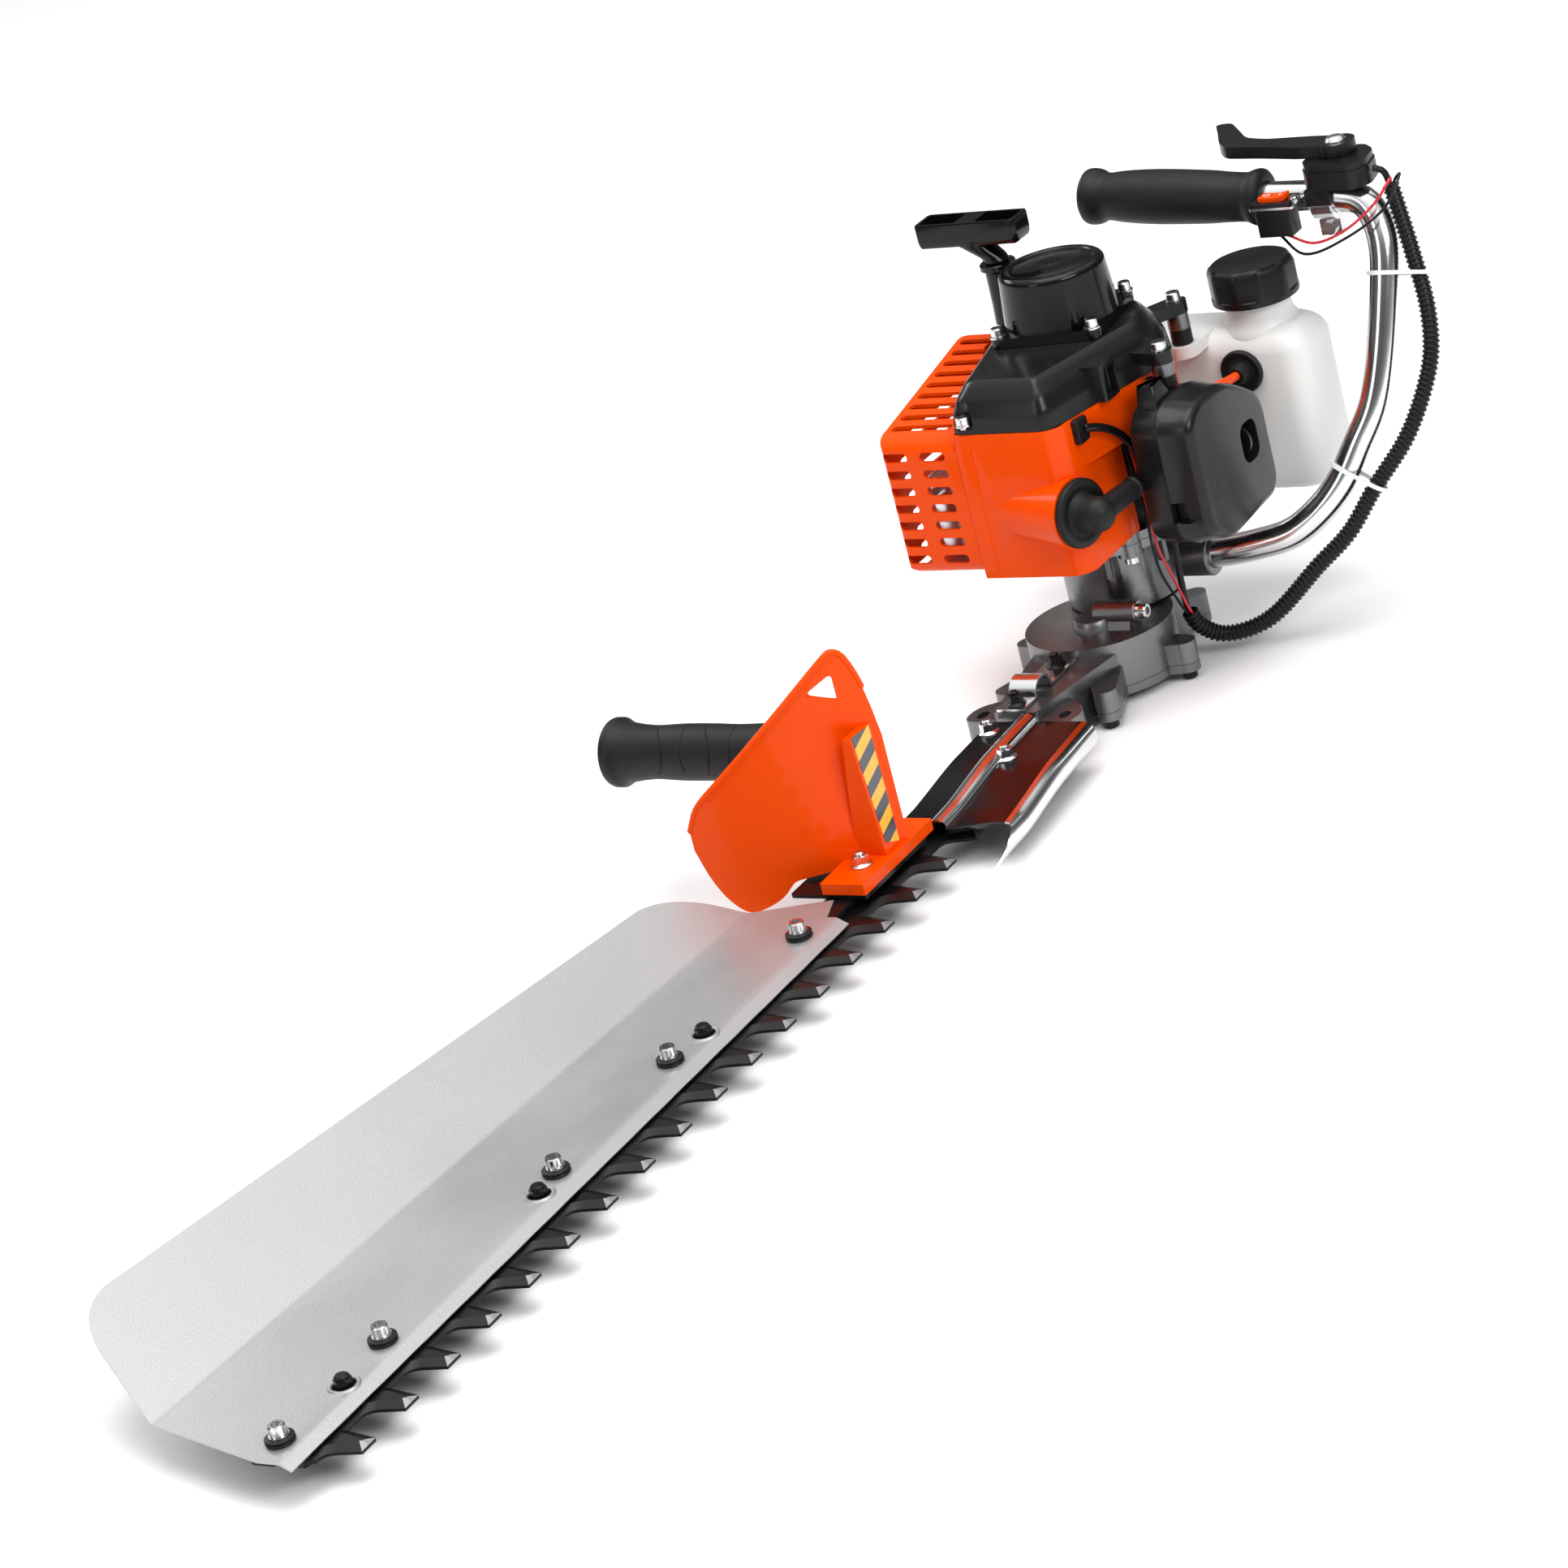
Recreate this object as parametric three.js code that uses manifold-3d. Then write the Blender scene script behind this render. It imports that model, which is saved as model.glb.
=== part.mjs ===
// Petrol hedge trimmer with teeth on one side, in millimetres, Z up.
// The crank axis is X = 0, Y = 0, X runs to the tip of the blades and Y to their teeth.
// Sizes with a Z are heights over the plane where the two blades meet. The finished part is raised
// so that the flat underside of its gear case is at Z = 0.
import * as THREE from "three";
import { mergeVertices } from "three/addons/utils/BufferGeometryUtils.js";
import Module from "manifold-3d";

const wasm = await Module();
wasm.setup();

// Fits, fasteners and round sides
const clearance = 0.3;
const overrun = 6;
const weld = 0.0001;
const boltRadius = 2.5;
const headRadius = 4.25;
const headHeight = 5;
const headSocketRadius = 2.2;
const headSocketDepth = 3;
const washerRadius = 5;
const washerThickness = 1;
const boltSides = 8;
const nutSides = 6;
const roundSides = 12;
const bigRoundSides = 18;
const cornerSteps = 2;
const quarterSteps = 4;
const cornerReachShare = 0.48;
const mitreLimit = 0.5;
const nutEmbedShare = 0.9;
const slotSteps = 2;

// Toothed blades
const toothPitch = 35;
const toothCount = 19;
const firstToothX = 853;
const toothTipY = 36.3;
const toothRootY = 17.5;
const toothLand = 0.6;
const bladeThickness = 2.4;
const bladeBackY = -9;
const bladeTipX = 876;
const bladeTipY = 12;
const bladeTipCut = 4;
const bladeNeckX = 205;
const bladeNeckY = 9;
const bladeNeckRun = 6;
const bladeRootX = 97;
const bladeEyeInset = 9;
const bladeEyeNeck = 3;
const crankThrow = 8.75;
const bladeSlotSpare = 1.2;
const toothLowShares = [
  [-0.1, 0], [0, 1], [0.314, 1], [0.383, 0.372], [0.44, 0.12], [0.6, 0],
];
const toothHighShares = [
  [-0.006, -0.186], [0.12, 0.872], [0.149, 0.846], [0.246, 0.293], [0.31, 0.02], [0.543, -0.186],
];

// Guide bar and what is bolted to it
const barThickness = 4.2;
const barRootX = 84;
const barTipX = 884.5;
const barLeftY = -9.6;
const barRightY = 7;
const barTipCut = 5;
const bladeBoltPlaces = [826, 658, 500.5];
const bladeBoltY = 2.6;
const guardBoltInsets = [22, 58];
const guardBoltY = 3;
const lockNutRadius = 4.6;
const lockNutHeight = 5;
const lockNutDomeRadius = 3.6;
const lockNutDomeHeight = 1.6;
const flangeNutRadius = 6;
const flangeNutFlange = 1.4;
const flangeNutHexRadius = 4.6;
const flangeNutHeight = 6;
const boltEndHeight = 1.8;

// Leaf deflector
const sheetThickness = 1;
const deflectorGuardGap = 22;
const deflectorTipX = 889;
const deflectorLipY = 16;
const deflectorLipDrop = 3.4;
const deflectorLipFoldY = 9.6;
const deflectorNotchGap = 3;
const deflectorNotchY = -2.5;
const deflectorFoldGuardY = -47.7;
const deflectorFoldTipY = -76;
const deflectorFoldGuardGap = 19;
const deflectorFoldTipX = 870;
const wingAngle = THREE.MathUtils.degToRad(28);
const wingGuardWidth = 42;
const wingTipWidth = 72.5;
const wingGuardGap = 35;
const wingTipX = 833;
const wingCornerRadius = 24;
const foldRadius = 9;
const foldSteps = 4;
const deflectorTipScrewPlaces = [872.8, 789.7, 637.9, 529.4];
const deflectorScrewGuardGap = 44.3;
const grommetRadius = 7.2;
const grommetHeight = 3;
const grommetWaist = 0.8;
const nutWindowRadius = 6.3;
const nutWindowRim = 1.2;
const nutWindowRimHeight = 0.8;

// Hand guard
const guardBaseLength = 77;
const guardBaseTipX = 353;
const guardBaseLeftY = -11;
const guardBaseRightY = 16;
const guardBaseHeight = 6.3;
const guardSheet = 2.6;
const guardRightInset = 54;
const guardRightY = 13.5;
const guardBulgeInset = 7;
const guardBulgeY = -20;
const guardLeftInset = 3;
const guardLeftY = -85;
const guardTopZ = 131;
const guardLowZ = -4;
const guardColumns = 14;
const guardTopShares = [
  [0, 0.6], [0.03, 0.8], [0.08, 0.95], [0.13, 1], [0.19, 0.985], [0.5, 0.79], [0.85, 0.545], [0.95, 0.46],
  [1, 0.37],
];
const guardLowShares = [
  [0, 0.107], [0.56, 0.107], [0.64, 0.05], [0.73, 0.012], [0.82, 0.0], [0.9, 0.06], [0.96, 0.16], [1, 0.28],
];
const gussetLowInset = 34;
const gussetHighInset = 27;
const gussetRootInset = 51;
const gussetHighRootInset = 49;
const gussetFaceY = 12;
const gussetLowY = -8;
const gussetHighY = 7;
const gussetTopZ = 86;
const guardHoleY = -4;
const guardHoleZ = 111;
const guardHoleShares = [[-1, 0], [1, 1], [1, -1]];
const guardHoleHalfWidth = 6.5;
const guardHoleHalfHeight = 8;

// Front handle
const gripInset = 53;
const gripZ = 67;
const gripTubeRadius = 7;
const gripTubeY = -20;
const gripTubeSteps = 14;
const gripBendShare = 2.5;
const gripBendMiddleShare = 0.3;
const gripFlangeInnerShare = 0.15;
const gripInnerY = -45;
const gripBodyY = -150;
const gripOuterY = -157;
const gripRadius = 15.5;
const gripFlangeRadius = 19.2;
const bracketPlate = 2;
const bracketLeftY = -31;
const bracketRootInset = 69;
const gripProfileShares = [
  [0, 0.93], [0.05, 1], [0.3, 0.97], [0.45, 1], [0.62, 1], [0.8, 0.95], [0.89, 0.99],
];

// Root cover
const coverRearX = 150;
const coverFrontX = 273;
const coverRightFrontX = 265;
const coverPointX = 299;
const coverLeftRearY = -15;
const coverLeftFrontY = -10;
const coverRibRearY = 9;
const coverRibFrontY = 16;
const coverRibRadius = 5;
const coverRollRearY = 43;
const coverRollFrontY = 53;
const coverRollRadius = 7;
const coverJoggleFromX = 205;
const coverJoggleToX = 225;
const coverFrontZ = 7.35;
const coverRearZ = 11;
const coverRibSteps = 6;
const coverRollSteps = 5;
const coverRollTurnShare = 1.5;
const coverPointShare = 0.2;
const coverNutPlaces = [[163, -9], [195, 19]];

// Gear case and reduction
const gearModule = 1.25;
const pinionTeeth = 11;
const gearTeeth = 48;
const gearBottomZ = 9;
const gearTopZ = 15;
const gearShaftRadius = 6;
const crankPinRadius = 5.5;
const toothDepthShares = [1.15, 1];
const flankShares = [0.28, 0.11];
const pinionRoomTeeth = 3;
const caseRadius = 43;
const caseWall = 3.5;
const caseRearRadius = 33;
const caseTopZ = 22;
const caseSplitZ = -4.6;
const caseCoverThickness = 5;
const caseFrontX = 147;
const caseNeckLeftY = -15;
const caseNeckRightY = 14;
const caseNeckTopZ = 16;
const caseEarX = 138;
const caseEarY = 26;
const caseEarRadius = 9;
const caseEarTopZ = 10.5;
const caseEarHoleRadius = 3;
const caseLugPlaces = [[35.7, 50], [99.7, 31], [35.7, -50], [99.7, -31], [-30, 26], [-30, -26]];
const caseLugRadius = 7;
const caseTaperXShare = 0.75;
const caseTaperYShare = 0.62;
const caseNeckShare = 0.9;
const caseEarInnerShare = 0.8;
const caseEarCornerShare = 0.9;
const caseDishShares = [0.8, 0.7];
const caseLugTopZ = 8;
const lugWebShare = 0.6;
const lugWebFlare = 1.5;
const caseBossX = 47.8;
const caseBossY = 3;
const caseBossRadius = 12.5;
const caseBossHeight = 7;
const clampBarrelX = 46;
const clampBarrelZ = 31;
const clampBarrelRadius = 6.5;
const clampBarrelY = 32;
const clampBarrelRootY = 6;
const barrelFootShare = 0.6;
const rodThickness = 2;
const rodRingRadius = 27;
const rodRingBore = 23.6;
const rodArmHalfWidth = 7;
const rodEyeRadius = 5;

// Saddle strap
const strapThickness = 1.6;
const strapFromY = -11;
const strapToY = 6;
const strapHumpX = 121;
const strapHumpRadius = 9;
const strapHumpSteps = 6;
const strapRearNutInset = 9;
const strapFrontNutInset = 8;
const strapNutY = -2.5;

// Clutch
const clutchHousingRadius = 33.25;
const clutchHousingWall = 3;
const clutchHousingTopZ = 65;
const clutchFloor = 4;
const drumRadius = 27;
const drumWall = 2;
const drumLowZ = 32;
const drumTopZ = 56;
const drumShaftRadius = 5;
const rotorRadius = 24;
const rotorLowZ = 37;
const rotorTopZ = 53;
const rotorShoeGap = 3;
const rotorShoeShare = 0.35;
const tubeBossX = -21.6;
const tubeBossZ = 35.5;
const tubeBossRadius = 12.5;
const tubeBossFromY = 16;
const tubeBossToY = 50;

// Crankcase, cylinder and crankshaft
const crankcaseRadius = 30;
const crankcaseTopZ = 122;
const crankcaseFlangeRadius = 40;
const crankcaseFlange = 5;
const crankCavityRadius = 24;
const crankCavityLowZ = 90.5;
const crankCavityTopZ = 113.5;
const cavityMargin = 1.5;
const cylinderPadHalfWidth = 22;
const cylinderPadHalfHeight = 17;
const intakePadFromX = 0;
const intakePadToX = 18;
const intakePadLowZ = 98;
const tankArmHalfWidth = 10;
const tankArmLowZ = 96;
const tankArmTopZ = 104;
const shaftRadius = 6;
const webRadius = 22;
const webThickness = 5;
const crankPinOffset = 13;
const crankEndPinRadius = 4;
const cylinderRootX = 31;
const cylinderEndX = 84;
const cylinderRadius = 20;
const finCount = 7;
const finThickness = 2.4;
const finHalfWidth = 26;
const finHalfHeight = 22;
const exhaustFromX = 46;
const exhaustToX = 66;
const exhaustHalfHeight = 9;
const flangeBoltPlaces = [[26, 24], [26, -24], [-26, 24], [-26, -24]];

// Flywheel
const flywheelRadius = 45;
const flywheelLowZ = 138;
const flywheelDisc = 5;
const flywheelFinHeight = 22;
const flywheelFinCount = 12;
const flywheelFinThickness = 2.5;
const flywheelHubRadius = 14;
const flywheelFinRootShare = 1.3;
const flywheelFinTipShare = 0.97;
const crankTopZ = 183;

// Engine shroud and muffler guard
const shroudFrontX = 96;
const shroudSeamY = -29;
const shroudRightY = 37;
const shroudRearX = 32;
const shroudLowZ = 75;
const shroudTopZ = 161;
const shroudWall = 2;
const shroudCorner = 12;
const bandRadius = 56;
const bandLowZ = 132;
const bandFrontRightX = 84;
const bandFrontRightY = 35;
const guardLeftWallY = -79;
const guardBackX = -17;
const guardLowEdgeZ = 77;
const guardTopRearZ = 178;
const slotColumnPlaces = [-70, -45.5];
const slotRows = 7;
const slotTopRowZ = 149;
const slotRowPitch = 10.3;
const slotLength = 16.5;
const slotHeight = 5.4;
const topSlotCount = 9;
const topSlotFirstX = 82;
const topSlotPitch = 11.4;
const topSlotFromY = -73;
const topSlotToY = -39;
const bandFrontX = 95;
const bandFrontHalfWidth = 30;
const bandLeftX = 18;
const bandLeftY = -48;
const bandArcFrom = THREE.MathUtils.degToRad(84);
const bandArcTo = THREE.MathUtils.degToRad(268);
const bandArcSteps = 10;
const bandFloorHole = 48;
const plugBossRadius = 20.5;
const plugBossEnd = [93.8, 37.6, 112];
const plugBossStart = [79, -20, 111];
const plugBossStartRadius = 14;
const plugAxisX = 0.25;

// Muffler
const mufflerFromX = 20;
const mufflerToX = 82;
const mufflerFromY = -66;
const mufflerToY = -33;
const mufflerLowZ = 84;
const mufflerTopZ = 130;
const mufflerCorner = 9;

// Fan cover
const fanFormShares = [[0, 0], [0.36, 0.09], [0.66, 0.35], [0.93, 0.78], [1, 1]];
const fanTopZ = 188;
const fanWall = 2.5;
const fanTopInset = 13;
const fanHoleRadius = 25;
const fanPostPlaces = [[17.5, 66], [-60, 38]];
const tankEarRadius = 9;
const tankEarThickness = 7;
const fanPostRadius = 7;
const fanPostEdge = 0.6;
const fanPostTopZ = 176;
const fanLugThickness = 7;
const fanPostRubberRadius = 6.2;
const fanNotchX = 97;
const fanNotchY = -22;
const fanNotchRadius = 7;
const fanNotchZ = 166;
const cowlX = 47;
const cowlY = 46;
const cowlWidth = 17;
const cowlDepth = 12;
const cowlTopZ = 182;

// Recoil starter
const starterPlateHalf = 33;
const starterPlateTurn = THREE.MathUtils.degToRad(7);
const starterPlate = 5.5;
const starterCupRadius = 33;
const starterCupTopRadius = 30.6;
const starterTopZ = 225;
const starterWall = 2.2;
const starterRingRadius = 24;
const starterRingDepth = 0.8;
const starterDimpleRadius = 2.4;
const starterDimpleDepth = 1.6;
const starterScrewReach = 28.5;
const starterScrewCount = 4;
const reelRadius = 25;
const reelLowZ = 191;
const reelTopZ = 205;
const reelBore = 8;
const reelGrooveDepth = 4;
const ropeX = -10;
const ropeY = -39.5;
const ropeRadius = 1.8;
const ropeLowZ = 203;
const ropeTopZ = 228;
const spoutRadius = 8.5;
const spoutBore = 4;
const spoutTopZ = 224;
const spoutLipHeight = 4;
const spoutLipRadius = 10.5;
const pullBarFromY = -87;
const pullBarToY = -14;
const pullBarLowZ = 233;
const pullBarTopZ = 251;
const pullBarHalfWidth = 10;
const pullBarHollow = 6;
const pullBarWall = 2.4;
const pullStemRadius = 7.5;
const pullStemTopRadius = 10;

// Plug cap and lead
const sealRadius = 19.5;
const sealThickness = 4;
const plugCapRadius = 10;
const plugCapLength = 18;
const plugTubeRadius = 6.6;
const plugTubeEndShare = 0.9;
const plugDomeShare = 0.8;
const plugTubeEnd = [60.5, 56, 112.6];
const leadRadius = 2.5;

// Carburettor and air filter
const carbFromX = -8;
const carbToX = 26;
const carbFromY = 32;
const carbLowZ = 88;
const carbTopZ = 128;
const carbFlange = 4;
const carbThroatShare = 0.42;
const carbDrumShare = 0.8;
const filterBaseY = 58;
const filterSplitY = 74;
const filterFaceY = 96;
const filterCorner = 10;
const filterOutlineX = -34;
const filterOutlineZ = 66;
const filterWidth = 91;
const filterHeight = 88;
const filterOutlineShares = [
  [0.08, 0.03], [0.74, 0], [1, 0.16], [1, 0.9], [0.86, 1], [0.5, 1], [0.24, 0.88], [0, 0.72], [0, 0.14],
];
const filterWall = 2;
const filterDraft = 3;
const filterDraftShares = [0.5, 1.5];
const filterLip = 0.8;
const knobX = -7;
const knobZ = 110;
const knobPocketRadius = 12;
const knobPocketDepth = 10;
const knobBase = 2.5;
const knobRadius = 5;
const knobBaseShare = 1.5;
const knobTopShare = 0.8;
const knobWing = 2.4;
const knobWingHeight = 20;
const snorkelFromX = 28;
const snorkelToX = 46;
const snorkelHeight = 11;
const snorkelInset = 2.5;

// Tank
const tankFrontX = -69;
const tankRearX = -120;
const tankLeftY = -110;
const tankRightY = 105;
const tankLowZ = 52;
const tankTopZ = 150;
const tankCorner = 14;
const tankDraft = 10;
const tankFormShares = [[0, 0.5], [0.33, 0.12], [1, 0], [0, 0], [0.75, 0.25], [1, 0.8]];
const tankNeckX = -96;
const tankNeckY = 71;
const tankNeckRadius = 19;
const tankNeckTopZ = 168;
const tankThroatRadius = 15;
const capRadius = 25.5;
const capTopZ = 185;
const capLowZ = 163;
const capWall = 3;
const capGrooveShare = 0.03;
const capEdgeShare = 0.8;
const capGripCount = 12;
const capGripPoints = 3;
const hoseZ = 128;
const hoseY = 67;
const hoseInset = 3;
const hoseRadius = 2.6;
const hoseGrommetRadius = 13;
const hoseGrommetHeight = 9;
const hoseGrommetEndShare = 0.4;

// Rear handle
const handleRadius = 9;
const handleSides = 10;
const handleSteps = 26;
const rearGripEnd = 4;
const rearGripRadius = 16.3;
const rearGripEndShare = 0.9;
const rearGripProfileShares = [
  [0, 0.86], [0.04, 1], [0.1, 0.86], [0.3, 0.93], [0.55, 0.97],
  [0.8, 0.9], [0.88, 0.84], [0.93, 1], [0.98, 1],
];
const leverPivotX = -108;
const leverPivotY = 134;
const leverTipY = 38;
const leverHubRadius = 11;
const leverShares = [
  [0.08, -0.02], [0.09, 0.2], [0.02, 0.5], [-0.02, 0.74], [-0.12, 0.82], [-0.32, 0.92], [-0.46, 1],
  [-0.48, 0.9], [-0.3, 0.76], [-0.17, 0.66], [-0.12, 0.5], [-0.11, 0.2], [-0.09, 0],
];
const leverHousingWidth = 36;
const leverHousingLength = 42;
const leverHousingCorner = 4;
const leverHousingShares = [
  [-0.34, -0.38], [0.34, -0.43], [0.6, -0.28], [0.66, 0.4], [0.4, 0.57], [-0.1, 0.5], [-0.36, 0.28],
];
const leverHousingTopZ = 240.6;
const leverHousingSplitZ = 226;
const leverThickness = 7;
const leverScrewRadius = 6;
const leverScrewHeight = 3;
const leverScrewTopShare = 0.6;
const clampX = -98.8;
const clampFromY = 119;
const clampToY = 134;
const clampHalfWidth = 12;
const clampRadius = 11.6;
const bandEarWidth = 5;
const bandEarLength = 9;
const switchPlateX = -80;
const switchPlateY = 105;
const switchPlateZ = 222;
const switchPlateThickness = 1.4;
const switchPlateHalfX = 9.8;
const switchPlateHalfY = 13.5;
const switchCentreY = 103.5;
const switchScrewRadius = 3;
const switchScrewRise = 1.4;
const switchBodyHalfX = 6.5;
const switchBodyHalfY = 10.5;
const switchBodyDepth = 17;
const switchBezel = 2;
const switchBezelHeight = 2;
const rockerHalfX = 4.6;
const rockerHalfY = 8;
const rockerHeight = 5;
const rockerClearance = 0.6;
const rockerShares = [[-1, 0.34], [0, 0], [1, 0.34], [1, 1], [0, 0.78], [-1, 0.86]];

// Conduit, cable, wires and ties
const conduitRadius = 5;
const conduitGroove = 0.8;
const conduitBore = 3.9;
const conduitRibs = 40;
const conduitSides = 8;
const cableRadius = 1.9;
const wireRadius = 0.8;
const cableInset = 1.2;
const wireInset = 1.9;
const wireSpread = 1.1;
const cordPointGap = 7;
const cordSides = 6;
const wireSides = 4;
const tieThickness = 1;
const tieClearance = 0.5;
const tieWidth = 2.4;
const tieSamples = 300;
const tieTubeSteps = 14;
const tieConduitSteps = 8;

// Routes of the tubes and cords, from end to end
const handleRoute = [
  [-21.6, 29, 35.4], [-22.4, 55.7, 36.9], [-23.7, 78.1, 40.1], [-26.1, 100.3, 45.7], [-30.9, 118, 57.3],
  [-37, 131.6, 71.6], [-44.8, 142.3, 90.4], [-53.7, 153, 111.5], [-73.7, 160.4, 159.2],
  [-89.3, 160.1, 196.2], [-96.6, 150.2, 213.9], [-98.4, 130, 219], [-99, 113, 219.5], [-99.4, 89.6, 220.2],
  [-100.8, 34, 223.6], [-102.2, -22, 227],
];
const conduitRoute = [
  [-98.9, 166.8, 222], [-85.6, 178.2, 187.3], [-73.2, 186.7, 157.9], [-63.3, 187.9, 134.3],
  [-54.3, 181.9, 113], [-45.4, 171.3, 91.7], [-35.1, 151.6, 67.3], [-25.7, 135.3, 44.9],
  [-18.7, 115.8, 28.2], [-6.7, 81.4, -0.4], [4, 58, -3], [13, 49, 8], [16, 47.5, 15.7],
];
const cableStartRoute = [[-96, 159.5, 234], [-98.5, 164, 231]];
const cableEndRoute = [[17.5, 47, 35], [16, 47.5, 60], [13, 47.5, 87.6]];
const redStartRoute = [[-79, 108, 203.8], [-77, 124, 199], [-78, 146, 206], [-83, 165, 220], [-91, 171, 229]];
const blackStartRoute = [[-81, 102, 203.8], [-74, 118, 194], [-73, 146, 202], [-79, 171, 217], [-92, 177, 231]];
const redEndRoute = [
  [22, 48, 30], [33, 50, 50], [38, 49, 66], [34, 46, 88], [30, 42, 110], [29.5, 40, 131.4],
];
const blackEndRoute = [
  [23, 44, 30], [30, 43, 46], [34, 43.5, 62], [31, 42, 86], [28.6, 38.5, 108], [28.6, 36, 131.4],
];
const leadRoute = [
  [73, 41.2, 153.5], [64, 44.8, 150], [53, 48.3, 142.5], [44, 50.5, 131], [42, 52.5, 121.5],
  [47, 54, 114], [57, 55.6, 112.8],
];
const hoseRoute = [
  [-66, 67, 128], [-54, 65.5, 128.5], [-40, 58, 128], [-24, 48, 122], [-9.7, 44.3, 116.4],
];
const tiePlaceShares = [0.27, 0.52];

// Finishes
const finishes = {
  orange: { color: 0xf24c05, roughness: 0.3, metalness: 0 },
  blackPlastic: { color: 0x17181a, roughness: 0.4, metalness: 0 },
  rubber: { color: 0x101112, roughness: 0.75, metalness: 0 },
  steel: { color: 0xc9cbce, roughness: 0.3, metalness: 1 },
  sheet: { color: 0xd3d5d7, roughness: 0.35, metalness: 1 },
  chrome: { color: 0xdadcde, roughness: 0.1, metalness: 1 },
  bladeSteel: { color: 0x202224, roughness: 0.4, metalness: 0.8 },
  casting: { color: 0xa9abad, roughness: 0.6, metalness: 0.8 },
  white: { color: 0xf4f5f4, roughness: 0.45, metalness: 0 },
  red: { color: 0xc81e2c, roughness: 0.4, metalness: 0 },
  fuelLine: { color: 0xe85a10, roughness: 0.35, metalness: 0 },
};

// Places worked out from the sizes above
const upperBladeLow = clearance / 2;
const upperBladeTop = upperBladeLow + bladeThickness;
const lowerBladeLow = -upperBladeTop;
const barLow = upperBladeTop + clearance;
const barTop = barLow + barThickness;
const sheetLow = barTop + clearance;
const sheetTop = sheetLow + sheetThickness;
const holeRadius = boltRadius + clearance;
const bladeSlotHalf = crankThrow + bladeSlotSpare;
const gearCentreX = (gearModule * (pinionTeeth + gearTeeth)) / 2;
const caseLowZ = caseSplitZ - clearance - caseCoverThickness;
const guardBoltPlaces = guardBoltInsets.map((inset) => guardBaseTipX - inset);
const guardBaseRootX = guardBaseTipX - guardBaseLength;
const guardRightX = guardBaseTipX - guardRightInset;
const guardBulgeX = guardBaseTipX - guardBulgeInset;
const guardLeftX = guardBaseTipX - guardLeftInset;
const gussetLowX = guardBaseTipX - gussetLowInset;
const gussetHighX = guardBaseTipX - gussetHighInset;
const gussetRootX = guardBaseTipX - gussetRootInset;
const gussetHighRootX = guardBaseTipX - gussetHighRootInset;
const gripX = guardBaseTipX - gripInset;
const bracketRootX = guardBaseTipX - bracketRootInset;
const deflectorNotchX = guardBaseTipX + deflectorNotchGap;
const deflectorGuardX = guardBaseTipX + deflectorGuardGap;
const deflectorFoldGuardX = guardBaseTipX + deflectorFoldGuardGap;
const wingGuardX = guardBaseTipX + wingGuardGap;
const deflectorScrewPlaces = [...deflectorTipScrewPlaces, guardBaseTipX + deflectorScrewGuardGap];
const strapRearX = gearCentreX + caseRadius + clearance;
const strapNutPlaces = [strapRearX + strapRearNutInset, caseFrontX - strapFrontNutInset];

function solidOf(geometry) {
  const bare = new THREE.BufferGeometry();
  bare.setAttribute("position", geometry.getAttribute("position"));
  bare.setIndex(geometry.index);
  const merged = mergeVertices(bare, weld);
  const corners = merged.getAttribute("position").array;
  const faces = [];
  const index = merged.index.array;
  for (let i = 0; i < index.length; i += 3) {
    const [a, b, c] = [index[i], index[i + 1], index[i + 2]];
    if (a !== b && b !== c && c !== a) faces.push(a, b, c);
  }
  const solid = new wasm.Manifold(
    new wasm.Mesh({ numProp: 3, vertProperties: corners, triVerts: new Uint32Array(faces) }),
  );
  if (solid.volume() > 0) return solid;
  const turned = new Uint32Array(faces.length);
  for (let i = 0; i < faces.length; i += 3) turned.set([faces[i], faces[i + 2], faces[i + 1]], i);
  return new wasm.Manifold(new wasm.Mesh({ numProp: 3, vertProperties: corners, triVerts: turned }));
}

function geometryOf(solid) {
  const mesh = solid.getMesh();
  const geometry = new THREE.BufferGeometry();
  geometry.setAttribute("position", new THREE.BufferAttribute(new Float32Array(mesh.vertProperties), 3));
  geometry.setIndex(new THREE.BufferAttribute(new Uint32Array(mesh.triVerts), 1));
  return geometry;
}

function join(...geometries) {
  return geometryOf(geometries.map(solidOf).reduce((sum, next) => sum.add(next)));
}

function cut(geometry, ...tools) {
  return geometryOf(tools.map(solidOf).reduce((rest, tool) => rest.subtract(tool), solidOf(geometry)));
}

function common(first, second) {
  return geometryOf(solidOf(first).intersect(solidOf(second)));
}

// The same body seen in the plane between the blades
function turnedOver(geometry) {
  return geometryOf(solidOf(geometry.applyMatrix4(new THREE.Matrix4().makeScale(1, 1, -1))));
}

// Bases that lay an outline's plane and its extrusion along the part's axes
const alongX = new THREE.Matrix4().makeBasis(
  new THREE.Vector3(0, 1, 0), new THREE.Vector3(0, 0, 1), new THREE.Vector3(1, 0, 0),
);
const alongY = new THREE.Matrix4().makeBasis(
  new THREE.Vector3(0, 0, 1), new THREE.Vector3(1, 0, 0), new THREE.Vector3(0, 1, 0),
);

function shapeOf(outline) {
  return new THREE.Shape(outline.map(([x, y]) => new THREE.Vector2(x, y)));
}

// A prism along Z from a plan outline
function upright(outline, low, high) {
  const geometry = new THREE.ExtrudeGeometry(shapeOf(outline), { depth: high - low, bevelEnabled: false });
  return geometry.translate(0, 0, low);
}

// A prism along X from an outline in Y and Z
function lengthways(outline, from, to) {
  return upright(outline, from, to).applyMatrix4(alongX);
}

// A prism along Y from an outline in Z and X
function sideways(outline, from, to) {
  return upright(outline, from, to).applyMatrix4(alongY);
}

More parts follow.
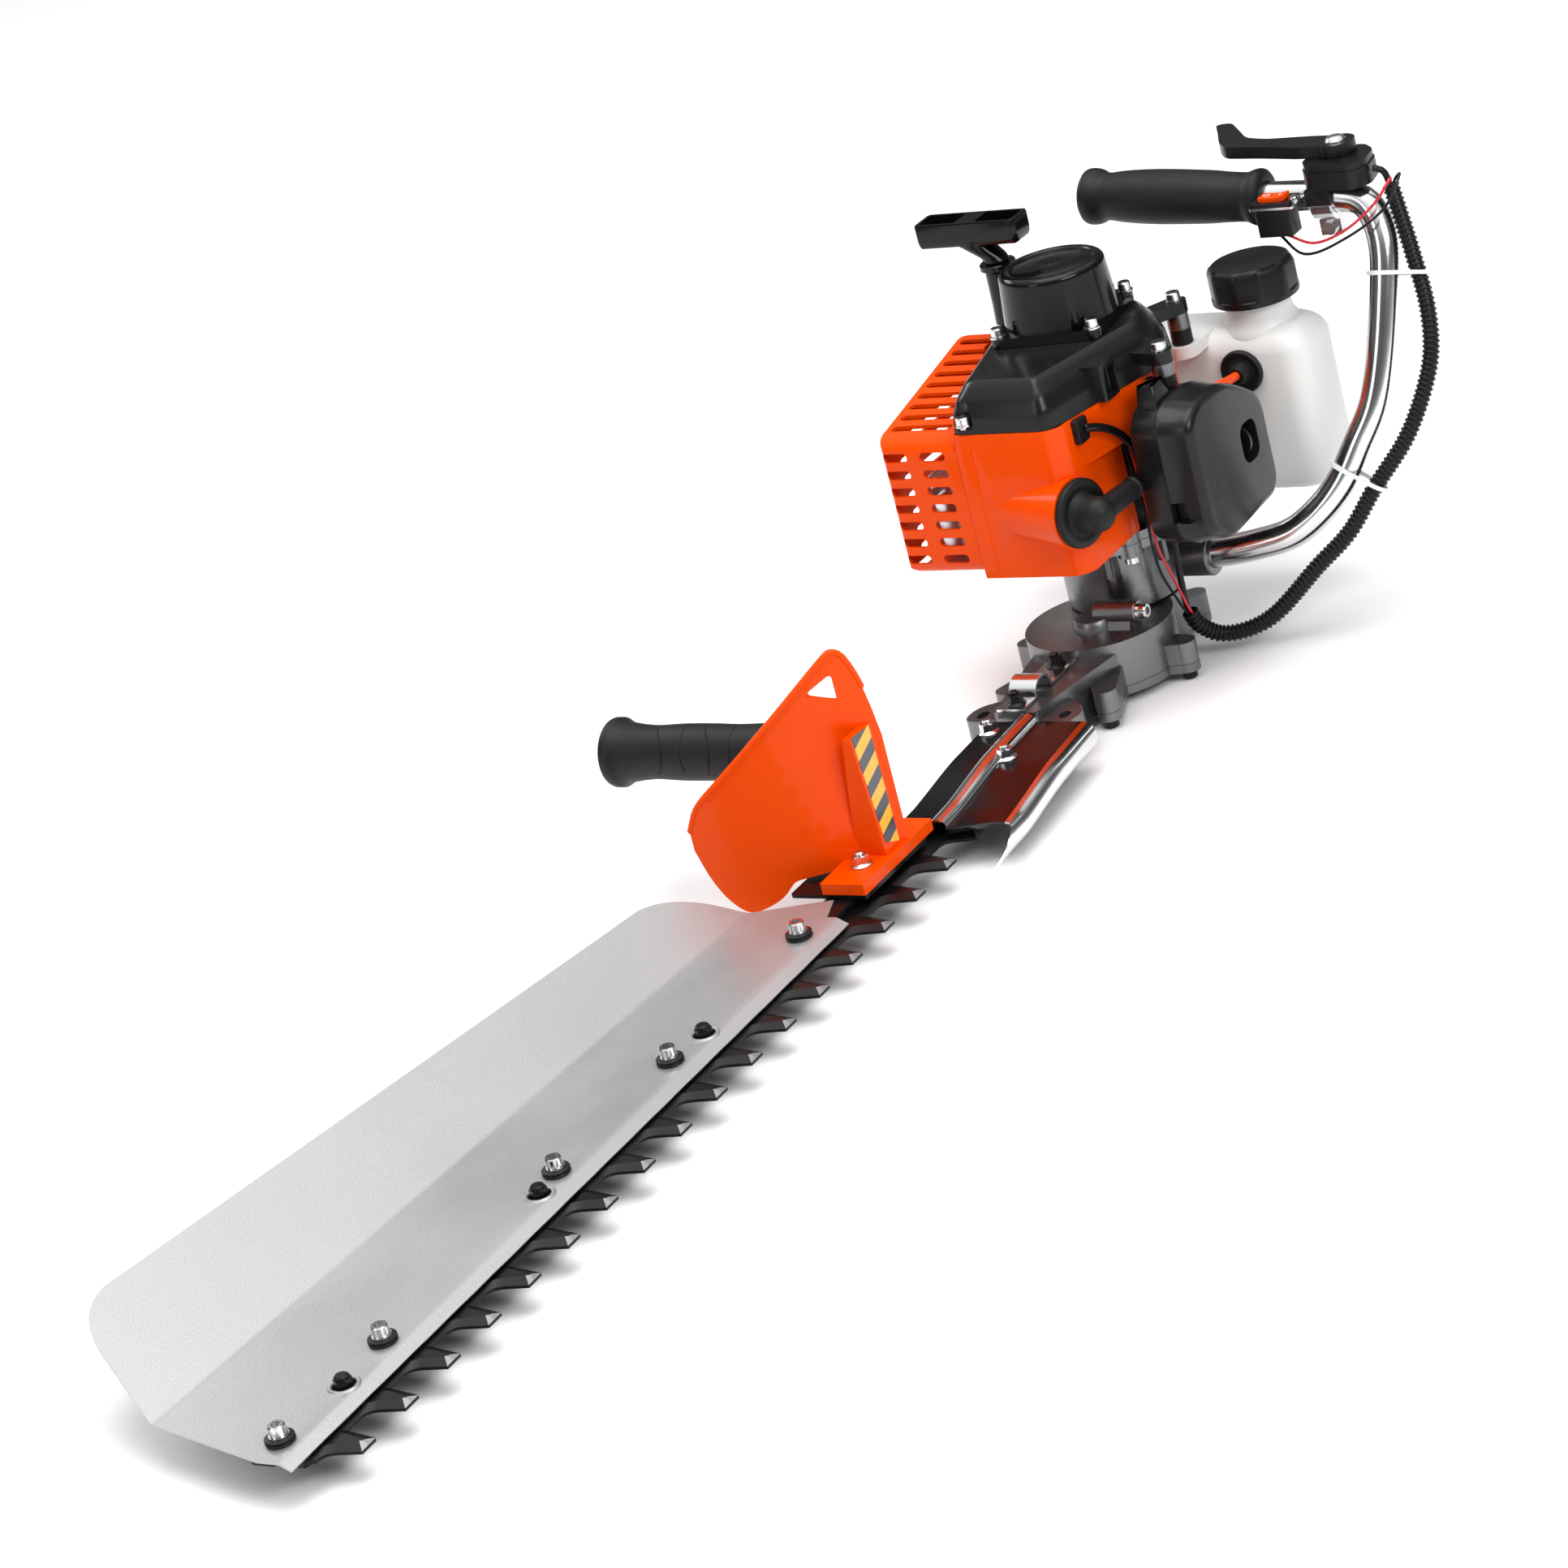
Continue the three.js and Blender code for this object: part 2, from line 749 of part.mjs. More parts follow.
function block(fromX, toX, fromY, toY, fromZ, toZ) {
  const geometry = new THREE.BoxGeometry(toX - fromX, toY - fromY, toZ - fromZ);
  return geometry.translate((fromX + toX) / 2, (fromY + toY) / 2, (fromZ + toZ) / 2);
}

// A body turned round Z from points of radius and height
function turned(profile, sides = roundSides) {
  const points = profile.map(([radius, height]) => new THREE.Vector2(radius, height));
  return new THREE.LatheGeometry(points, sides).rotateX(Math.PI / 2);
}

function disc(radius, low, high, sides = roundSides) {
  return turned([[0, low], [radius, low], [radius, high], [0, high]], sides);
}

function ring(radius, bore, low, high, sides = roundSides) {
  return turned([[bore, low], [radius, low], [radius, high], [bore, high], [bore, low]], sides);
}

function turnedAlongX(profile, sides = roundSides) {
  return turned(profile, sides).applyMatrix4(alongX);
}

function turnedAlongY(profile, sides = roundSides) {
  return turned(profile, sides).applyMatrix4(alongY);
}

// Rounds the corners of an outline
function rounded(outline, radius, steps = cornerSteps) {
  const points = [];
  const count = outline.length;
  outline.forEach(([x, y], i) => {
    const corner = new THREE.Vector2(x, y);
    const before = new THREE.Vector2(...outline[(i + count - 1) % count]).sub(corner);
    const after = new THREE.Vector2(...outline[(i + 1) % count]).sub(corner);
    const reach = Math.min(radius, before.length() * cornerReachShare, after.length() * cornerReachShare);
    const start = before.setLength(reach).add(corner);
    const end = after.setLength(reach).add(corner);
    const arc = new THREE.QuadraticBezierCurve(start, corner, end);
    arc.getPoints(steps).forEach((point) => points.push([point.x, point.y]));
  });
  return points;
}

function rectangle(fromX, toX, fromY, toY) {
  return [[fromX, fromY], [toX, fromY], [toX, toY], [fromX, toY]];
}

// An outline moved out by a distance, or in where it is negative; the outline runs anticlockwise
function grown(outline, distance) {
  const count = outline.length;
  return outline.map(([x, y], i) => {
    const [ax, ay] = outline[(i + count - 1) % count];
    const [bx, by] = outline[(i + 1) % count];
    const before = new THREE.Vector2(y - ay, ax - x).normalize();
    const after = new THREE.Vector2(by - y, x - bx).normalize();
    const middle = before.clone().add(after).normalize();
    const reach = distance / Math.max(middle.dot(after), mitreLimit);
    return [x + middle.x * reach, y + middle.y * reach];
  });
}

// A closed body through outlines of the same count at rising heights
function layered(levels) {
  const count = levels[0].outline.length;
  const corners = [];
  const faces = [];
  levels.forEach(({ outline, at }) => outline.forEach(([x, y]) => corners.push(x, y, at)));
  for (let level = 0; level + 1 < levels.length; level += 1) {
    for (let i = 0; i < count; i += 1) {
      const a = level * count + i;
      const b = level * count + ((i + 1) % count);
      faces.push(a, b, b + count, a, b + count, a + count);
    }
  }
  const capOf = (outline) =>
    THREE.ShapeUtils.triangulateShape(outline.map(([x, y]) => new THREE.Vector2(x, y)), []);
  const top = (levels.length - 1) * count;
  capOf(levels[0].outline).forEach(([a, b, c]) => faces.push(a, c, b));
  capOf(levels[levels.length - 1].outline).forEach(([a, b, c]) => faces.push(top + a, top + b, top + c));
  return meshOf(corners, faces);
}

function meshOf(corners, faces) {
  const geometry = new THREE.BufferGeometry();
  geometry.setAttribute("position", new THREE.Float32BufferAttribute(corners, 3));
  geometry.setIndex(faces);
  return geometry;
}

// A closed body through rings of points, with its ends closed by fans
function lofted(rings) {
  const count = rings[0].length;
  const corners = rings.flat().flatMap((point) => point.toArray());
  const faces = [];
  for (let level = 0; level + 1 < rings.length; level += 1) {
    for (let i = 0; i < count; i += 1) {
      const a = level * count + i;
      const b = level * count + ((i + 1) % count);
      faces.push(a, b, b + count, a, b + count, a + count);
    }
  }
  const top = (rings.length - 1) * count;
  for (let i = 1; i + 1 < count; i += 1) {
    faces.push(0, i + 1, i);
    faces.push(top, top + i, top + i + 1);
  }
  return meshOf(corners, faces);
}

// A closed sheet between two grids of points, one above the other
function sheetBetween(high, low) {
  const rows = high.length;
  const columns = high[0].length;
  const corners = [...high.flat(), ...low.flat()].flatMap((point) => point.toArray());
  const at = (row, column) => row * columns + column;
  const below = rows * columns;
  const faces = [];
  const quad = (a, b, c, d) => faces.push(a, b, c, a, c, d);
  for (let row = 0; row + 1 < rows; row += 1) {
    for (let column = 0; column + 1 < columns; column += 1) {
      const [a, b] = [at(row, column), at(row, column + 1)];
      const [c, d] = [at(row + 1, column + 1), at(row + 1, column)];
      quad(a, b, c, d);
      quad(a + below, d + below, c + below, b + below);
    }
  }
  for (let column = 0; column + 1 < columns; column += 1) {
    const [a, b] = [at(0, column), at(0, column + 1)];
    const [c, d] = [at(rows - 1, column), at(rows - 1, column + 1)];
    quad(a, a + below, b + below, b);
    quad(c, d, d + below, c + below);
  }
  for (let row = 0; row + 1 < rows; row += 1) {
    const [a, b] = [at(row, 0), at(row + 1, 0)];
    const [c, d] = [at(row, columns - 1), at(row + 1, columns - 1)];
    quad(a, b, b + below, a + below);
    quad(c, c + below, d + below, d);
  }
  return meshOf(corners, faces);
}

function vectors(points) {
  return points.map(([x, y, z]) => new THREE.Vector3(x, y, z));
}

function curveThrough(points) {
  return new THREE.CatmullRomCurve3(vectors(points), false, "centripetal");
}

function arcPoints(x, y, radius, from, to, steps) {
  return Array.from({ length: steps + 1 }, (_, i) => {
    const angle = from + ((to - from) * i) / steps;
    return [x + radius * Math.cos(angle), y + radius * Math.sin(angle)];
  });
}

// An outline in X and Z, turned for a body along Y
function acrossY(outline) {
  return outline.map(([x, z]) => [z, x]).reverse();
}

function circle(radius, sides, x = 0, y = 0) {
  return Array.from({ length: sides }, (_, i) => {
    const angle = (2 * Math.PI * i) / sides;
    return [x + radius * Math.cos(angle), y + radius * Math.sin(angle)];
  });
}

function tube(points, radius, sides, steps) {
  return new THREE.ExtrudeGeometry(shapeOf(circle(radius, sides)), {
    steps, bevelEnabled: false, extrudePath: curveThrough(points),
  });
}

// A round bar between two points
function barBetween(from, to, radius, endRadius = radius, sides = roundSides) {
  const start = new THREE.Vector3(...from);
  const run = new THREE.Vector3(...to).sub(start);
  const geometry = turned([[0, 0], [radius, 0], [endRadius, run.length()], [0, run.length()]], sides);
  const turn = new THREE.Quaternion().setFromUnitVectors(new THREE.Vector3(0, 0, 1), run.normalize());
  return geometry.applyQuaternion(turn).translate(...start.toArray());
}

// A height on a line through share points
function heightAt(shares, share) {
  const next = shares.findIndex(([place]) => place >= share);
  if (next <= 0) return shares[0][1];
  const [[fromPlace, from], [toPlace, to]] = [shares[next - 1], shares[next]];
  return from + ((to - from) * (share - fromPlace)) / (toPlace - fromPlace);
}

// A socket head screw that stands on a face, with its shank below
function screwAt(x, y, seat, shankLow) {
  const profile = [
    [0, shankLow], [boltRadius, shankLow], [boltRadius, seat], [headRadius, seat],
    [headRadius, seat + headHeight], [headSocketRadius, seat + headHeight],
    [headSocketRadius, seat + headHeight - headSocketDepth], [0, seat + headHeight - headSocketDepth],
  ];
  return turned(profile, boltSides).translate(x, y, 0);
}

// A hexagonal nut with a flange below it and the bolt's end above
function flangeNutAt(x, y, seat) {
  const hexTop = seat + flangeNutHeight;
  return join(
    disc(flangeNutRadius, seat, seat + flangeNutFlange, boltSides).translate(x, y, 0),
    disc(flangeNutHexRadius, seat, hexTop, nutSides).translate(x, y, 0),
    disc(boltRadius, seat, hexTop + boltEndHeight, boltSides).translate(x, y, 0),
  );
}

// One edge of a toothed blade, seen from above, with the tooth points given as shares
function bladeOutline(toothShares) {
  const tall = toothTipY - toothRootY;
  const rootY = toothRootY + toothShares[0][1] * tall;
  const points = [];
  for (let tooth = 0; tooth < toothCount; tooth += 1) {
    const farX = firstToothX - tooth * toothPitch;
    const edge = toothShares.map(([run, rise]) => [farX + run * toothPitch, toothRootY + rise * tall]);
    points.push(...edge.reverse());
  }
  points.push([bladeNeckX + bladeNeckRun, rootY], [bladeNeckX, bladeNeckY], [bladeRootX, bladeNeckY]);
  points.push([bladeRootX, bladeBackY], [bladeTipX - bladeTipCut, bladeBackY]);
  points.push([bladeTipX, bladeBackY + bladeTipCut], [bladeTipX, bladeTipY]);
  return points;
}

function slotOutline(x, y, halfRun, radius, steps = slotSteps) {
  const end = (centre, from) =>
    Array.from({ length: steps + 1 }, (_, i) => {
      const angle = from + (Math.PI * i) / steps;
      return [centre + radius * Math.cos(angle), y + radius * Math.sin(angle)];
    });
  return [...end(x + halfRun, -Math.PI / 2), ...end(x - halfRun, Math.PI / 2)];
}

// The blade below is the blade above turned over, so the two cut against each other
function toothedBlade(side) {
  const low = bladeOutline(toothLowShares);
  const high = bladeOutline(toothHighShares);
  const blade = layered([
    { outline: low, at: upperBladeLow },
    { outline: low, at: upperBladeLow + toothLand },
    { outline: high, at: upperBladeTop },
  ]);
  const places = [
    ...bladeBoltPlaces.map((x) => [x, bladeBoltY]),
    ...guardBoltPlaces.map((x) => [x, guardBoltY]),
  ];
  const slots = places.map(([x, y]) =>
    upright(slotOutline(x, y, bladeSlotHalf, holeRadius), upperBladeLow - overrun, upperBladeTop + overrun),
  );
  const eyeX = bladeRootX + bladeEyeInset;
  const eye = disc(rodEyeRadius + clearance, -overrun, overrun).translate(eyeX, 0, 0);
  const eyeNeck = bladeEyeNeck + clearance;
  const neck = block(bladeRootX - overrun, eyeX, -eyeNeck, eyeNeck, -overrun, overrun);
  const finished = cut(blade, ...slots, eye, neck);
  return side > 0 ? finished : turnedOver(finished);
}

function conRod(side) {
  const low = upperBladeLow;
  const high = upperBladeLow + rodThickness;
  const eyeX = bladeRootX + bladeEyeInset;
  const armFromX = gearCentreX + rodRingRadius - rodArmHalfWidth;
  const armToX = bladeRootX - crankThrow;
  const arm = [
    [armFromX, -rodArmHalfWidth], [armToX, -bladeEyeNeck], [eyeX, -bladeEyeNeck],
    [eyeX, bladeEyeNeck], [armToX, bladeEyeNeck], [armFromX, rodArmHalfWidth],
  ];
  const rod = join(
    disc(rodRingRadius, low, high).translate(gearCentreX, 0, 0),
    upright(arm, low, high),
    disc(rodEyeRadius, low, high).translate(eyeX, 0, 0),
  );
  const bored = cut(rod, disc(rodRingBore, low - overrun, high + overrun).translate(gearCentreX, 0, 0));
  return side > 0 ? bored : turnedOver(bored);
}

function guideBar() {
  const outline = [
    [barRootX, barLeftY], [barTipX, barLeftY], [barTipX, barRightY - barTipCut],
    [barTipX - barTipCut, barRightY], [barRootX, barRightY],
  ];
  const holes = [
    ...bladeBoltPlaces.map((x) => [x, bladeBoltY]),
    ...guardBoltPlaces.map((x) => [x, guardBoltY]),
    ...deflectorScrewPlaces.map((x) => [x, 0]),
  ];
  const tools = holes.map(([x, y]) =>
    disc(holeRadius, barLow - overrun, barTop + overrun, boltSides).translate(x, y, 0),
  );
  return cut(upright(outline, barLow, barTop), ...tools);
}

// A bolt whose head is under the blades and whose lock nut stands on the bar
function bladeBolt(x) {
  const seat = barTop + clearance;
  const under = lowerBladeLow - clearance;
  const domeTop = seat + lockNutHeight + lockNutDomeHeight;
  return join(
    disc(headRadius, under - headHeight, under, nutSides).translate(x, bladeBoltY, 0),
    disc(boltRadius, under - headHeight, domeTop, boltSides).translate(x, bladeBoltY, 0),
    disc(lockNutRadius, seat, seat + lockNutHeight, nutSides).translate(x, bladeBoltY, 0),
    disc(lockNutDomeRadius, seat, domeTop, boltSides).translate(x, bladeBoltY, 0),
  );
}

function guardBolt(x) {
  const under = lowerBladeLow - clearance;
  const seat = sheetLow + bracketPlate + clearance + guardBaseHeight + clearance;
  return join(
    disc(headRadius, under - headHeight, under, nutSides).translate(x, guardBoltY, 0),
    disc(boltRadius, under - headHeight, seat + headHeight, boltSides).translate(x, guardBoltY, 0),
    flangeNutAt(x, guardBoltY, seat),
  );
}

// A screw, its washer and the waisted rubber grommet that it stands on
function deflectorScrew(x) {
  const seat = sheetTop + clearance;
  const grommetTop = seat + grommetHeight;
  const washerTop = grommetTop + washerThickness;
  const headTop = washerTop + headHeight;
  const waist = (seat + grommetTop) / 2;
  const profile = [
    [0, barLow], [boltRadius, barLow], [boltRadius, seat], [grommetRadius, seat],
    [grommetRadius - grommetWaist, waist], [grommetRadius, grommetTop], [washerRadius, grommetTop],
    [washerRadius, washerTop], [headRadius, washerTop], [headRadius, headTop],
    [headSocketRadius, headTop], [headSocketRadius, headTop - headSocketDepth],
    [0, headTop - headSocketDepth],
  ];
  return turned(profile, boltSides).translate(x, 0, 0);
}

// A folded sheet: a lip over the blades, a flat over the bar and a wing that stands up
function leafDeflector() {
  const bend = (share) => {
    const angle = wingAngle * share;
    return [foldRadius * Math.sin(angle), foldRadius * (1 - Math.cos(angle))];
  };
  const section = (lip, notch, fold, width) => {
    const run = vectors([
      [lip, deflectorLipY, sheetLow - deflectorLipDrop], [lip, deflectorLipFoldY, sheetLow],
      [notch, deflectorNotchY, sheetLow],
    ]);
    const foldPoints = Array.from({ length: foldSteps + 1 }, (_, i) => {
      const [out, up] = bend(i / foldSteps);
      return new THREE.Vector3(fold.x, fold.y + foldRadius * Math.tan(wingAngle / 2) - out, sheetLow + up);
    });
    const [, bendUp] = bend(1);
    const edgeY = fold.y - width * Math.cos(wingAngle);
    const edgeZ = sheetLow + width * Math.sin(wingAngle);
    return [...run, ...foldPoints, new THREE.Vector3(fold.edgeX, edgeY, Math.max(edgeZ, bendUp))];
  };
  const guardEnd = section(deflectorGuardX, deflectorNotchX, {
    x: deflectorFoldGuardX, y: deflectorFoldGuardY, edgeX: wingGuardX,
  }, wingGuardWidth);
  const tipEnd = section(deflectorTipX, deflectorTipX, {
    x: deflectorFoldTipX, y: deflectorFoldTipY, edgeX: wingTipX,
  }, wingTipWidth);
  const thicken = (row) => row.map((point, i) => {
    const before = row[Math.max(i - 1, 0)];
    const after = row[Math.min(i + 1, row.length - 1)];
    const normal = new THREE.Vector2(after.z - before.z, before.y - after.y).normalize();
    const lift = normal.clone().multiplyScalar(sheetThickness);
    return new THREE.Vector3(point.x, point.y + lift.x, point.z + lift.y);
  });
  const sheet = sheetBetween([thicken(guardEnd), thicken(tipEnd)], [guardEnd, tipEnd]);
  const edge = tipEnd[tipEnd.length - 1];
  const rims = bladeBoltPlaces.map((x) =>
    disc(nutWindowRadius + nutWindowRim, sheetLow, sheetTop + nutWindowRimHeight).translate(x, bladeBoltY, 0),
  );
  const windows = bladeBoltPlaces.map((x) =>
    disc(nutWindowRadius, sheetLow - overrun, sheetTop + overrun).translate(x, bladeBoltY, 0),
  );
  const holes = deflectorScrewPlaces.map((x) =>
    disc(holeRadius, sheetLow - overrun, sheetTop + overrun, boltSides).translate(x, 0, 0),
  );
  const cornerBlock = block(
    edge.x - wingCornerRadius, edge.x + wingTipWidth, edge.y - overrun, edge.y + wingCornerRadius,
    sheetLow, edge.z + overrun,
  );
  const cornerRound = disc(wingCornerRadius, sheetLow - overrun, edge.z + 2 * overrun, bigRoundSides)
    .translate(edge.x - wingCornerRadius, edge.y + wingCornerRadius, 0);
  const corner = cut(cornerBlock, cornerRound);
  return cut(join(sheet, ...rims), ...windows, ...holes, corner);
}

// A guard moulded in one with its base and a stiffening wedge
function handGuard() {
  const baseLow = sheetLow + bracketPlate + clearance;
  const baseTop = baseLow + guardBaseHeight;
  const plan = new THREE.QuadraticBezierCurve(
    new THREE.Vector2(guardRightX, guardRightY),
    new THREE.Vector2(guardBulgeX, guardBulgeY),
    new THREE.Vector2(guardLeftX, guardLeftY),
  );
  const tall = guardTopZ - guardLowZ;
  const column = (i, offset) => {
    const share = i / guardColumns;
    const point = plan.getPoint(share);
    const along = plan.getTangent(share);
    const x = point.x - along.y * offset;
    const y = point.y + along.x * offset;
    const high = guardLowZ + tall * heightAt(guardTopShares, share);
    const low = guardLowZ + tall * heightAt(guardLowShares, share);
    return [0, 0.5, 1].map((rise) => new THREE.Vector3(x, y, low + (high - low) * rise));
  };
  const face = (offset) => Array.from({ length: guardColumns + 1 }, (_, i) => column(i, offset));
  const sheet = sheetBetween(face(guardSheet / 2), face(-guardSheet / 2));
  const base = upright(
    rectangle(guardBaseRootX, guardBaseTipX, guardBaseLeftY, guardBaseRightY), baseLow, baseTop,
  );
  const gusset = layered([
    { outline: rectangle(gussetRootX, gussetLowX, gussetLowY, gussetFaceY), at: baseLow },
    { outline: rectangle(gussetHighRootX, gussetHighX, gussetHighY, gussetFaceY), at: gussetTopZ },
  ]);
  const hole = guardHoleShares.map(([across, up]) =>
    [guardHoleY + across * guardHoleHalfWidth, guardHoleZ + up * guardHoleHalfHeight],
  );
  const window = lengthways(hole.reverse(), guardRightX - 2 * overrun, guardBulgeX);
  const bolts = guardBoltPlaces.map((x) =>
    disc(holeRadius, baseLow - overrun, baseTop + clearance, boltSides).translate(x, guardBoltY, 0),
  );
  const nutPocket = disc(flangeNutRadius + clearance, baseTop, baseTop + 2 * headHeight);
  const pockets = guardBoltPlaces.map((x) => nutPocket.clone().translate(x, guardBoltY, 0));
  return cut(join(sheet, base, gusset), window, ...bolts, ...pockets);
}

function frontHandleBracket() {
  const low = sheetLow;
  const plate = upright(
    rounded(rectangle(bracketRootX, guardBaseTipX, bracketLeftY, guardBaseRightY), boltRadius),
    low, low + bracketPlate,
  );
  const holes = guardBoltPlaces.map((x) =>
    disc(holeRadius, low - overrun, low + overrun, boltSides).translate(x, guardBoltY, 0),
  );
  const bend = gripTubeRadius * gripBendShare;
  const route = [
    [gripX, gripTubeY, low], [gripX, gripTubeY, gripZ - bend],
    [gripX, gripTubeY - bend * gripBendMiddleShare, gripZ - bend * gripBendMiddleShare],
    [gripX, gripTubeY - bend, gripZ],
    [gripX, gripInnerY, gripZ], [gripX, gripInnerY - bend, gripZ], [gripX, gripBodyY, gripZ],
  ];
  return join(cut(plate, ...holes), tube(route, gripTubeRadius, boltSides, gripTubeSteps));
}

function frontGrip() {
  const length = gripInnerY - gripBodyY;
  const body = gripProfileShares.map(([along, wide]) => [gripRadius * wide, gripInnerY - along * length]);
  const bore = gripTubeRadius + clearance;
  const flangeInner = gripBodyY + (gripBodyY - gripOuterY) * gripFlangeInnerShare;
  const profile = [
    ...body, [gripFlangeRadius, flangeInner], [gripFlangeRadius, gripOuterY + clearance * 4],
    [gripFlangeRadius - clearance * 6, gripOuterY], [0, gripOuterY], [0, gripBodyY - clearance],
    [bore, gripBodyY - clearance], [bore, gripInnerY], [gripRadius * gripProfileShares[0][1], gripInnerY],
  ];
  return turnedAlongY(profile.slice(0, -1).concat([body[0]])).translate(gripX, 0, gripZ);
}

// A pressed sheet with a raised rib, a step and a rolled edge that ends in a point
function rootCover() {
  const shareOf = (x) => (x - coverRearX) / (coverFrontX - coverRearX);
  const rear = coverRearZ - coverFrontZ;
  const stations = [
    { x: coverRearX, share: 0, rise: rear },
    { x: coverJoggleFromX, share: shareOf(coverJoggleFromX), rise: rear },
    { x: coverJoggleToX, share: shareOf(coverJoggleToX), rise: 0 },
    { x: coverFrontX, share: 1, rise: 0 },
  ];
  const mix = (rear, front, share) => rear + (front - rear) * share;
  const row = (station, offset) => {
    const { share, rise } = station;
    const isFront = share === 1;
    const z = coverFrontZ + rise + offset;
    const ribY = mix(coverRibRearY, coverRibFrontY, share);
    const rollY = mix(coverRollRearY, coverRollFrontY, share);
    const rightX = isFront ? coverRightFrontX : station.x;
    const points = [new THREE.Vector3(station.x, mix(coverLeftRearY, coverLeftFrontY, share), z)];
    const ribHalf = coverRibRadius + offset;
    for (let i = 0; i <= coverRibSteps; i += 1) {
      const angle = Math.PI * (1 - i / coverRibSteps);
      points.push(new THREE.Vector3(
        station.x, ribY + ribHalf * Math.cos(angle), z + coverRibRadius * Math.sin(angle),
      ));
    }
    const rollHalf = coverRollRadius + offset;
    for (let i = 0; i <= coverRollSteps; i += 1) {
      const angle = (Math.PI / 2) * (1 - (i / coverRollSteps) * coverRollTurnShare);
      const along = Math.max(0, i / coverRollSteps - coverPointShare);
      const pointed = isFront ? (coverPointX - coverRightFrontX) * along : 0;
      points.push(new THREE.Vector3(
        rightX + pointed, rollY + rollHalf * Math.cos(angle),
        coverFrontZ + rise - coverRollRadius + rollHalf * Math.sin(angle),
      ));
    }
    return points;
  };
  const face = (offset) => stations.map((station) => row(station, offset));
  const sheet = sheetBetween(face(sheetThickness), face(0));
  const seat = coverRearZ + sheetThickness * nutEmbedShare;
  const nuts = coverNutPlaces.map(([x, y]) => flangeNutAt(x, y, seat));
  return join(sheet, ...nuts);
}

// A gear blank with straight-sided teeth and room for backlash
function gearOutline(teeth, phase) {
  const pitchRadius = (gearModule * teeth) / 2;
  const rootRadius = pitchRadius - toothDepthShares[0] * gearModule;
  const tipRadius = pitchRadius + toothDepthShares[1] * gearModule;
  const [rootShare, tipShare] = flankShares;
  const flanks = [
    [-rootShare, rootRadius], [-tipShare, tipRadius], [tipShare, tipRadius], [rootShare, rootRadius],
  ];
  const outline = [];
  for (let tooth = 0; tooth < teeth; tooth += 1) {
    flanks.forEach(([share, radius]) => {
      const angle = (2 * Math.PI * (tooth + share + phase)) / teeth;
      outline.push([radius * Math.cos(angle), radius * Math.sin(angle)]);
    });
  }
  return outline;
}

// The large gear on its shaft, with two crank pins half a turn apart for the two blades
function eccentricGear() {
  const shaftTop = caseTopZ - caseWall / 2;
  return join(
    upright(gearOutline(gearTeeth, 0), gearBottomZ, gearTopZ),
    disc(gearShaftRadius, gearTopZ - clearance, shaftTop),
    disc(crankPinRadius, upperBladeLow, gearBottomZ + clearance).translate(0, crankThrow, 0),
    disc(crankPinRadius, lowerBladeLow, gearBottomZ + clearance).translate(0, -crankThrow, 0),
  ).translate(gearCentreX, 0, 0);
}

function clutchDrum() {
  const shaftLow = gearBottomZ - clearance;
  const profile = [
    [0, shaftLow], [drumShaftRadius, shaftLow], [drumShaftRadius, drumLowZ], [drumRadius, drumLowZ],
    [drumRadius, drumTopZ], [drumRadius - drumWall, drumTopZ], [drumRadius - drumWall, drumLowZ + drumWall],
    [0, drumLowZ + drumWall],
  ];
  return join(turned(profile), upright(gearOutline(pinionTeeth, 0.5), gearBottomZ, gearTopZ));
}

// The plan that the gear case and its cover share, as a solid between two heights
function casePlan(low, high, neckHigh, lugHigh) {
  const taperX = gearCentreX + caseRadius * caseTaperXShare;
  const taperY = caseRadius * caseTaperYShare;
  const neck = rounded([
    [gearCentreX, -caseRadius * caseNeckShare], [taperX, -taperY],
    [caseFrontX - caseEarRadius, caseNeckLeftY],
    [caseFrontX, caseNeckLeftY], [caseFrontX, caseNeckRightY], [caseFrontX - caseEarRadius, caseNeckRightY],
    [taperX, taperY], [gearCentreX, caseRadius * caseNeckShare],
  ], caseEarRadius / 2);
  const lugs = caseLugPlaces.flatMap(([x, y]) => [
    disc(caseLugRadius, low, lugHigh, boltSides).translate(x, y, 0), lugWeb(x, y, low, lugHigh),
  ]);
  return join(
    disc(caseRadius, low, high, bigRoundSides).translate(gearCentreX, 0, 0),
    disc(caseRearRadius, low, high, bigRoundSides),
    upright(neck, low, neckHigh),
    ...lugs,
  );
}

// The web that ties one lug to the round of the case that it stands on
function lugWeb(x, y, low, high) {
  const centreX = x > 0 ? gearCentreX : 0;
  const run = new THREE.Vector2(x - centreX, y);
  const inner = run.clone().multiplyScalar(lugWebShare);
  const across = new THREE.Vector2(-run.y, run.x).setLength(caseLugRadius);
  const corner = (point, side, wide) => [
    centreX + point.x + across.x * side * wide, point.y + across.y * side * wide,
  ];
  return upright([
    corner(inner, -1, lugWebFlare), corner(run, -1, 1), corner(run, 1, 1), corner(inner, 1, lugWebFlare),
  ], low, high);
}

function bladePassage(low) {
  return block(
    gearCentreX, caseFrontX + overrun, barLeftY - 2 * clearance, bladeNeckY + 2 * clearance,
    low, barTop + clearance,
  );
}

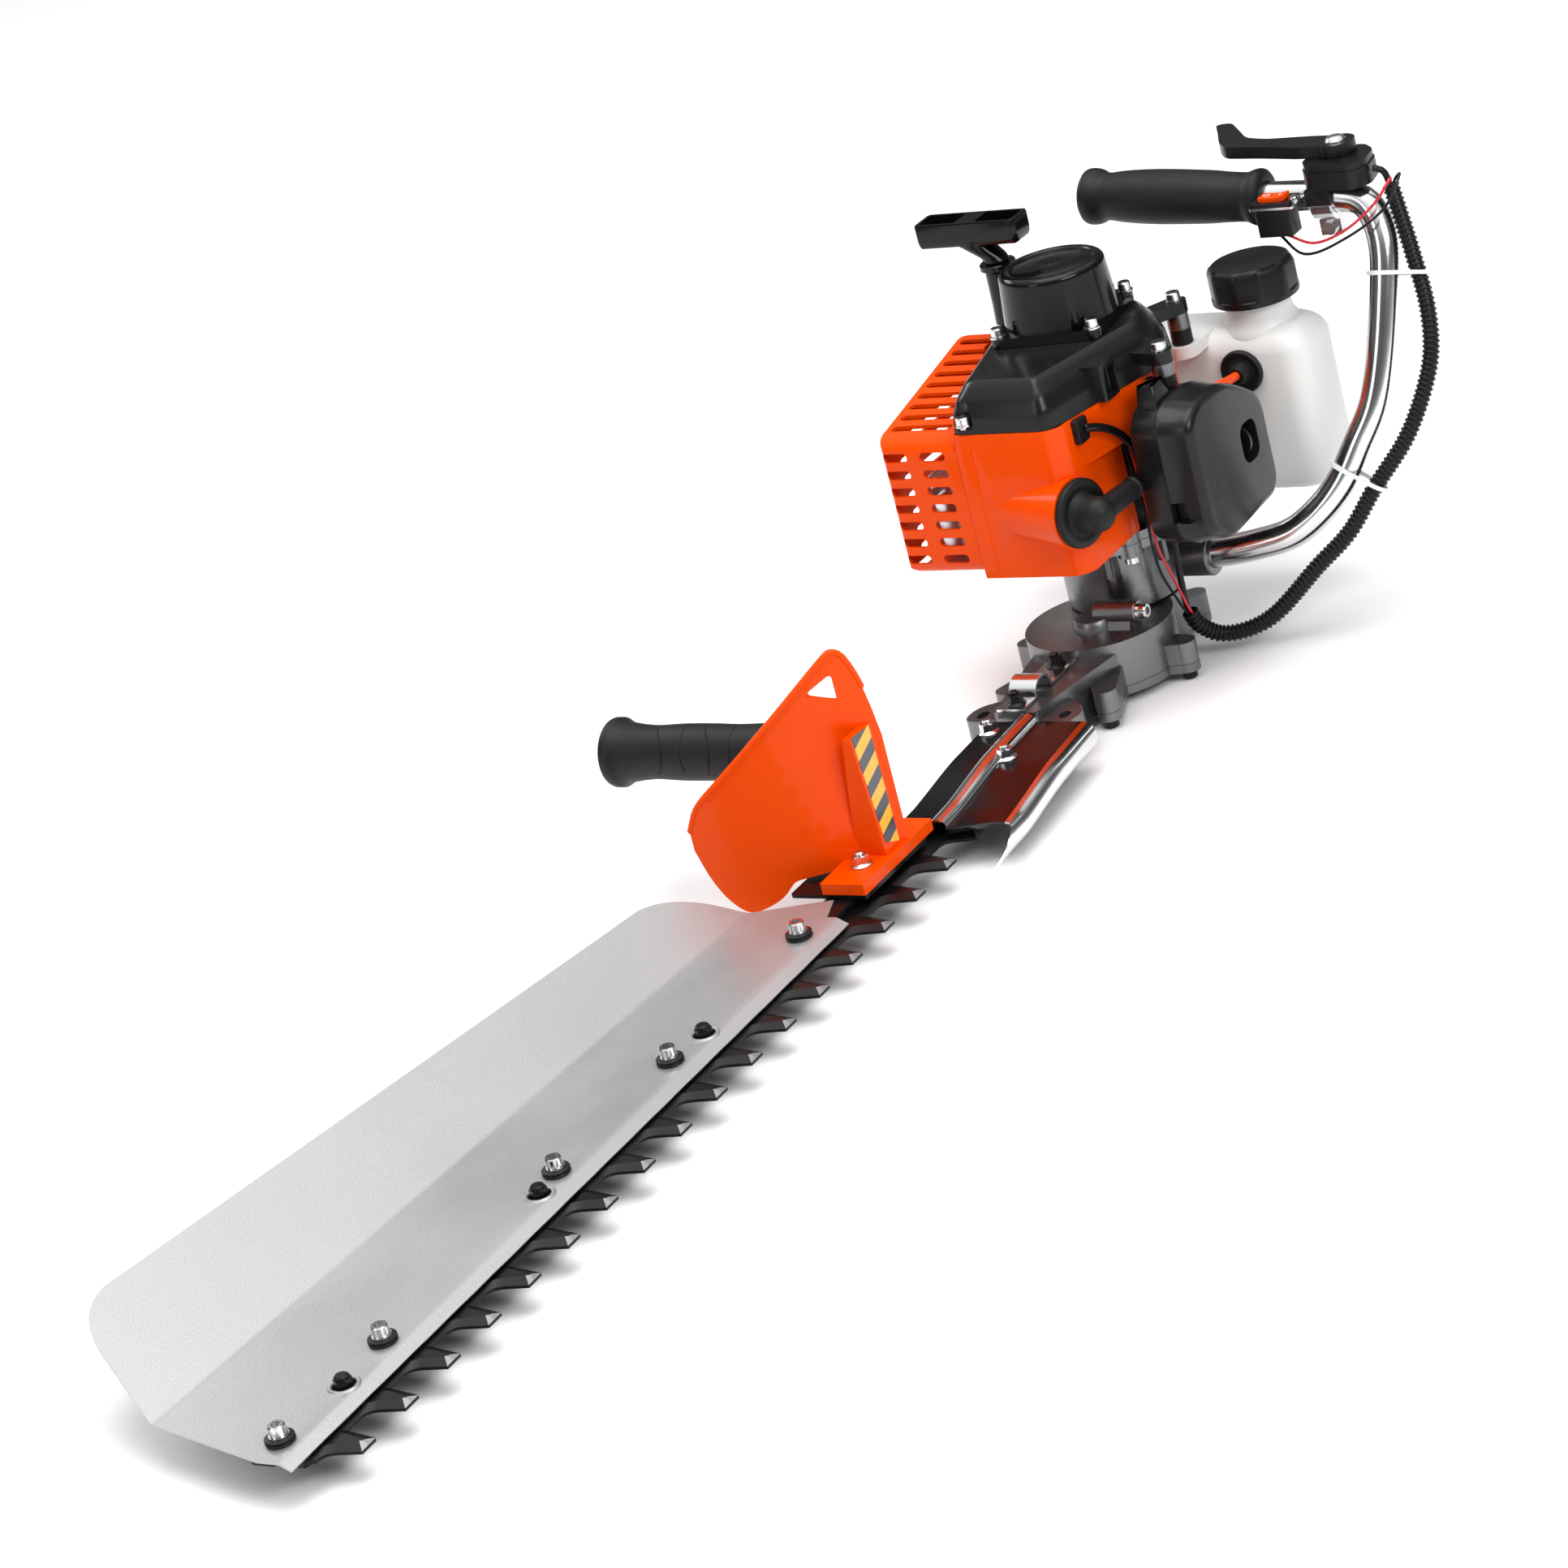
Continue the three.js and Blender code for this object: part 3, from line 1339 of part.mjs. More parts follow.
function gearCase() {
  const body = casePlan(caseSplitZ, caseTopZ, caseNeckTopZ, caseLugTopZ);
  const ear = (side) => {
    const inner = caseNeckRightY * caseEarInnerShare;
    const outline = rounded([
      [caseEarX - 3 * caseEarRadius, side * inner], [caseFrontX, side * inner],
      [caseFrontX, side * (caseEarY + caseEarRadius)],
      [caseEarX - caseEarRadius, side * (caseEarY + caseEarRadius)],
    ], caseEarRadius * caseEarCornerShare);
    return upright(side > 0 ? outline : outline.reverse(), caseSplitZ, caseEarTopZ);
  };
  const barrel = turnedAlongY([
    [0, clampBarrelRootY], [clampBarrelRadius, clampBarrelRootY], [clampBarrelRadius, clampBarrelY],
    [washerRadius + washerThickness, clampBarrelY],
    [washerRadius + washerThickness, clampBarrelY + washerThickness],
    [headRadius, clampBarrelY + washerThickness], [headRadius, clampBarrelY + washerThickness + headHeight],
    [headSocketRadius, clampBarrelY + washerThickness + headHeight],
    [headSocketRadius, clampBarrelY + washerThickness + headHeight - headSocketDepth],
    [0, clampBarrelY + washerThickness + headHeight - headSocketDepth],
  ], boltSides).translate(clampBarrelX, 0, clampBarrelZ);
  const boss = turned([
    [0, caseTopZ - caseWall / 2], [caseBossRadius, caseTopZ - caseWall / 2],
    [caseBossRadius - caseWall / 2, caseTopZ + caseBossHeight], [0, caseTopZ + caseBossHeight],
  ]).translate(caseBossX, caseBossY, 0);
  const barrelFoot = block(
    clampBarrelX - clampBarrelRadius * barrelFootShare, clampBarrelX + clampBarrelRadius * barrelFootShare,
    clampBarrelRootY, clampBarrelY - 2 * washerThickness, caseTopZ - caseWall / 2, clampBarrelZ,
  );
  const cavityTop = caseTopZ - caseWall;
  const cavity = disc(caseRadius - caseWall, caseSplitZ - overrun, cavityTop, bigRoundSides)
    .translate(gearCentreX, 0, 0);
  const pinionRoom = disc(gearModule * (pinionTeeth / 2 + pinionRoomTeeth), caseSplitZ - overrun, cavityTop);
  const shaftBore = disc(drumShaftRadius + clearance, 0, caseTopZ + overrun);
  const gearBore = disc(gearShaftRadius + clearance, 0, caseTopZ - caseWall / 2 + clearance)
    .translate(gearCentreX, 0, 0);
  const earHoles = [-1, 1].map((side) =>
    upright(slotOutline(caseEarX, side * caseEarY, caseEarHoleRadius / 2, caseEarHoleRadius),
      caseSplitZ - overrun, caseEarTopZ + overrun),
  );
  return cut(
    join(body, ear(-1), ear(1), barrel, boss, barrelFoot),
    cavity, pinionRoom, shaftBore, gearBore, bladePassage(caseSplitZ - overrun), ...earHoles,
  );
}

function gearCaseCover() {
  const top = caseSplitZ - clearance;
  const dished = caseLowZ - headHeight / 2;
  const heads = caseLugPlaces.map(([x, y]) =>
    disc(headRadius, caseLowZ - headHeight, caseLowZ + clearance, boltSides).translate(x, y, 0),
  );
  const dish = turned([
    [0, caseLowZ + clearance], [caseRadius * caseDishShares[0], caseLowZ + clearance],
    [caseRadius * caseDishShares[1], dished], [0, dished],
  ], bigRoundSides).translate(gearCentreX, 0, 0);
  return join(casePlan(caseLowZ, top, top, top), dish, ...heads);
}

// A pressed strap with a half-round hump over the neck of the gear case
function saddleStrap() {
  const seat = caseNeckTopZ + clearance;
  const line = (offset) => {
    const hump = Array.from({ length: strapHumpSteps + 1 }, (_, i) => {
      const angle = Math.PI * (1 - i / strapHumpSteps);
      const radius = strapHumpRadius + offset;
      return [strapHumpX + radius * Math.cos(angle), seat + radius * Math.sin(angle)];
    });
    return [[strapRearX, seat + offset], ...hump.map(([x, z]) => [x, Math.max(z, seat + offset)]),
      [caseFrontX, seat + offset]];
  };
  const outline = [...line(strapThickness), ...line(0).reverse()].map(([x, z]) => [z, x]);
  const nuts = strapNutPlaces.map((x) => flangeNutAt(x, strapNutY, seat + strapThickness * nutEmbedShare));
  return join(sideways(outline, strapFromY, strapToY), ...nuts);
}

function clutchHousing() {
  const low = caseTopZ + clearance;
  const flangeLow = clutchHousingTopZ - crankcaseFlange;
  const inner = clutchHousingRadius - clutchHousingWall;
  const bore = drumShaftRadius + clearance;
  const cup = turned([
    [bore, low], [clutchHousingRadius, low], [clutchHousingRadius, flangeLow],
    [crankcaseFlangeRadius, flangeLow], [crankcaseFlangeRadius, clutchHousingTopZ],
    [inner, clutchHousingTopZ],
    [inner, low + clutchFloor], [bore, low + clutchFloor], [bore, low],
  ], bigRoundSides);
  const boss = turnedAlongY([
    [0, tubeBossFromY], [tubeBossRadius, tubeBossFromY], [tubeBossRadius, tubeBossToY], [0, tubeBossToY],
  ]).translate(tubeBossX, 0, tubeBossZ);
  const heads = flangeBoltPlaces.map(([x, y]) =>
    disc(headRadius, flangeLow - headHeight, flangeLow + clearance, boltSides).translate(x, y, 0),
  );
  const room = disc(inner, low + clutchFloor, clutchHousingTopZ + overrun, bigRoundSides);
  return cut(join(cup, boss, ...heads), room, handleBore());
}

// The room that the handle tube fills, with its clearance, past both of its ends
function handleBore() {
  const route = vectors(handleRoute);
  const first = route[0].clone().sub(route[1]).setLength(clearance).add(route[0]);
  const count = route.length;
  const last = route[count - 1].clone().sub(route[count - 2]).setLength(clearance).add(route[count - 1]);
  const points = [first, ...route.slice(1, -1), last].map((point) => point.toArray());
  return tube(points, handleRadius + clearance, handleSides, handleSteps);
}

function clutchRotor() {
  const rotor = ring(rotorRadius, shaftRadius + clearance, rotorLowZ, rotorTopZ);
  const shoe = rotorRadius * rotorShoeShare;
  const slot = (side) => block(
    -side * shoe, side * (rotorRadius + overrun), side * shoe, side * (shoe + rotorShoeGap),
    rotorLowZ - overrun, rotorTopZ + overrun,
  );
  return cut(rotor, slot(1), slot(-1));
}

function crankshaft() {
  const lowWeb = crankCavityLowZ + cavityMargin;
  const highWeb = crankCavityTopZ - cavityMargin - webThickness;
  return join(
    disc(shaftRadius, rotorLowZ - clearance, lowWeb + clearance),
    disc(webRadius, lowWeb, lowWeb + webThickness),
    disc(crankEndPinRadius, lowWeb, highWeb + webThickness).translate(crankPinOffset, 0, 0),
    disc(webRadius, highWeb, highWeb + webThickness),
    disc(shaftRadius, highWeb, crankTopZ),
  );
}

function crankcase() {
  const low = clutchHousingTopZ + clearance;
  const bore = shaftRadius + clearance;
  const flangeTop = low + crankcaseFlange;
  const body = turned([
    [0, low], [crankcaseFlangeRadius, low], [crankcaseFlangeRadius, flangeTop],
    [crankcaseRadius, flangeTop], [crankcaseRadius, crankcaseTopZ], [0, crankcaseTopZ],
  ], bigRoundSides);
  const middle = (crankCavityLowZ + crankCavityTopZ) / 2;
  const pad = block(
    0, cylinderRootX - clearance, -cylinderPadHalfWidth, cylinderPadHalfWidth,
    middle - cylinderPadHalfHeight, middle + cylinderPadHalfHeight,
  );
  const intake = block(
    intakePadFromX, intakePadToX, 0, carbFromY - clearance, intakePadLowZ, crankcaseTopZ,
  );
  const arm = block(
    tankFrontX + clearance, 0, -tankArmHalfWidth, tankArmHalfWidth, tankArmLowZ, tankArmTopZ,
  );
  const cavity = disc(crankCavityRadius, crankCavityLowZ, crankCavityTopZ, bigRoundSides);
  return cut(join(body, pad, intake, arm), cavity, disc(bore, low - overrun, crankcaseTopZ + overrun));
}

// A cylinder with cooling fins across it and the exhaust port on its left
function cylinder() {
  const middle = (crankCavityLowZ + crankCavityTopZ) / 2;
  const endX = shroudFrontX - shroudWall - clearance;
  const core = turnedAlongX([
    [0, cylinderRootX], [cylinderRadius, cylinderRootX], [cylinderRadius, cylinderEndX],
    [shaftRadius, cylinderEndX], [shaftRadius, endX], [0, endX],
  ]).translate(0, 0, middle);
  const pitch = (cylinderEndX - cylinderRootX - finThickness) / (finCount - 1);
  const fins = Array.from({ length: finCount }, (_, i) => {
    const x = cylinderRootX + i * pitch;
    const low = middle - finHalfHeight;
    return block(x, x + finThickness, -finHalfWidth, finHalfWidth, low, middle + finHalfHeight);
  });
  const exhaust = block(
    exhaustFromX, exhaustToX, mufflerToY + clearance, 0,
    middle - exhaustHalfHeight, middle + exhaustHalfHeight,
  );
  return join(core, exhaust, ...fins);
}

// A fan wheel with its blades on top of a disc
function flywheelFan() {
  const bore = shaftRadius + clearance;
  const discTop = flywheelLowZ + flywheelDisc;
  const fins = Array.from({ length: flywheelFinCount }, (_, i) =>
    block(
      flywheelHubRadius * flywheelFinRootShare, flywheelRadius * flywheelFinTipShare,
      -flywheelFinThickness / 2, flywheelFinThickness / 2,
      discTop - clearance, discTop + flywheelFinHeight,
    ).rotateZ((2 * Math.PI * i) / flywheelFinCount),
  );
  return join(
    ring(flywheelRadius, bore, flywheelLowZ, discTop, bigRoundSides),
    ring(flywheelHubRadius, bore, flywheelLowZ, discTop + flywheelFinHeight),
    ...fins,
  );
}

// The plan of the fan cover and of the band of the shroud below it
function bandOutline() {
  const arc = Array.from({ length: bandArcSteps + 1 }, (_, i) => {
    const angle = bandArcFrom + ((bandArcTo - bandArcFrom) * i) / bandArcSteps;
    return [bandRadius * Math.cos(angle), bandRadius * Math.sin(angle)];
  });
  return [
    [bandFrontX, -bandFrontHalfWidth], [bandFrontX, bandFrontHalfWidth],
    [bandFrontRightX, bandFrontRightY], ...arc, [bandLeftX, bandLeftY],
  ];
}

// A box round the cylinder, a band under the fan cover and a cone for the plug cap, in one moulding
function engineShroud() {
  const plan = (inset) => {
    const corner = shroudCorner - inset;
    const centre = [shroudFrontX - shroudCorner, shroudRightY - shroudCorner];
    return [
      [shroudRearX, shroudSeamY], [shroudFrontX - inset, shroudSeamY],
      ...arcPoints(...centre, corner, 0, Math.PI / 2, quarterSteps), [shroudRearX, shroudRightY - inset],
    ];
  };
  const box = upright(plan(0), shroudLowZ, shroudTopZ);
  const boxRoom = join(
    upright(plan(shroudWall), shroudLowZ + shroudWall, shroudTopZ + overrun),
    block(shroudRearX - overrun, shroudFrontX - shroudCorner, shroudSeamY - overrun,
      shroudRightY - shroudWall, shroudLowZ + shroudWall, bandLowZ),
  );
  const band = upright(bandOutline(), bandLowZ, shroudTopZ);
  const bandRoom = upright(grown(bandOutline(), -shroudWall), bandLowZ + shroudWall, shroudTopZ + overrun);
  const floorHole = disc(bandFloorHole, bandLowZ - overrun, bandLowZ + overrun, bigRoundSides);
  const boss = barBetween(plugBossStart, plugBossEnd, plugBossStartRadius, plugBossRadius);
  const bossRoom = barBetween(
    plugBossStart, plugBossEnd, plugBossStartRadius - shroudWall, plugBossRadius - 2 * shroudWall,
  );
  const [endX, endY, endZ] = plugBossEnd;
  const bossMouth = barBetween(
    [endX, endY - 3 * shroudWall, endZ], [endX + plugAxisX * overrun, endY + overrun, endZ],
    plugBossRadius - 2 * shroudWall,
  );
  return cut(join(box, band, boss), boxRoom, bandRoom, bossRoom, bossMouth, floorHole);
}

// A louvred box round the muffler, cut back where the band and the fan cover pass
function mufflerGuard() {
  const rightY = shroudSeamY - clearance;
  const side = (inset) => {
    const outline = [
      [guardBackX + inset, guardLowEdgeZ + inset], [shroudFrontX - inset, guardLowEdgeZ + inset],
      ...arcPoints(
        shroudFrontX - shroudCorner, shroudTopZ - shroudCorner, shroudCorner - inset, 0, Math.PI / 2, 4,
      ),
      [guardBackX + inset, guardTopRearZ - inset],
    ];
    return acrossY(outline);
  };
  const plan = rounded(
    rectangle(guardBackX, shroudFrontX, guardLeftWallY, rightY + 2 * shroudCorner), shroudCorner / 2,
  );
  const box = common(
    sideways(side(0), guardLeftWallY, rightY),
    upright(plan, guardLowEdgeZ - overrun, guardTopRearZ + overrun),
  );
  const room = sideways(side(shroudWall), guardLeftWallY + shroudWall, rightY + overrun);
  const slots = [];
  for (let row = 0; row < slotRows; row += 1) {
    const z = slotTopRowZ - row * slotRowPitch;
    slotColumnPlaces.forEach((y) => {
      const outline = slotOutline(y, z, (slotLength - slotHeight) / 2, slotHeight / 2);
      slots.push(lengthways(outline, shroudFrontX - overrun, shroudFrontX + overrun));
    });
    const sideSlot = slotOutline(
      (guardBackX + shroudFrontX) / 2, z, (shroudFrontX - guardBackX) / 3, slotHeight / 2,
    );
    slots.push(sideways(acrossY(sideSlot), guardLeftWallY - overrun, guardLeftWallY + overrun));
  }
  const halfRun = (topSlotToY - topSlotFromY) / 2;
  for (let row = 0; row < topSlotCount; row += 1) {
    const x = topSlotFirstX - row * topSlotPitch;
    const outline = slotOutline(topSlotFromY + halfRun, x, halfRun, slotHeight / 2);
    const plate = outline.map(([y, across]) => [across, y]).reverse();
    slots.push(upright(plate, shroudTopZ - overrun, guardTopRearZ + overrun));
  }
  const bandPass = upright(
    grown(bandOutline(), clearance), bandLowZ - clearance, guardTopRearZ + 2 * overrun,
  );
  const crankcasePass = disc(crankcaseRadius + 2 * clearance, guardLowEdgeZ - overrun, crankcaseTopZ);
  return cut(box, room, ...slots, bandPass, crankcasePass);
}

function muffler() {
  const edge = mufflerCorner / 3;
  const plan = (growth) => rounded(
    grown(rectangle(mufflerFromX, mufflerToX, mufflerFromY, mufflerToY), growth), mufflerCorner,
  );
  return layered([
    { outline: plan(-edge), at: mufflerLowZ },
    { outline: plan(0), at: mufflerLowZ + edge },
    { outline: plan(0), at: mufflerTopZ - edge },
    { outline: plan(-edge), at: mufflerTopZ },
  ]);
}

// The rubber foot, the spacer and the screw of one mounting post of the fan cover
function fanPost(x, y, seat) {
  const spacerRadius = fanPostRadius - fanPostEdge;
  const lugLow = fanPostTopZ - fanLugThickness;
  const spacerLow = (seat + lugLow) / 2;
  const screwTop = fanPostTopZ + headHeight;
  const profile = [
    [0, seat], [fanPostRubberRadius, seat], [fanPostRubberRadius, spacerLow], [spacerRadius, spacerLow],
    [spacerRadius, lugLow], [fanPostRadius, lugLow], [fanPostRadius, fanPostTopZ],
    [headRadius, fanPostTopZ], [headRadius, screwTop], [headSocketRadius, screwTop],
    [headSocketRadius, screwTop - headSocketDepth], [0, screwTop - headSocketDepth],
  ];
  return turned(profile, boltSides).translate(x, y, 0);
}

// A moulded cover with an upright band, a sloping shoulder, post lugs and a cable cowl
function fanCover() {
  const low = shroudTopZ + clearance;
  const plan = bandOutline();
  const form = (wall, run) => layered(fanFormShares.map(([rise, inset], i) => {
    const at = i === 0 ? low - run : low + (fanTopZ - low) * rise - wall;
    return { outline: grown(plan, -fanTopInset * inset - wall), at };
  }));
  const seats = [filterOutlineZ + filterHeight, tankTopZ];
  const posts = fanPostPlaces.map(([x, y], i) => fanPost(x, y, seats[i] + clearance));
  const lugs = fanPostPlaces.map(([x, y]) =>
    block(0, Math.hypot(x, y), -fanPostRadius, fanPostRadius, fanPostTopZ - fanLugThickness, fanPostTopZ)
      .rotateZ(Math.atan2(y, x)),
  );
  const cowl = block(
    cowlX - cowlWidth / 2, cowlX + cowlWidth / 2, cowlY - cowlDepth, cowlY + cowlDepth / 4, low, cowlTopZ,
  );
  const at = (solid) => solid.translate(fanNotchX, fanNotchY, 0);
  const notch = at(disc(fanNotchRadius, fanNotchZ, fanTopZ + overrun));
  const notchFloor = at(disc(fanNotchRadius, fanNotchZ - fanWall, fanNotchZ));
  const screw = screwAt(fanNotchX - headRadius, fanNotchY, fanNotchZ, fanNotchZ - fanWall);
  const shell = cut(
    join(form(0, 0), cowl, ...lugs), form(fanWall, overrun), notch,
    disc(fanHoleRadius, fanTopZ - 2 * overrun, fanTopZ + overrun),
  );
  return join(shell, common(notchFloor, form(0, 0)), screw, ...posts);
}

// A drum cover on a square plate, with the post of the reel and the spout of the rope
function starterHousing() {
  const low = fanTopZ + clearance;
  const plateTop = low + starterPlate;
  const half = starterPlateHalf;
  const plate = upright(rounded(rectangle(-half, half, -half, half), half / 5), low, plateTop)
    .rotateZ(starterPlateTurn);
  const ringZ = starterTopZ - starterRingDepth;
  const cup = turned([
    [0, low], [starterCupRadius, low], [starterCupRadius, plateTop],
    [starterCupTopRadius, starterTopZ - starterWall], [starterCupTopRadius - starterWall, starterTopZ],
    [starterRingRadius, starterTopZ], [starterRingRadius - starterRingDepth, ringZ],
    [starterDimpleRadius, ringZ], [0, ringZ - starterDimpleDepth],
  ], bigRoundSides);
  const roomTop = ringZ - starterDimpleDepth - starterWall;
  const room = turned([
    [0, low - overrun], [starterCupRadius - starterWall, low - overrun],
    [starterCupRadius - starterWall, plateTop], [starterCupTopRadius - starterWall, roomTop], [0, roomTop],
  ], bigRoundSides);
  const post = disc(reelBore - clearance, reelLowZ - clearance, ringZ - starterDimpleDepth);
  const lipLow = spoutTopZ - spoutLipHeight;
  const spout = turned([
    [0, low], [spoutRadius, low], [spoutRadius, lipLow], [spoutLipRadius, lipLow],
    [spoutLipRadius, spoutTopZ - clearance], [spoutLipRadius - clearance, spoutTopZ], [0, spoutTopZ],
  ]).translate(ropeX, ropeY, 0);
  const bore = disc(spoutBore, low - overrun, spoutTopZ + overrun, boltSides).translate(ropeX, ropeY, 0);
  const screws = Array.from({ length: starterScrewCount }, (_, i) => {
    const angle = (Math.PI * (2 * i + 1)) / starterScrewCount + starterPlateTurn;
    const reach = starterScrewReach * Math.SQRT2;
    const seat = plateTop + washerThickness;
    return screwAt(reach * Math.cos(angle), reach * Math.sin(angle), seat, low + clearance);
  });
  return join(cut(join(plate, cup, spout), room, bore), post, ...screws);
}

function starterReel() {
  const waist = reelRadius - reelGrooveDepth;
  const flange = (reelTopZ - reelLowZ) / 4;
  return turned([
    [reelBore, reelLowZ], [reelRadius, reelLowZ], [reelRadius, reelLowZ + flange], [waist, reelLowZ + flange],
    [waist, reelTopZ - flange], [reelRadius, reelTopZ - flange], [reelRadius, reelTopZ],
    [reelBore, reelTopZ], [reelBore, reelLowZ],
  ]);
}

// The pull handle: a hollow bar on a flared stem that takes the knot of the rope
function starterHandle() {
  const middleY = (pullBarFromY + pullBarToY) / 2;
  const [fromX, toX] = [ropeX - pullBarHalfWidth, ropeX + pullBarHalfWidth];
  const bar = (growth) => rounded(
    grown(rectangle(fromX, toX, pullBarFromY, pullBarToY), growth), pullBarWall,
  );
  const body = layered([
    { outline: bar(-pullBarWall / 2), at: pullBarLowZ },
    { outline: bar(0), at: pullBarLowZ + pullBarWall },
    { outline: bar(0), at: pullBarTopZ },
  ]);
  const pocket = (fromY, toY) => block(
    fromX + pullBarWall, toX - pullBarWall, fromY, toY, pullBarTopZ - pullBarHollow, pullBarTopZ + overrun,
  );
  const stemLow = spoutTopZ + clearance;
  const stem = layered([
    { outline: circle(pullStemRadius, roundSides, ropeX, ropeY), at: stemLow },
    { outline: circle(pullStemTopRadius, roundSides, ropeX, middleY), at: pullBarLowZ + pullBarWall },
  ]);
  const bore = disc(ropeRadius + clearance, stemLow - overrun, ropeTopZ + clearance, boltSides)
    .translate(ropeX, ropeY, 0);
  return cut(
    join(body, stem), bore, pocket(pullBarFromY + pullBarWall, middleY - pullStemRadius),
    pocket(middleY + pullStemRadius, pullBarToY - pullBarWall),
  );
}

function starterRope() {
  return disc(ropeRadius, ropeLowZ, ropeTopZ, boltSides).translate(ropeX, ropeY, 0);
}

// A rubber cap on the plug, with its round seal on the cone of the shroud and an elbow for the lead
function plugCap() {
  const end = new THREE.Vector3(...plugBossEnd);
  const run = end.clone().sub(new THREE.Vector3(...plugBossStart)).normalize();
  const along = (distance) => end.clone().addScaledVector(run, clearance + distance).toArray();
  const crown = sealThickness + plugCapLength - plugCapRadius * plugDomeShare;
  const dome = new THREE.SphereGeometry(plugCapRadius, roundSides, boltSides).translate(...along(crown));
  return join(
    barBetween(along(0), along(sealThickness), sealRadius, sealRadius - sealThickness / 2),
    barBetween(along(sealThickness / 2), along(crown), plugCapRadius),
    dome,
    barBetween(along(crown), plugTubeEnd, plugTubeRadius, plugTubeRadius * plugTubeEndShare, boltSides),
  );
}

function carburettor() {
  const middleX = (carbFromX + carbToX) / 2;
  const middleZ = (carbLowZ + carbTopZ) / 2;
  const outerY = filterBaseY - clearance;
  const throatRadius = (carbToX - carbFromX) * carbThroatShare;
  const body = block(
    carbFromX, carbToX, carbFromY, outerY - carbFlange, carbLowZ + carbFlange, carbTopZ - carbFlange,
  );
  const throat = turnedAlongY([
    [0, carbFromY], [throatRadius, carbFromY], [throatRadius, outerY], [0, outerY],
  ]).translate(middleX, 0, middleZ);
  const drum = disc(throatRadius * carbDrumShare, carbLowZ, carbTopZ)
    .translate(middleX, (carbFromY + outerY) / 2, 0);
  return join(body, throat, drum);
}

function filterOutline(growth) {
  const corners = filterOutlineShares.map(([across, up]) =>
    [filterOutlineX + across * filterWidth, filterOutlineZ + up * filterHeight],
  );
  return acrossY(rounded(grown(corners, growth), filterCorner));
}

function airFilterBase() {
  const body = layered([
    { outline: filterOutline(-filterWall), at: filterBaseY },
    { outline: filterOutline(0), at: filterBaseY + filterWall },
    { outline: filterOutline(0), at: filterSplitY - clearance },
  ]).applyMatrix4(alongY);
  const top = filterOutlineZ + filterHeight;
  const snorkel = rectangle(
    snorkelFromX, snorkelToX, filterBaseY + filterWall, filterSplitY - 2 * clearance,
  );
  const box = layered([
    { outline: snorkel, at: top - filterCorner },
    { outline: grown(snorkel, -snorkelInset), at: top + snorkelHeight },
  ]);
  return join(body, box);
}

function airFilterCover() {
  const level = (growth, at) => ({ outline: filterOutline(growth), at });
  const body = layered([
    level(filterLip, filterSplitY),
    level(filterLip, filterSplitY + filterWall),
    level(0, filterSplitY + filterWall + filterLip),
    level(-filterDraft * filterDraftShares[0], filterFaceY - filterDraft),
    level(-filterDraft * filterDraftShares[1], filterFaceY),
  ]).applyMatrix4(alongY);
  const pocket = turnedAlongY([
    [0, filterFaceY - knobPocketDepth], [knobPocketRadius, filterFaceY - knobPocketDepth],
    [knobPocketRadius, filterFaceY + overrun], [0, filterFaceY + overrun],
  ]).translate(knobX, 0, knobZ);
  return cut(body, pocket);
}

// The wing knob in the pocket of the filter cover
function filterKnob() {
  const low = filterFaceY - knobPocketDepth + clearance;
  const hub = turnedAlongY([
    [0, low], [knobRadius * knobBaseShare, low], [knobRadius * knobBaseShare, low + knobBase],
    [knobRadius, low + knobBase], [knobRadius * knobTopShare, filterFaceY], [0, filterFaceY],
  ]);
  const wing = block(
    -knobWing / 2, knobWing / 2, low, filterFaceY, -knobWingHeight / 2, knobWingHeight / 2,
  );
  return join(hub, wing).translate(knobX, 0, knobZ);
}

// A blow-moulded tank with a neck and a mounting ear
function fuelTank() {
  const plan = rectangle(tankRearX, tankFrontX, tankLeftY, tankRightY);
  const shoulderLow = tankTopZ - 2 * tankDraft;
  const body = layered(tankFormShares.map(([rise, inset], i) => {
    const at = i < 3 ? tankLowZ + tankDraft * rise : shoulderLow + 2 * tankDraft * rise;
    return { outline: rounded(grown(plan, -tankDraft * inset), tankCorner), at };
  }));
  const neck = disc(tankNeckRadius, tankLowZ + tankDraft, tankNeckTopZ).translate(tankNeckX, tankNeckY, 0);
  const [, [earX, earY]] = fanPostPlaces;
  const earLow = tankTopZ - tankEarThickness;
  const ear = join(
    disc(tankEarRadius, earLow, tankTopZ).translate(earX, earY, 0),
    block(tankFrontX - tankCorner, earX, earY - tankEarRadius, earY + tankEarRadius, earLow, tankTopZ),
  );
  const throat = disc(tankThroatRadius, tankNeckTopZ - tankNeckRadius, tankNeckTopZ + overrun)
    .translate(tankNeckX, tankNeckY, 0);
  return cut(join(body, neck, ear), throat);
}

function tankCap() {
  const grip = circle(capRadius, capGripCount * capGripPoints).map(([x, y], i) => {
    const share = i % capGripPoints === 0 ? 1 - capGrooveShare : 1;
    return [x * share, y * share];
  });
  const body = layered([
    { outline: grip, at: capLowZ },
    { outline: grip, at: capTopZ - capWall },
    { outline: grown(grip, -capWall * capEdgeShare), at: capTopZ },
  ]);
  const bore = (tankNeckRadius + clearance) / Math.cos(Math.PI / roundSides);
  const room = disc(bore, capLowZ - overrun, capTopZ - capWall);
  return cut(body, room).translate(tankNeckX, tankNeckY, 0);
}

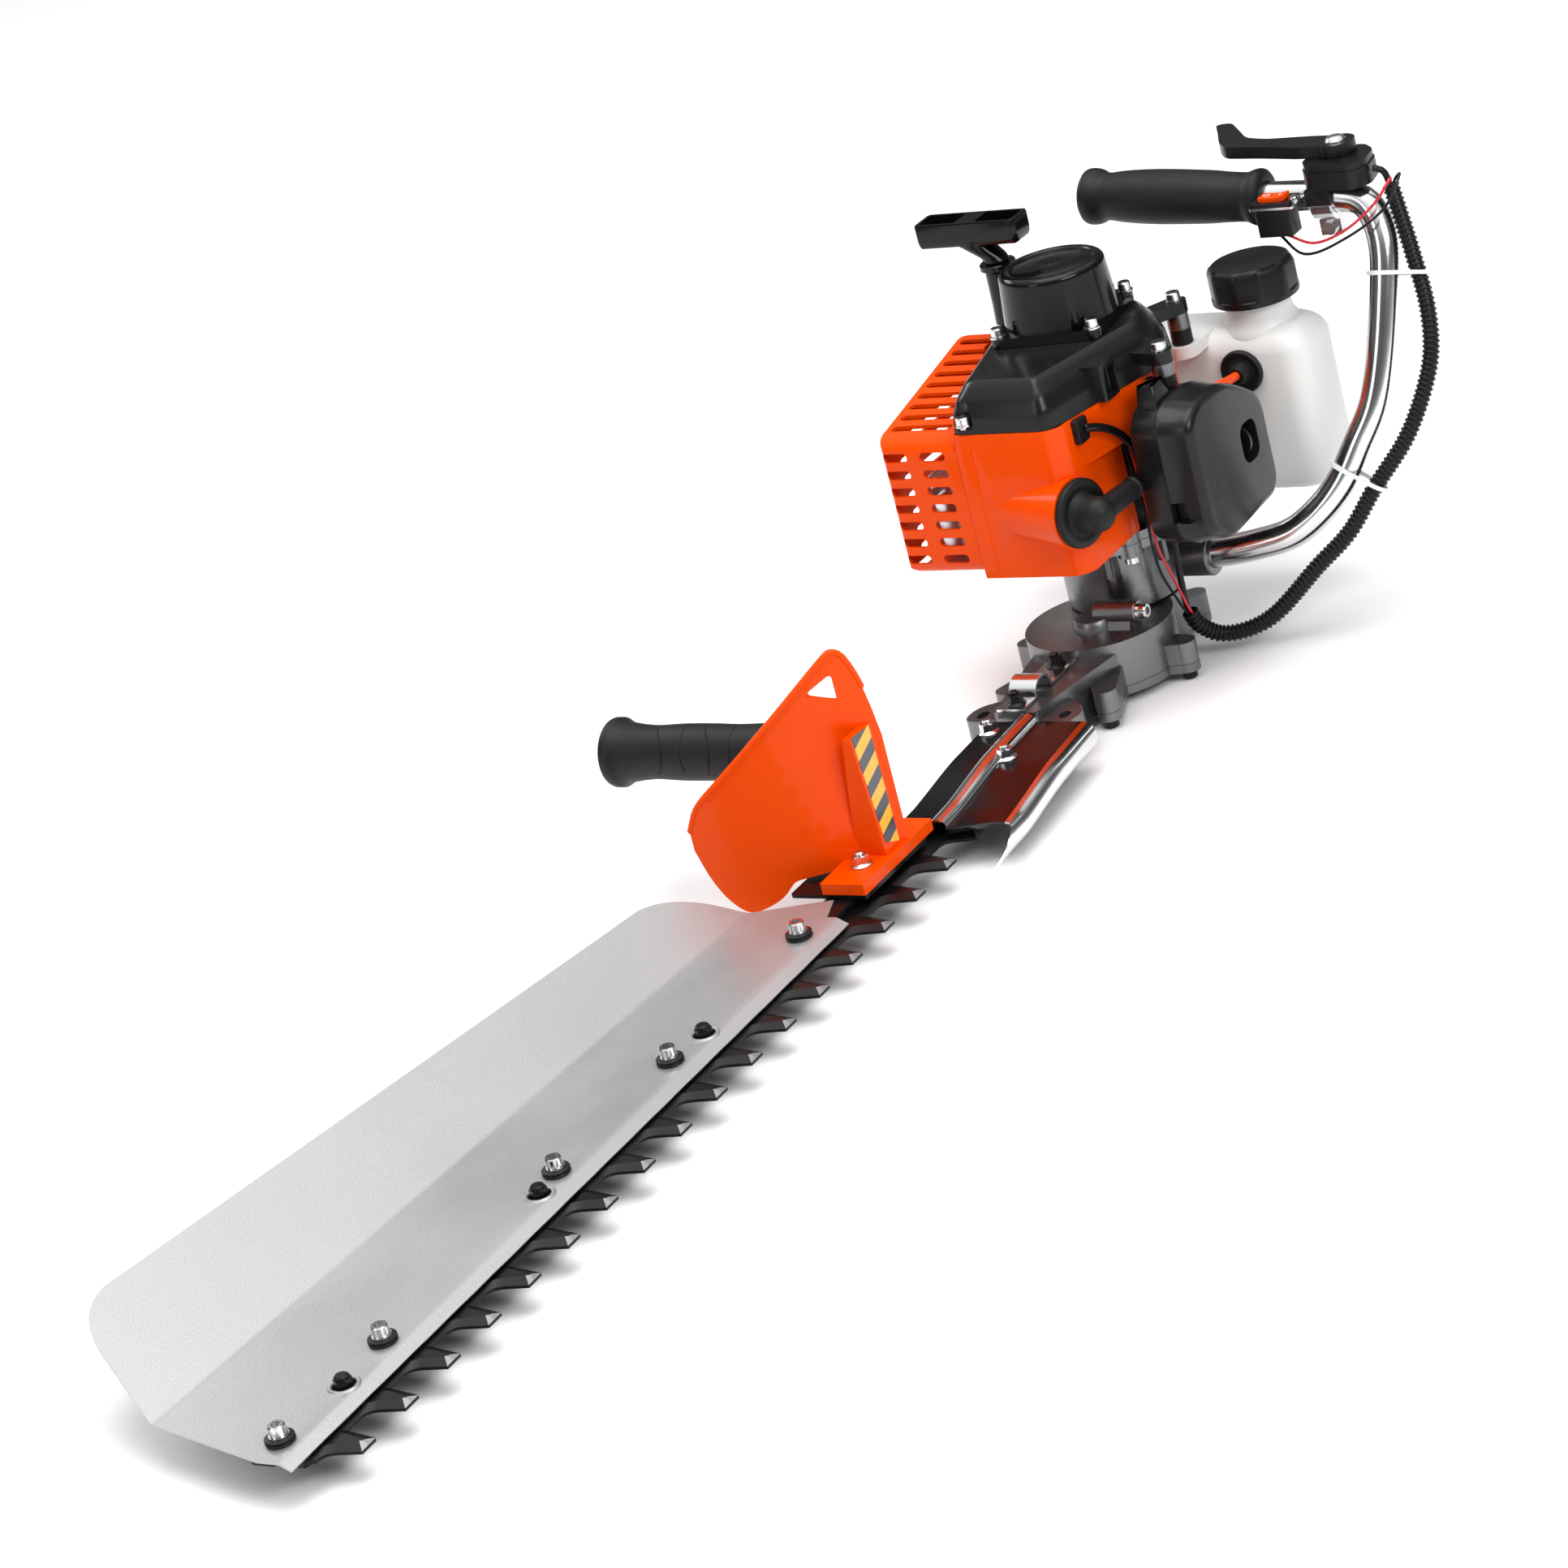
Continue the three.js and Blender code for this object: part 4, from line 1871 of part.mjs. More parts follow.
// The fuel hose with the rubber grommet that holds it in the tank
function fuelHose() {
  const seat = tankFrontX + clearance;
  const grommet = turnedAlongX([
    [0, seat], [hoseGrommetRadius, seat], [hoseGrommetRadius, seat + hoseInset],
    [hoseGrommetRadius / 2, seat + hoseInset],
    [hoseGrommetRadius * hoseGrommetEndShare, seat + hoseGrommetHeight],
    [0, seat + hoseGrommetHeight],
  ]).translate(0, hoseY, hoseZ);
  return join(grommet, cordThrough(spacedAlong(vectors(hoseRoute)), hoseRadius, cordSides));
}

function handleTube() {
  return tube(handleRoute, handleRadius, handleSides, handleSteps);
}

function rearGrip() {
  const count = handleRoute.length;
  const inner = new THREE.Vector3(...handleRoute[count - 3]);
  const outer = new THREE.Vector3(...handleRoute[count - 1]);
  const run = outer.clone().sub(inner);
  const length = run.length() + rearGripEnd;
  const profile = [
    [0, 0], ...rearGripProfileShares.map(([along, wide]) => [rearGripRadius * wide, length * along]),
    [rearGripRadius * rearGripEndShare, length], [0, length],
  ];
  const turn = new THREE.Quaternion().setFromUnitVectors(new THREE.Vector3(0, 0, 1), run.normalize());
  const body = turned(profile).applyQuaternion(turn).translate(...inner.toArray());
  return cut(body, handleBore());
}

// The clamp of the throttle lever: a block on the tube with its band and screw below
function throttleHousing() {
  const plan = rounded(leverHousingShares.map(([across, along]) =>
    [leverPivotX + across * leverHousingWidth, leverPivotY + along * leverHousingLength],
  ), leverHousingCorner);
  const top = upright(plan, leverHousingSplitZ, leverHousingTopZ);
  const clampZ = leverHousingSplitZ - handleRadius;
  const saddle = block(
    clampX - clampHalfWidth, clampX + clampHalfWidth, clampFromY, clampToY,
    clampZ, leverHousingSplitZ + clearance,
  );
  const band = turnedAlongY([
    [0, clampFromY], [clampRadius, clampFromY], [clampRadius, clampToY], [0, clampToY],
  ]).translate(clampX, 0, clampZ);
  const ears = block(
    clampX - bandEarWidth / 2, clampX + bandEarWidth / 2, clampFromY, clampToY,
    clampZ - clampRadius - bandEarLength, clampZ,
  );
  const boltY = (clampFromY + clampToY) / 2;
  const bolt = turnedAlongX([
    [0, -bandEarWidth], [headRadius, -bandEarWidth], [headRadius, bandEarWidth], [0, bandEarWidth],
  ], nutSides).translate(clampX, boltY, clampZ - clampRadius - bandEarLength / 2);
  return cut(join(top, saddle, band, ears, bolt), handleBore());
}

// A flat lever with a hooked thumb end, held by a domed screw
function throttleLever() {
  const low = leverHousingTopZ + clearance;
  const top = low + leverThickness;
  const reach = leverPivotY - leverTipY;
  const arm = rounded(leverShares.map(([across, along]) =>
    [leverPivotX + across * reach, leverPivotY - along * reach],
  ), leverThickness / 2);
  const domeTop = top + leverScrewHeight;
  const screw = turned([
    [0, top - clearance], [leverScrewRadius, top - clearance], [leverScrewRadius, top + clearance],
    [leverScrewRadius * leverScrewTopShare, domeTop], [0, domeTop],
  ]).translate(leverPivotX, leverPivotY, 0);
  const hub = disc(leverHubRadius, low, top).translate(leverPivotX, leverPivotY, 0);
  return join(upright(arm, low, top), hub, screw);
}

// The stop switch: a plate on the tube, the bezel on it and the switch body below
function killSwitch() {
  const top = switchPlateZ + switchPlateThickness;
  const place = (halfX, halfY, y = switchCentreY) => rectangle(
    switchPlateX - halfX, switchPlateX + halfX, y - halfY, y + halfY,
  );
  const plate = upright(place(switchPlateHalfX, switchPlateHalfY, switchPlateY), switchPlateZ, top);
  const body = upright(place(switchBodyHalfX, switchBodyHalfY), switchPlateZ - switchBodyDepth, top);
  const bezelX = switchBodyHalfX + switchBezel;
  const bezelY = switchBodyHalfY + switchBezel;
  const bezel = upright(place(bezelX, bezelY), switchPlateZ, top + switchBezelHeight);
  const room = upright(
    place(rockerHalfX + rockerClearance, rockerHalfY + rockerClearance), top, top + 2 * switchBezelHeight,
  );
  const screwY = switchPlateY + switchPlateHalfY - switchScrewRadius;
  const screw = disc(switchScrewRadius, switchPlateZ, top + switchBezelHeight + switchScrewRise, boltSides)
    .translate(switchPlateX, screwY, 0);
  return cut(join(plate, body, bezel, screw), room);
}

function switchRocker() {
  const low = switchPlateZ + switchPlateThickness + clearance;
  const profile = rockerShares.map(([along, up]) => [
    switchCentreY + along * rockerHalfY, low + up * rockerHeight,
  ]);
  return lengthways(profile, switchPlateX - rockerHalfX, switchPlateX + rockerHalfX);
}

// Points along a route with the directions across it, for what runs inside the conduit
function stationsAlong(points, count) {
  const curve = curveThrough(points);
  const frames = curve.computeFrenetFrames(count, false);
  return Array.from({ length: count + 1 }, (_, i) => ({
    at: curve.getPointAt(i / count), across: frames.normals[i], up: frames.binormals[i],
  }));
}

function ringAt({ at, across, up }, radius, sides) {
  return Array.from({ length: sides }, (_, i) => {
    const angle = (2 * Math.PI * i) / sides;
    const sideways = radius * Math.cos(angle);
    const upwards = radius * Math.sin(angle);
    return at.clone().addScaledVector(across, sideways).addScaledVector(up, upwards);
  });
}

// A ribbed conduit: two rings for each rib outside, and a bore with a ring every few ribs
function cableConduit() {
  const halfSteps = conduitRibs * 2;
  const stations = stationsAlong(conduitRoute, halfSteps);
  const groove = conduitRadius - conduitGroove;
  const outer = stations.map((station, i) => ringAt(station, i % 2 ? conduitRadius : groove, conduitSides));
  const inner = stations.filter((_, i) => i % 2 === 0).map((station) =>
    ringAt(station, conduitBore, conduitSides),
  );
  const rings = [...outer, ...inner.reverse()];
  const corners = rings.flat().flatMap((point) => point.toArray());
  const faces = [];
  rings.forEach((_, level) => {
    const next = (level + 1) % rings.length;
    for (let i = 0; i < conduitSides; i += 1) {
      const j = (i + 1) % conduitSides;
      const [a, b] = [level * conduitSides + i, level * conduitSides + j];
      const [c, d] = [next * conduitSides + j, next * conduitSides + i];
      faces.push(a, b, c, a, c, d);
    }
  });
  return meshOf(corners, faces);
}

// A cord through points, with its rings square to the run
function cordThrough(points, radius, sides) {
  const across = new THREE.Vector3(1, 0, 0);
  const rings = points.map((at, i) => {
    const before = points[Math.max(i - 1, 0)];
    const after = points[Math.min(i + 1, points.length - 1)];
    const run = after.clone().sub(before).normalize();
    across.addScaledVector(run, -across.dot(run)).normalize();
    return ringAt({ at, across, up: run.clone().cross(across) }, radius, sides);
  });
  return lofted(rings);
}

function spacedAlong(points) {
  const curve = new THREE.CatmullRomCurve3(points, false, "centripetal");
  return curve.getSpacedPoints(Math.max(2, Math.round(curve.getLength() / cordPointGap)));
}

// One core, from its start through its own place in the bore of the conduit to its end
function core(start, end, acrossBore, upBore, radius, sides) {
  const stations = stationsAlong(conduitRoute, conduitRibs);
  const inside = stations.map(({ at, across, up }) =>
    at.clone().addScaledVector(across, acrossBore).addScaledVector(up, upBore),
  );
  const entry = spacedAlong([...vectors(start), inside[0]]);
  const exit = spacedAlong([inside[inside.length - 1], ...vectors(end)]);
  return cordThrough([...entry, ...inside.slice(1), ...exit.slice(1)], radius, sides);
}

// A tie round the tube and the conduit: a flat closed band
function cableTie(share) {
  const tubeCurve = curveThrough(handleRoute);
  const conduitCurve = curveThrough(conduitRoute);
  const at = tubeCurve.getPointAt(share);
  const tangent = tubeCurve.getTangentAt(share);
  const samples = conduitCurve.getSpacedPoints(tieSamples);
  const nearest = samples.reduce((best, point) => {
    const off = Math.abs(point.clone().sub(at).dot(tangent));
    const bestOff = Math.abs(best.clone().sub(at).dot(tangent));
    return off < bestOff ? point : best;
  });
  const across = nearest.clone().sub(at);
  across.addScaledVector(tangent, -across.dot(tangent));
  const span = across.length();
  across.normalize();
  const up = tangent.clone().cross(across);
  const band = (growth) => {
    const big = handleRadius + tieClearance + growth;
    const small = conduitRadius + 2 * tieClearance + growth;
    const lean = Math.acos((big - small) / span);
    return [
      ...arcPoints(0, 0, big, lean, 2 * Math.PI - lean, tieTubeSteps),
      ...arcPoints(span, 0, small, -lean, lean, tieConduitSteps),
    ];
  };
  const turn = new THREE.Matrix4().makeBasis(across, up, tangent).setPosition(at);
  const ringSolid = cut(
    upright(band(tieThickness), -tieWidth / 2, tieWidth / 2),
    upright(band(0), -tieWidth, tieWidth),
  );
  return ringSolid.applyMatrix4(turn);
}

const part = new THREE.Group();

function add(name, finish, geometry) {
  const outward = geometryOf(solidOf(geometry));
  outward.translate(0, 0, -caseLowZ);
  outward.computeVertexNormals();
  const material = new THREE.MeshStandardMaterial(finishes[finish]);
  const mesh = new THREE.Mesh(outward, material);
  mesh.name = name;
  part.add(mesh);
}

add("guide_bar", "bladeSteel", guideBar());
add("upper_blade", "bladeSteel", toothedBlade(1));
add("lower_blade", "bladeSteel", toothedBlade(-1));
add("upper_con_rod", "steel", conRod(1));
add("lower_con_rod", "steel", conRod(-1));
add("leaf_deflector", "sheet", leafDeflector());
deflectorScrewPlaces.forEach((x, i) => add(`deflector_screw_${i + 1}`, "steel", deflectorScrew(x)));
bladeBoltPlaces.forEach((x, i) => add(`blade_bolt_${i + 1}`, "bladeSteel", bladeBolt(x)));
guardBoltPlaces.forEach((x, i) => add(`guard_bolt_${i + 1}`, "steel", guardBolt(x)));
add("hand_guard", "orange", handGuard());
add("front_handle_bracket", "bladeSteel", frontHandleBracket());
add("front_grip", "rubber", frontGrip());
add("root_cover", "chrome", rootCover());
add("gear_case", "casting", gearCase());
add("gear_case_cover", "casting", gearCaseCover());
add("eccentric_gear", "steel", eccentricGear());
add("saddle_strap", "chrome", saddleStrap());
add("clutch_housing", "casting", clutchHousing());
add("clutch_drum", "steel", clutchDrum());
add("clutch_rotor", "steel", clutchRotor());
add("crankcase", "casting", crankcase());
add("crankshaft", "steel", crankshaft());
add("cylinder", "casting", cylinder());
add("flywheel_fan", "casting", flywheelFan());
add("engine_shroud", "orange", engineShroud());
add("muffler_guard", "orange", mufflerGuard());
add("muffler", "steel", muffler());
add("fan_cover", "blackPlastic", fanCover());
add("starter_housing", "blackPlastic", starterHousing());
add("starter_reel", "blackPlastic", starterReel());
add("starter_handle", "blackPlastic", starterHandle());
add("starter_rope", "rubber", starterRope());
add("plug_cap", "rubber", plugCap());
add("plug_lead", "rubber", cordThrough(spacedAlong(vectors(leadRoute)), leadRadius, cordSides));
add("carburettor", "casting", carburettor());
add("air_filter_base", "blackPlastic", airFilterBase());
add("air_filter_cover", "blackPlastic", airFilterCover());
add("filter_knob", "blackPlastic", filterKnob());
add("fuel_tank", "white", fuelTank());
add("tank_cap", "blackPlastic", tankCap());
add("fuel_hose", "fuelLine", fuelHose());
add("handle_tube", "chrome", handleTube());
add("rear_grip", "rubber", rearGrip());
add("throttle_housing", "blackPlastic", throttleHousing());
add("throttle_lever", "blackPlastic", throttleLever());
add("kill_switch", "blackPlastic", killSwitch());
add("switch_rocker", "orange", switchRocker());
add("cable_conduit", "rubber", cableConduit());
add("throttle_cable", "rubber", core(cableStartRoute, cableEndRoute, cableInset, 0, cableRadius, cordSides));
add("kill_wire_red", "red", core(redStartRoute, redEndRoute, -wireInset, -wireSpread, wireRadius, wireSides));
add("kill_wire_black", "rubber",
  core(blackStartRoute, blackEndRoute, -wireInset, wireSpread, wireRadius, wireSides));
tiePlaceShares.forEach((share, i) => add(`cable_tie_${i + 1}`, "white", cableTie(share)));

export default part;
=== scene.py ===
"""Petrol hedge trimmer, dressed over its fixed frame. Forms are drawn in millimetres, with the crank
axis at X = 0, Y = 0 and the plane between the blades at Z = 0, and are placed in metres."""
import math

import bmesh
import bpy
from mathutils import Matrix, Vector


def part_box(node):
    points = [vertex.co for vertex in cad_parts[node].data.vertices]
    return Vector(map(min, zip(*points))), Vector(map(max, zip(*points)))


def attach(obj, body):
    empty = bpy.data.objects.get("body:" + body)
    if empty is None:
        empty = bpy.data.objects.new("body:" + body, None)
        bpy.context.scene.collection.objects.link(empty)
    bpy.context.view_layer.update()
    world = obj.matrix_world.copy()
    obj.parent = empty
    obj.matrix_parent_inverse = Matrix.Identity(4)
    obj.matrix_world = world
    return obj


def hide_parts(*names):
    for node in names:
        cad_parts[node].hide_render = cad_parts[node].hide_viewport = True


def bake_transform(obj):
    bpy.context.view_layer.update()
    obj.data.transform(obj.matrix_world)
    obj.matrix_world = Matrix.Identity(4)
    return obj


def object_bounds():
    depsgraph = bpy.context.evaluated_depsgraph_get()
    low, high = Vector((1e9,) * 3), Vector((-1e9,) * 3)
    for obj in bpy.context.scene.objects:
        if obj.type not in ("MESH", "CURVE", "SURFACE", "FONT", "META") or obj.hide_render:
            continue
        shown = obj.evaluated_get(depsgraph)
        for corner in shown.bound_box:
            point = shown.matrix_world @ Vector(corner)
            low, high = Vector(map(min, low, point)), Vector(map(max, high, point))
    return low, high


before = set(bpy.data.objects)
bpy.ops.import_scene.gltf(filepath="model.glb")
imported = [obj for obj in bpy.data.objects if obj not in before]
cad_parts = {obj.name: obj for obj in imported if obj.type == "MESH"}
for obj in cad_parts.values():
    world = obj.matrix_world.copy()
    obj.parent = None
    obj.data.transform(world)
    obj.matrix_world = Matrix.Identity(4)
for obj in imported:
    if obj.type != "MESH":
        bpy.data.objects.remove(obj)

bl_info = {
    "name": "Hedge trimmer",
    "version": (1, 0, 0),
    "blender": (4, 5, 0),
    "location": "View3D > Sidebar > Trimmer",
    "description": "Makes the visible pieces of a petrol hedge trimmer on its fixed frame",
    "category": "Add Mesh",
}

CAD_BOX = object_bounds()
MM = 0.001
BLADE_GAP = 0.15
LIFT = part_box("upper_blade")[0].z / MM - BLADE_GAP
ALONG_X = Matrix(((0, 0, 1, 0), (1, 0, 0, 0), (0, 1, 0, 0), (0, 0, 0, 1)))
ALONG_Y = Matrix(((0, 1, 0, 0), (0, 0, 1, 0), (1, 0, 0, 0), (0, 0, 0, 1)))

# Heights, radii and places that several pieces share
BAR_LOW, BAR_TOP = 2.85, 7.05
SHEET_LOW, SHEET_TOP = 7.35, 8.35
STROKE = 8.75
BOLT_R, BOLT_HOLE, HEAD_R, NUT_R = 2.5, 2.8, 4.25, 4.6
TUBE_R, TUBE_ROOM, CONDUIT_R = 9, 9.3, 5
BLADE_BOLTS = [(826, 2.6), (658, 2.6), (500.5, 2.6)]
GUARD_BOLTS = [(331, 3), (295, 3)]
DEFLECTOR_SCREWS = [(872.8, 0), (789.7, 0), (637.9, 0), (529.4, 0), (397.3, 0)]
CASE_X, CASE_R, CASE_TOP, CASE_SPLIT, CASE_LOW = 36.875, 43, 22, -4.6, -9.9
CASE_LUGS = [(35.7, 50), (99.7, 31), (35.7, -50), (99.7, -31), (-30, 26), (-30, -26)]
FLANGE_BOLTS = [(26, 24), (26, -24), (-26, 24), (-26, -24)]
FAN_POSTS = [(17.5, 66, 154.3), (-60, 38, 150.3)]
PLUG_END, PLUG_START = Vector((93.8, 37.6, 112)), Vector((79, -20, 111))
ROPE_X, ROPE_Y = -10, -39.5
NECK_X, NECK_Y = -96, 71
LEVER_X, LEVER_Y = -108, 134
NOTCH_X, NOTCH_Y = 97, -22

# Routes of the tubes and cords
HANDLE = [
    (-21.6, 29, 35.4), (-22.4, 55.7, 36.9), (-23.7, 78.1, 40.1), (-26.1, 100.3, 45.7),
    (-30.9, 118, 57.3), (-37, 131.6, 71.6), (-44.8, 142.3, 90.4), (-53.7, 153, 111.5),
    (-73.7, 160.4, 159.2), (-89.3, 160.1, 196.2), (-96.6, 150.2, 213.9), (-98.4, 130, 219),
    (-99, 113, 219.5), (-99.4, 89.6, 220.2), (-100.8, 34, 223.6), (-102.2, -22, 227),
]
CONDUIT = [
    (-98.9, 166.8, 222), (-85.6, 178.2, 187.3), (-73.2, 186.7, 157.9), (-63.3, 187.9, 134.3),
    (-54.3, 181.9, 113), (-45.4, 171.3, 91.7), (-35.1, 151.6, 67.3), (-25.7, 135.3, 44.9),
    (-18.7, 115.8, 28.2), (-6.7, 81.4, -0.4), (4, 58, -3), (13, 49, 8), (16, 47.5, 15.7),
]
CABLE_START = [(-96, 159.5, 234), (-98.5, 164, 231)]
CABLE_END = [(17.5, 47, 35), (16, 47.5, 60), (13, 47.5, 87.6)]
RED_START = [(-79, 108, 203.8), (-77, 124, 199), (-78, 146, 206), (-83, 165, 220), (-91, 171, 229)]
RED_END = [(22, 48, 30), (33, 50, 50), (38, 49, 66), (34, 46, 88), (30, 42, 110), (29.5, 40, 131.4)]
BLACK_START = [(-81, 102, 203.8), (-74, 118, 194), (-73, 146, 202), (-79, 171, 217), (-92, 177, 231)]
BLACK_END = [
    (23, 44, 30), (30, 43, 46), (34, 43.5, 62), (31, 42, 86), (28.6, 38.5, 108), (28.6, 36, 131.4),
]
LEAD = [
    (73, 41.2, 153.5), (64, 44.8, 150), (53, 48.3, 142.5), (44, 50.5, 131), (42, 52.5, 121.5),
    (47, 54, 114), (57, 55.6, 112.8),
]
HOSE = [(-66, 67, 128), (-54, 65.5, 128.5), (-40, 58, 128), (-24, 48, 122), (-9.7, 44.3, 116.4)]


# Outlines

def rectangle(x0, x1, y0, y1):
    return [(x0, y0), (x1, y0), (x1, y1), (x0, y1)]


def circle(radius, sides, x=0.0, y=0.0):
    turn = 2 * math.pi / sides
    return [(x + radius * math.cos(i * turn), y + radius * math.sin(i * turn)) for i in range(sides)]


def arc(x, y, radius, start, end, steps):
    return [
        (x + radius * math.cos(start + (end - start) * i / steps),
         y + radius * math.sin(start + (end - start) * i / steps))
        for i in range(steps + 1)
    ]


def rounded(outline, radius, steps):
    """The outline with its corners rounded."""
    points = []
    count = len(outline)
    for i, corner in enumerate(outline):
        corner = Vector(corner)
        before = Vector(outline[i - 1]) - corner
        after = Vector(outline[(i + 1) % count]) - corner
        reach = min(radius, before.length * 0.48, after.length * 0.48)
        start = corner + before.normalized() * reach
        end = corner + after.normalized() * reach
        for k in range(steps + 1):
            t = k / steps
            p = start * (1 - t) ** 2 + corner * 2 * t * (1 - t) + end * t * t
            points.append((p.x, p.y))
    return points


def grown(outline, distance):
    """An anticlockwise outline moved out by a distance, or in where it is negative."""
    count = len(outline)
    points = []
    for i, (x, y) in enumerate(outline):
        ax, ay = outline[i - 1]
        bx, by = outline[(i + 1) % count]
        before = Vector((y - ay, ax - x)).normalized()
        after = Vector((by - y, x - bx)).normalized()
        middle = (before + after).normalized()
        reach = distance / max(middle.dot(after), 0.5)
        points.append((x + middle.x * reach, y + middle.y * reach))
    return points


def slot_outline(x, y, half, radius):
    """A slot with round ends, whose middle runs half a length to each side along X."""
    steps = 10
    return (arc(x + half, y, radius, -math.pi / 2, math.pi / 2, steps)
            + arc(x - half, y, radius, math.pi / 2, 3 * math.pi / 2, steps))


def across_y(outline):
    """An outline of X and Z as along_y takes it, still anticlockwise."""
    return [(z, x) for x, z in outline][::-1]


def quarter(steps, first=0):
    """Angles over a quarter turn, from a given step on."""
    return [math.pi / 2 * k / steps for k in range(first, steps + 1)]


def between(shares, share):
    """The value at a share on a line through share points."""
    if share <= shares[0][0]:
        return shares[0][1]
    for (a, low), (b, high) in zip(shares, shares[1:]):
        if share <= b:
            return low + (high - low) * (share - a) / (b - a)
    return shares[-1][1]


def eased(shares, share):
    """The value at a share on a smooth curve through share points."""
    for i in range(len(shares) - 1):
        (a, low), (b, high) = shares[i], shares[i + 1]
        if share <= b or i == len(shares) - 2:
            t = min(max((share - a) / (b - a), 0), 1)
            def slope(j):
                if j <= 0 or j >= len(shares) - 1:
                    return (high - low) / (b - a)
                (pa, pl), (na, nh) = shares[j - 1], shares[j + 1]
                return (nh - pl) / (na - pa)
            m0, m1 = slope(i) * (b - a), slope(i + 1) * (b - a)
            return (low * (2 * t ** 3 - 3 * t ** 2 + 1) + m0 * (t ** 3 - 2 * t ** 2 + t)
                    + high * (3 * t ** 2 - 2 * t ** 3) + m1 * (t ** 3 - t ** 2))


# Forms: closed meshes in millimetres

MERGE = 1e-4


def mesh_of(points, faces):
    mesh = bpy.data.meshes.new("form")
    mesh.from_pydata([tuple(p) for p in points], [], faces)
    work = bmesh.new()
    work.from_mesh(mesh)
    bmesh.ops.remove_doubles(work, verts=work.verts, dist=MERGE)
    bmesh.ops.recalc_face_normals(work, faces=work.faces)
    work.to_mesh(mesh)
    work.free()
    return mesh


def stack(levels):
    """A closed form through outlines of the same count at rising heights."""
    count = len(levels[0][0])
    points = [(x, y, at) for outline, at in levels for x, y in outline]
    faces = []
    for level in range(len(levels) - 1):
        for i in range(count):
            a, b = level * count + i, level * count + (i + 1) % count
            faces.append((a, b, b + count, a + count))
    top = (len(levels) - 1) * count
    faces.append(tuple(range(count))[::-1])
    faces.append(tuple(range(top, top + count)))
    return mesh_of(points, faces)


def prism(outline, low, high):
    return stack([(outline, low), (outline, high)])


def block(x0, x1, y0, y1, z0, z1):
    return prism(rectangle(x0, x1, y0, y1), z0, z1)


def along_x(outline, start, end):
    return changed(prism(outline, start, end), ALONG_X)


def along_y(outline, start, end):
    return changed(prism(outline, start, end), ALONG_Y)


def lathe(profile, sides, closed=False):
    """A form turned round Z from points of radius and height."""
    rows = len(profile)
    points = []
    for radius, height in profile:
        points += [(x, y, height) for x, y in circle(radius, sides)]
    faces = []
    for row in range(rows if closed else rows - 1):
        for i in range(sides):
            j, nxt = (i + 1) % sides, (row + 1) % rows
            faces.append((row * sides + i, row * sides + j, nxt * sides + j, nxt * sides + i))
    return mesh_of(points, faces)


def disc(radius, low, high, sides, x=0.0, y=0.0):
    return moved(lathe([(0, low), (radius, low), (radius, high), (0, high)], sides), x, y)


def changed(mesh, matrix):
    mesh.transform(matrix)
    if matrix.determinant() < 0:
        mesh.flip_normals()
    return mesh


def moved(mesh, x, y=0.0, z=0.0):
    return changed(mesh, Matrix.Translation((x, y, z)))


def turned(mesh, angle):
    return changed(mesh, Matrix.Rotation(angle, 4, "Z"))


def lathe_y(profile, x, z, sides=64, closed=False):
    """A form turned round an axis along Y."""
    return moved(changed(lathe(profile, sides, closed), ALONG_Y), x, 0, z)


def aimed(mesh, start, end):
    """A form along Z, turned to run from one point towards another."""
    start, run = Vector(start), Vector(end) - Vector(start)
    turn = Vector((0, 0, 1)).rotation_difference(run.normalized()).to_matrix().to_4x4()
    return changed(mesh, Matrix.Translation(start) @ turn)


def rod(start, end, radius, end_radius=None, sides=48):
    run = (Vector(end) - Vector(start)).length
    profile = [(0, 0), (radius, 0), (radius if end_radius is None else end_radius, run), (0, run)]
    return aimed(lathe(profile, sides), start, end)


def smooth_path(points, gap):
    """Points at an even gap on the smooth curve through the given points."""
    points = [Vector(p) for p in points]
    padded = [points[0] * 2 - points[1], *points, points[-1] * 2 - points[-2]]
    fine = []
    for i in range(1, len(padded) - 2):
        p0, p1, p2, p3 = padded[i - 1:i + 3]
        d0, d1, d2 = [math.sqrt((b - a).length) for a, b in ((p0, p1), (p1, p2), (p2, p3))]
        m1 = ((p1 - p0) / d0 - (p2 - p0) / (d0 + d1) + (p2 - p1) / d1) * d1
        m2 = ((p2 - p1) / d1 - (p3 - p1) / (d1 + d2) + (p3 - p2) / d2) * d1
        for k in range(24):
            t = k / 24
            fine.append(p1 + m1 * t + (p2 * 3 - p1 * 3 - m1 * 2 - m2) * t ** 2
                        + (p1 * 2 - p2 * 2 + m1 + m2) * t ** 3)
    fine.append(points[-1])
    lengths = [0.0]
    for a, b in zip(fine, fine[1:]):
        lengths.append(lengths[-1] + (b - a).length)
    count = max(2, round(lengths[-1] / gap))
    even, at = [], 0
    for i in range(count + 1):
        want = lengths[-1] * i / count
        while at < len(fine) - 2 and lengths[at + 1] < want:
            at += 1
        share = (want - lengths[at]) / max(lengths[at + 1] - lengths[at], 1e-9)
        even.append(fine[at].lerp(fine[at + 1], min(max(share, 0), 1)))
    return even


def stations(points):
    """Each point with two directions across the run, carried along without twist."""
    across = None
    result = []
    for i, at in enumerate(points):
        run = (points[min(i + 1, len(points) - 1)] - points[max(i - 1, 0)]).normalized()
        if across is None:
            across = run.orthogonal().normalized()
        across = (across - run * across.dot(run)).normalized()
        result.append((at, across.copy(), run.cross(across)))
    return result


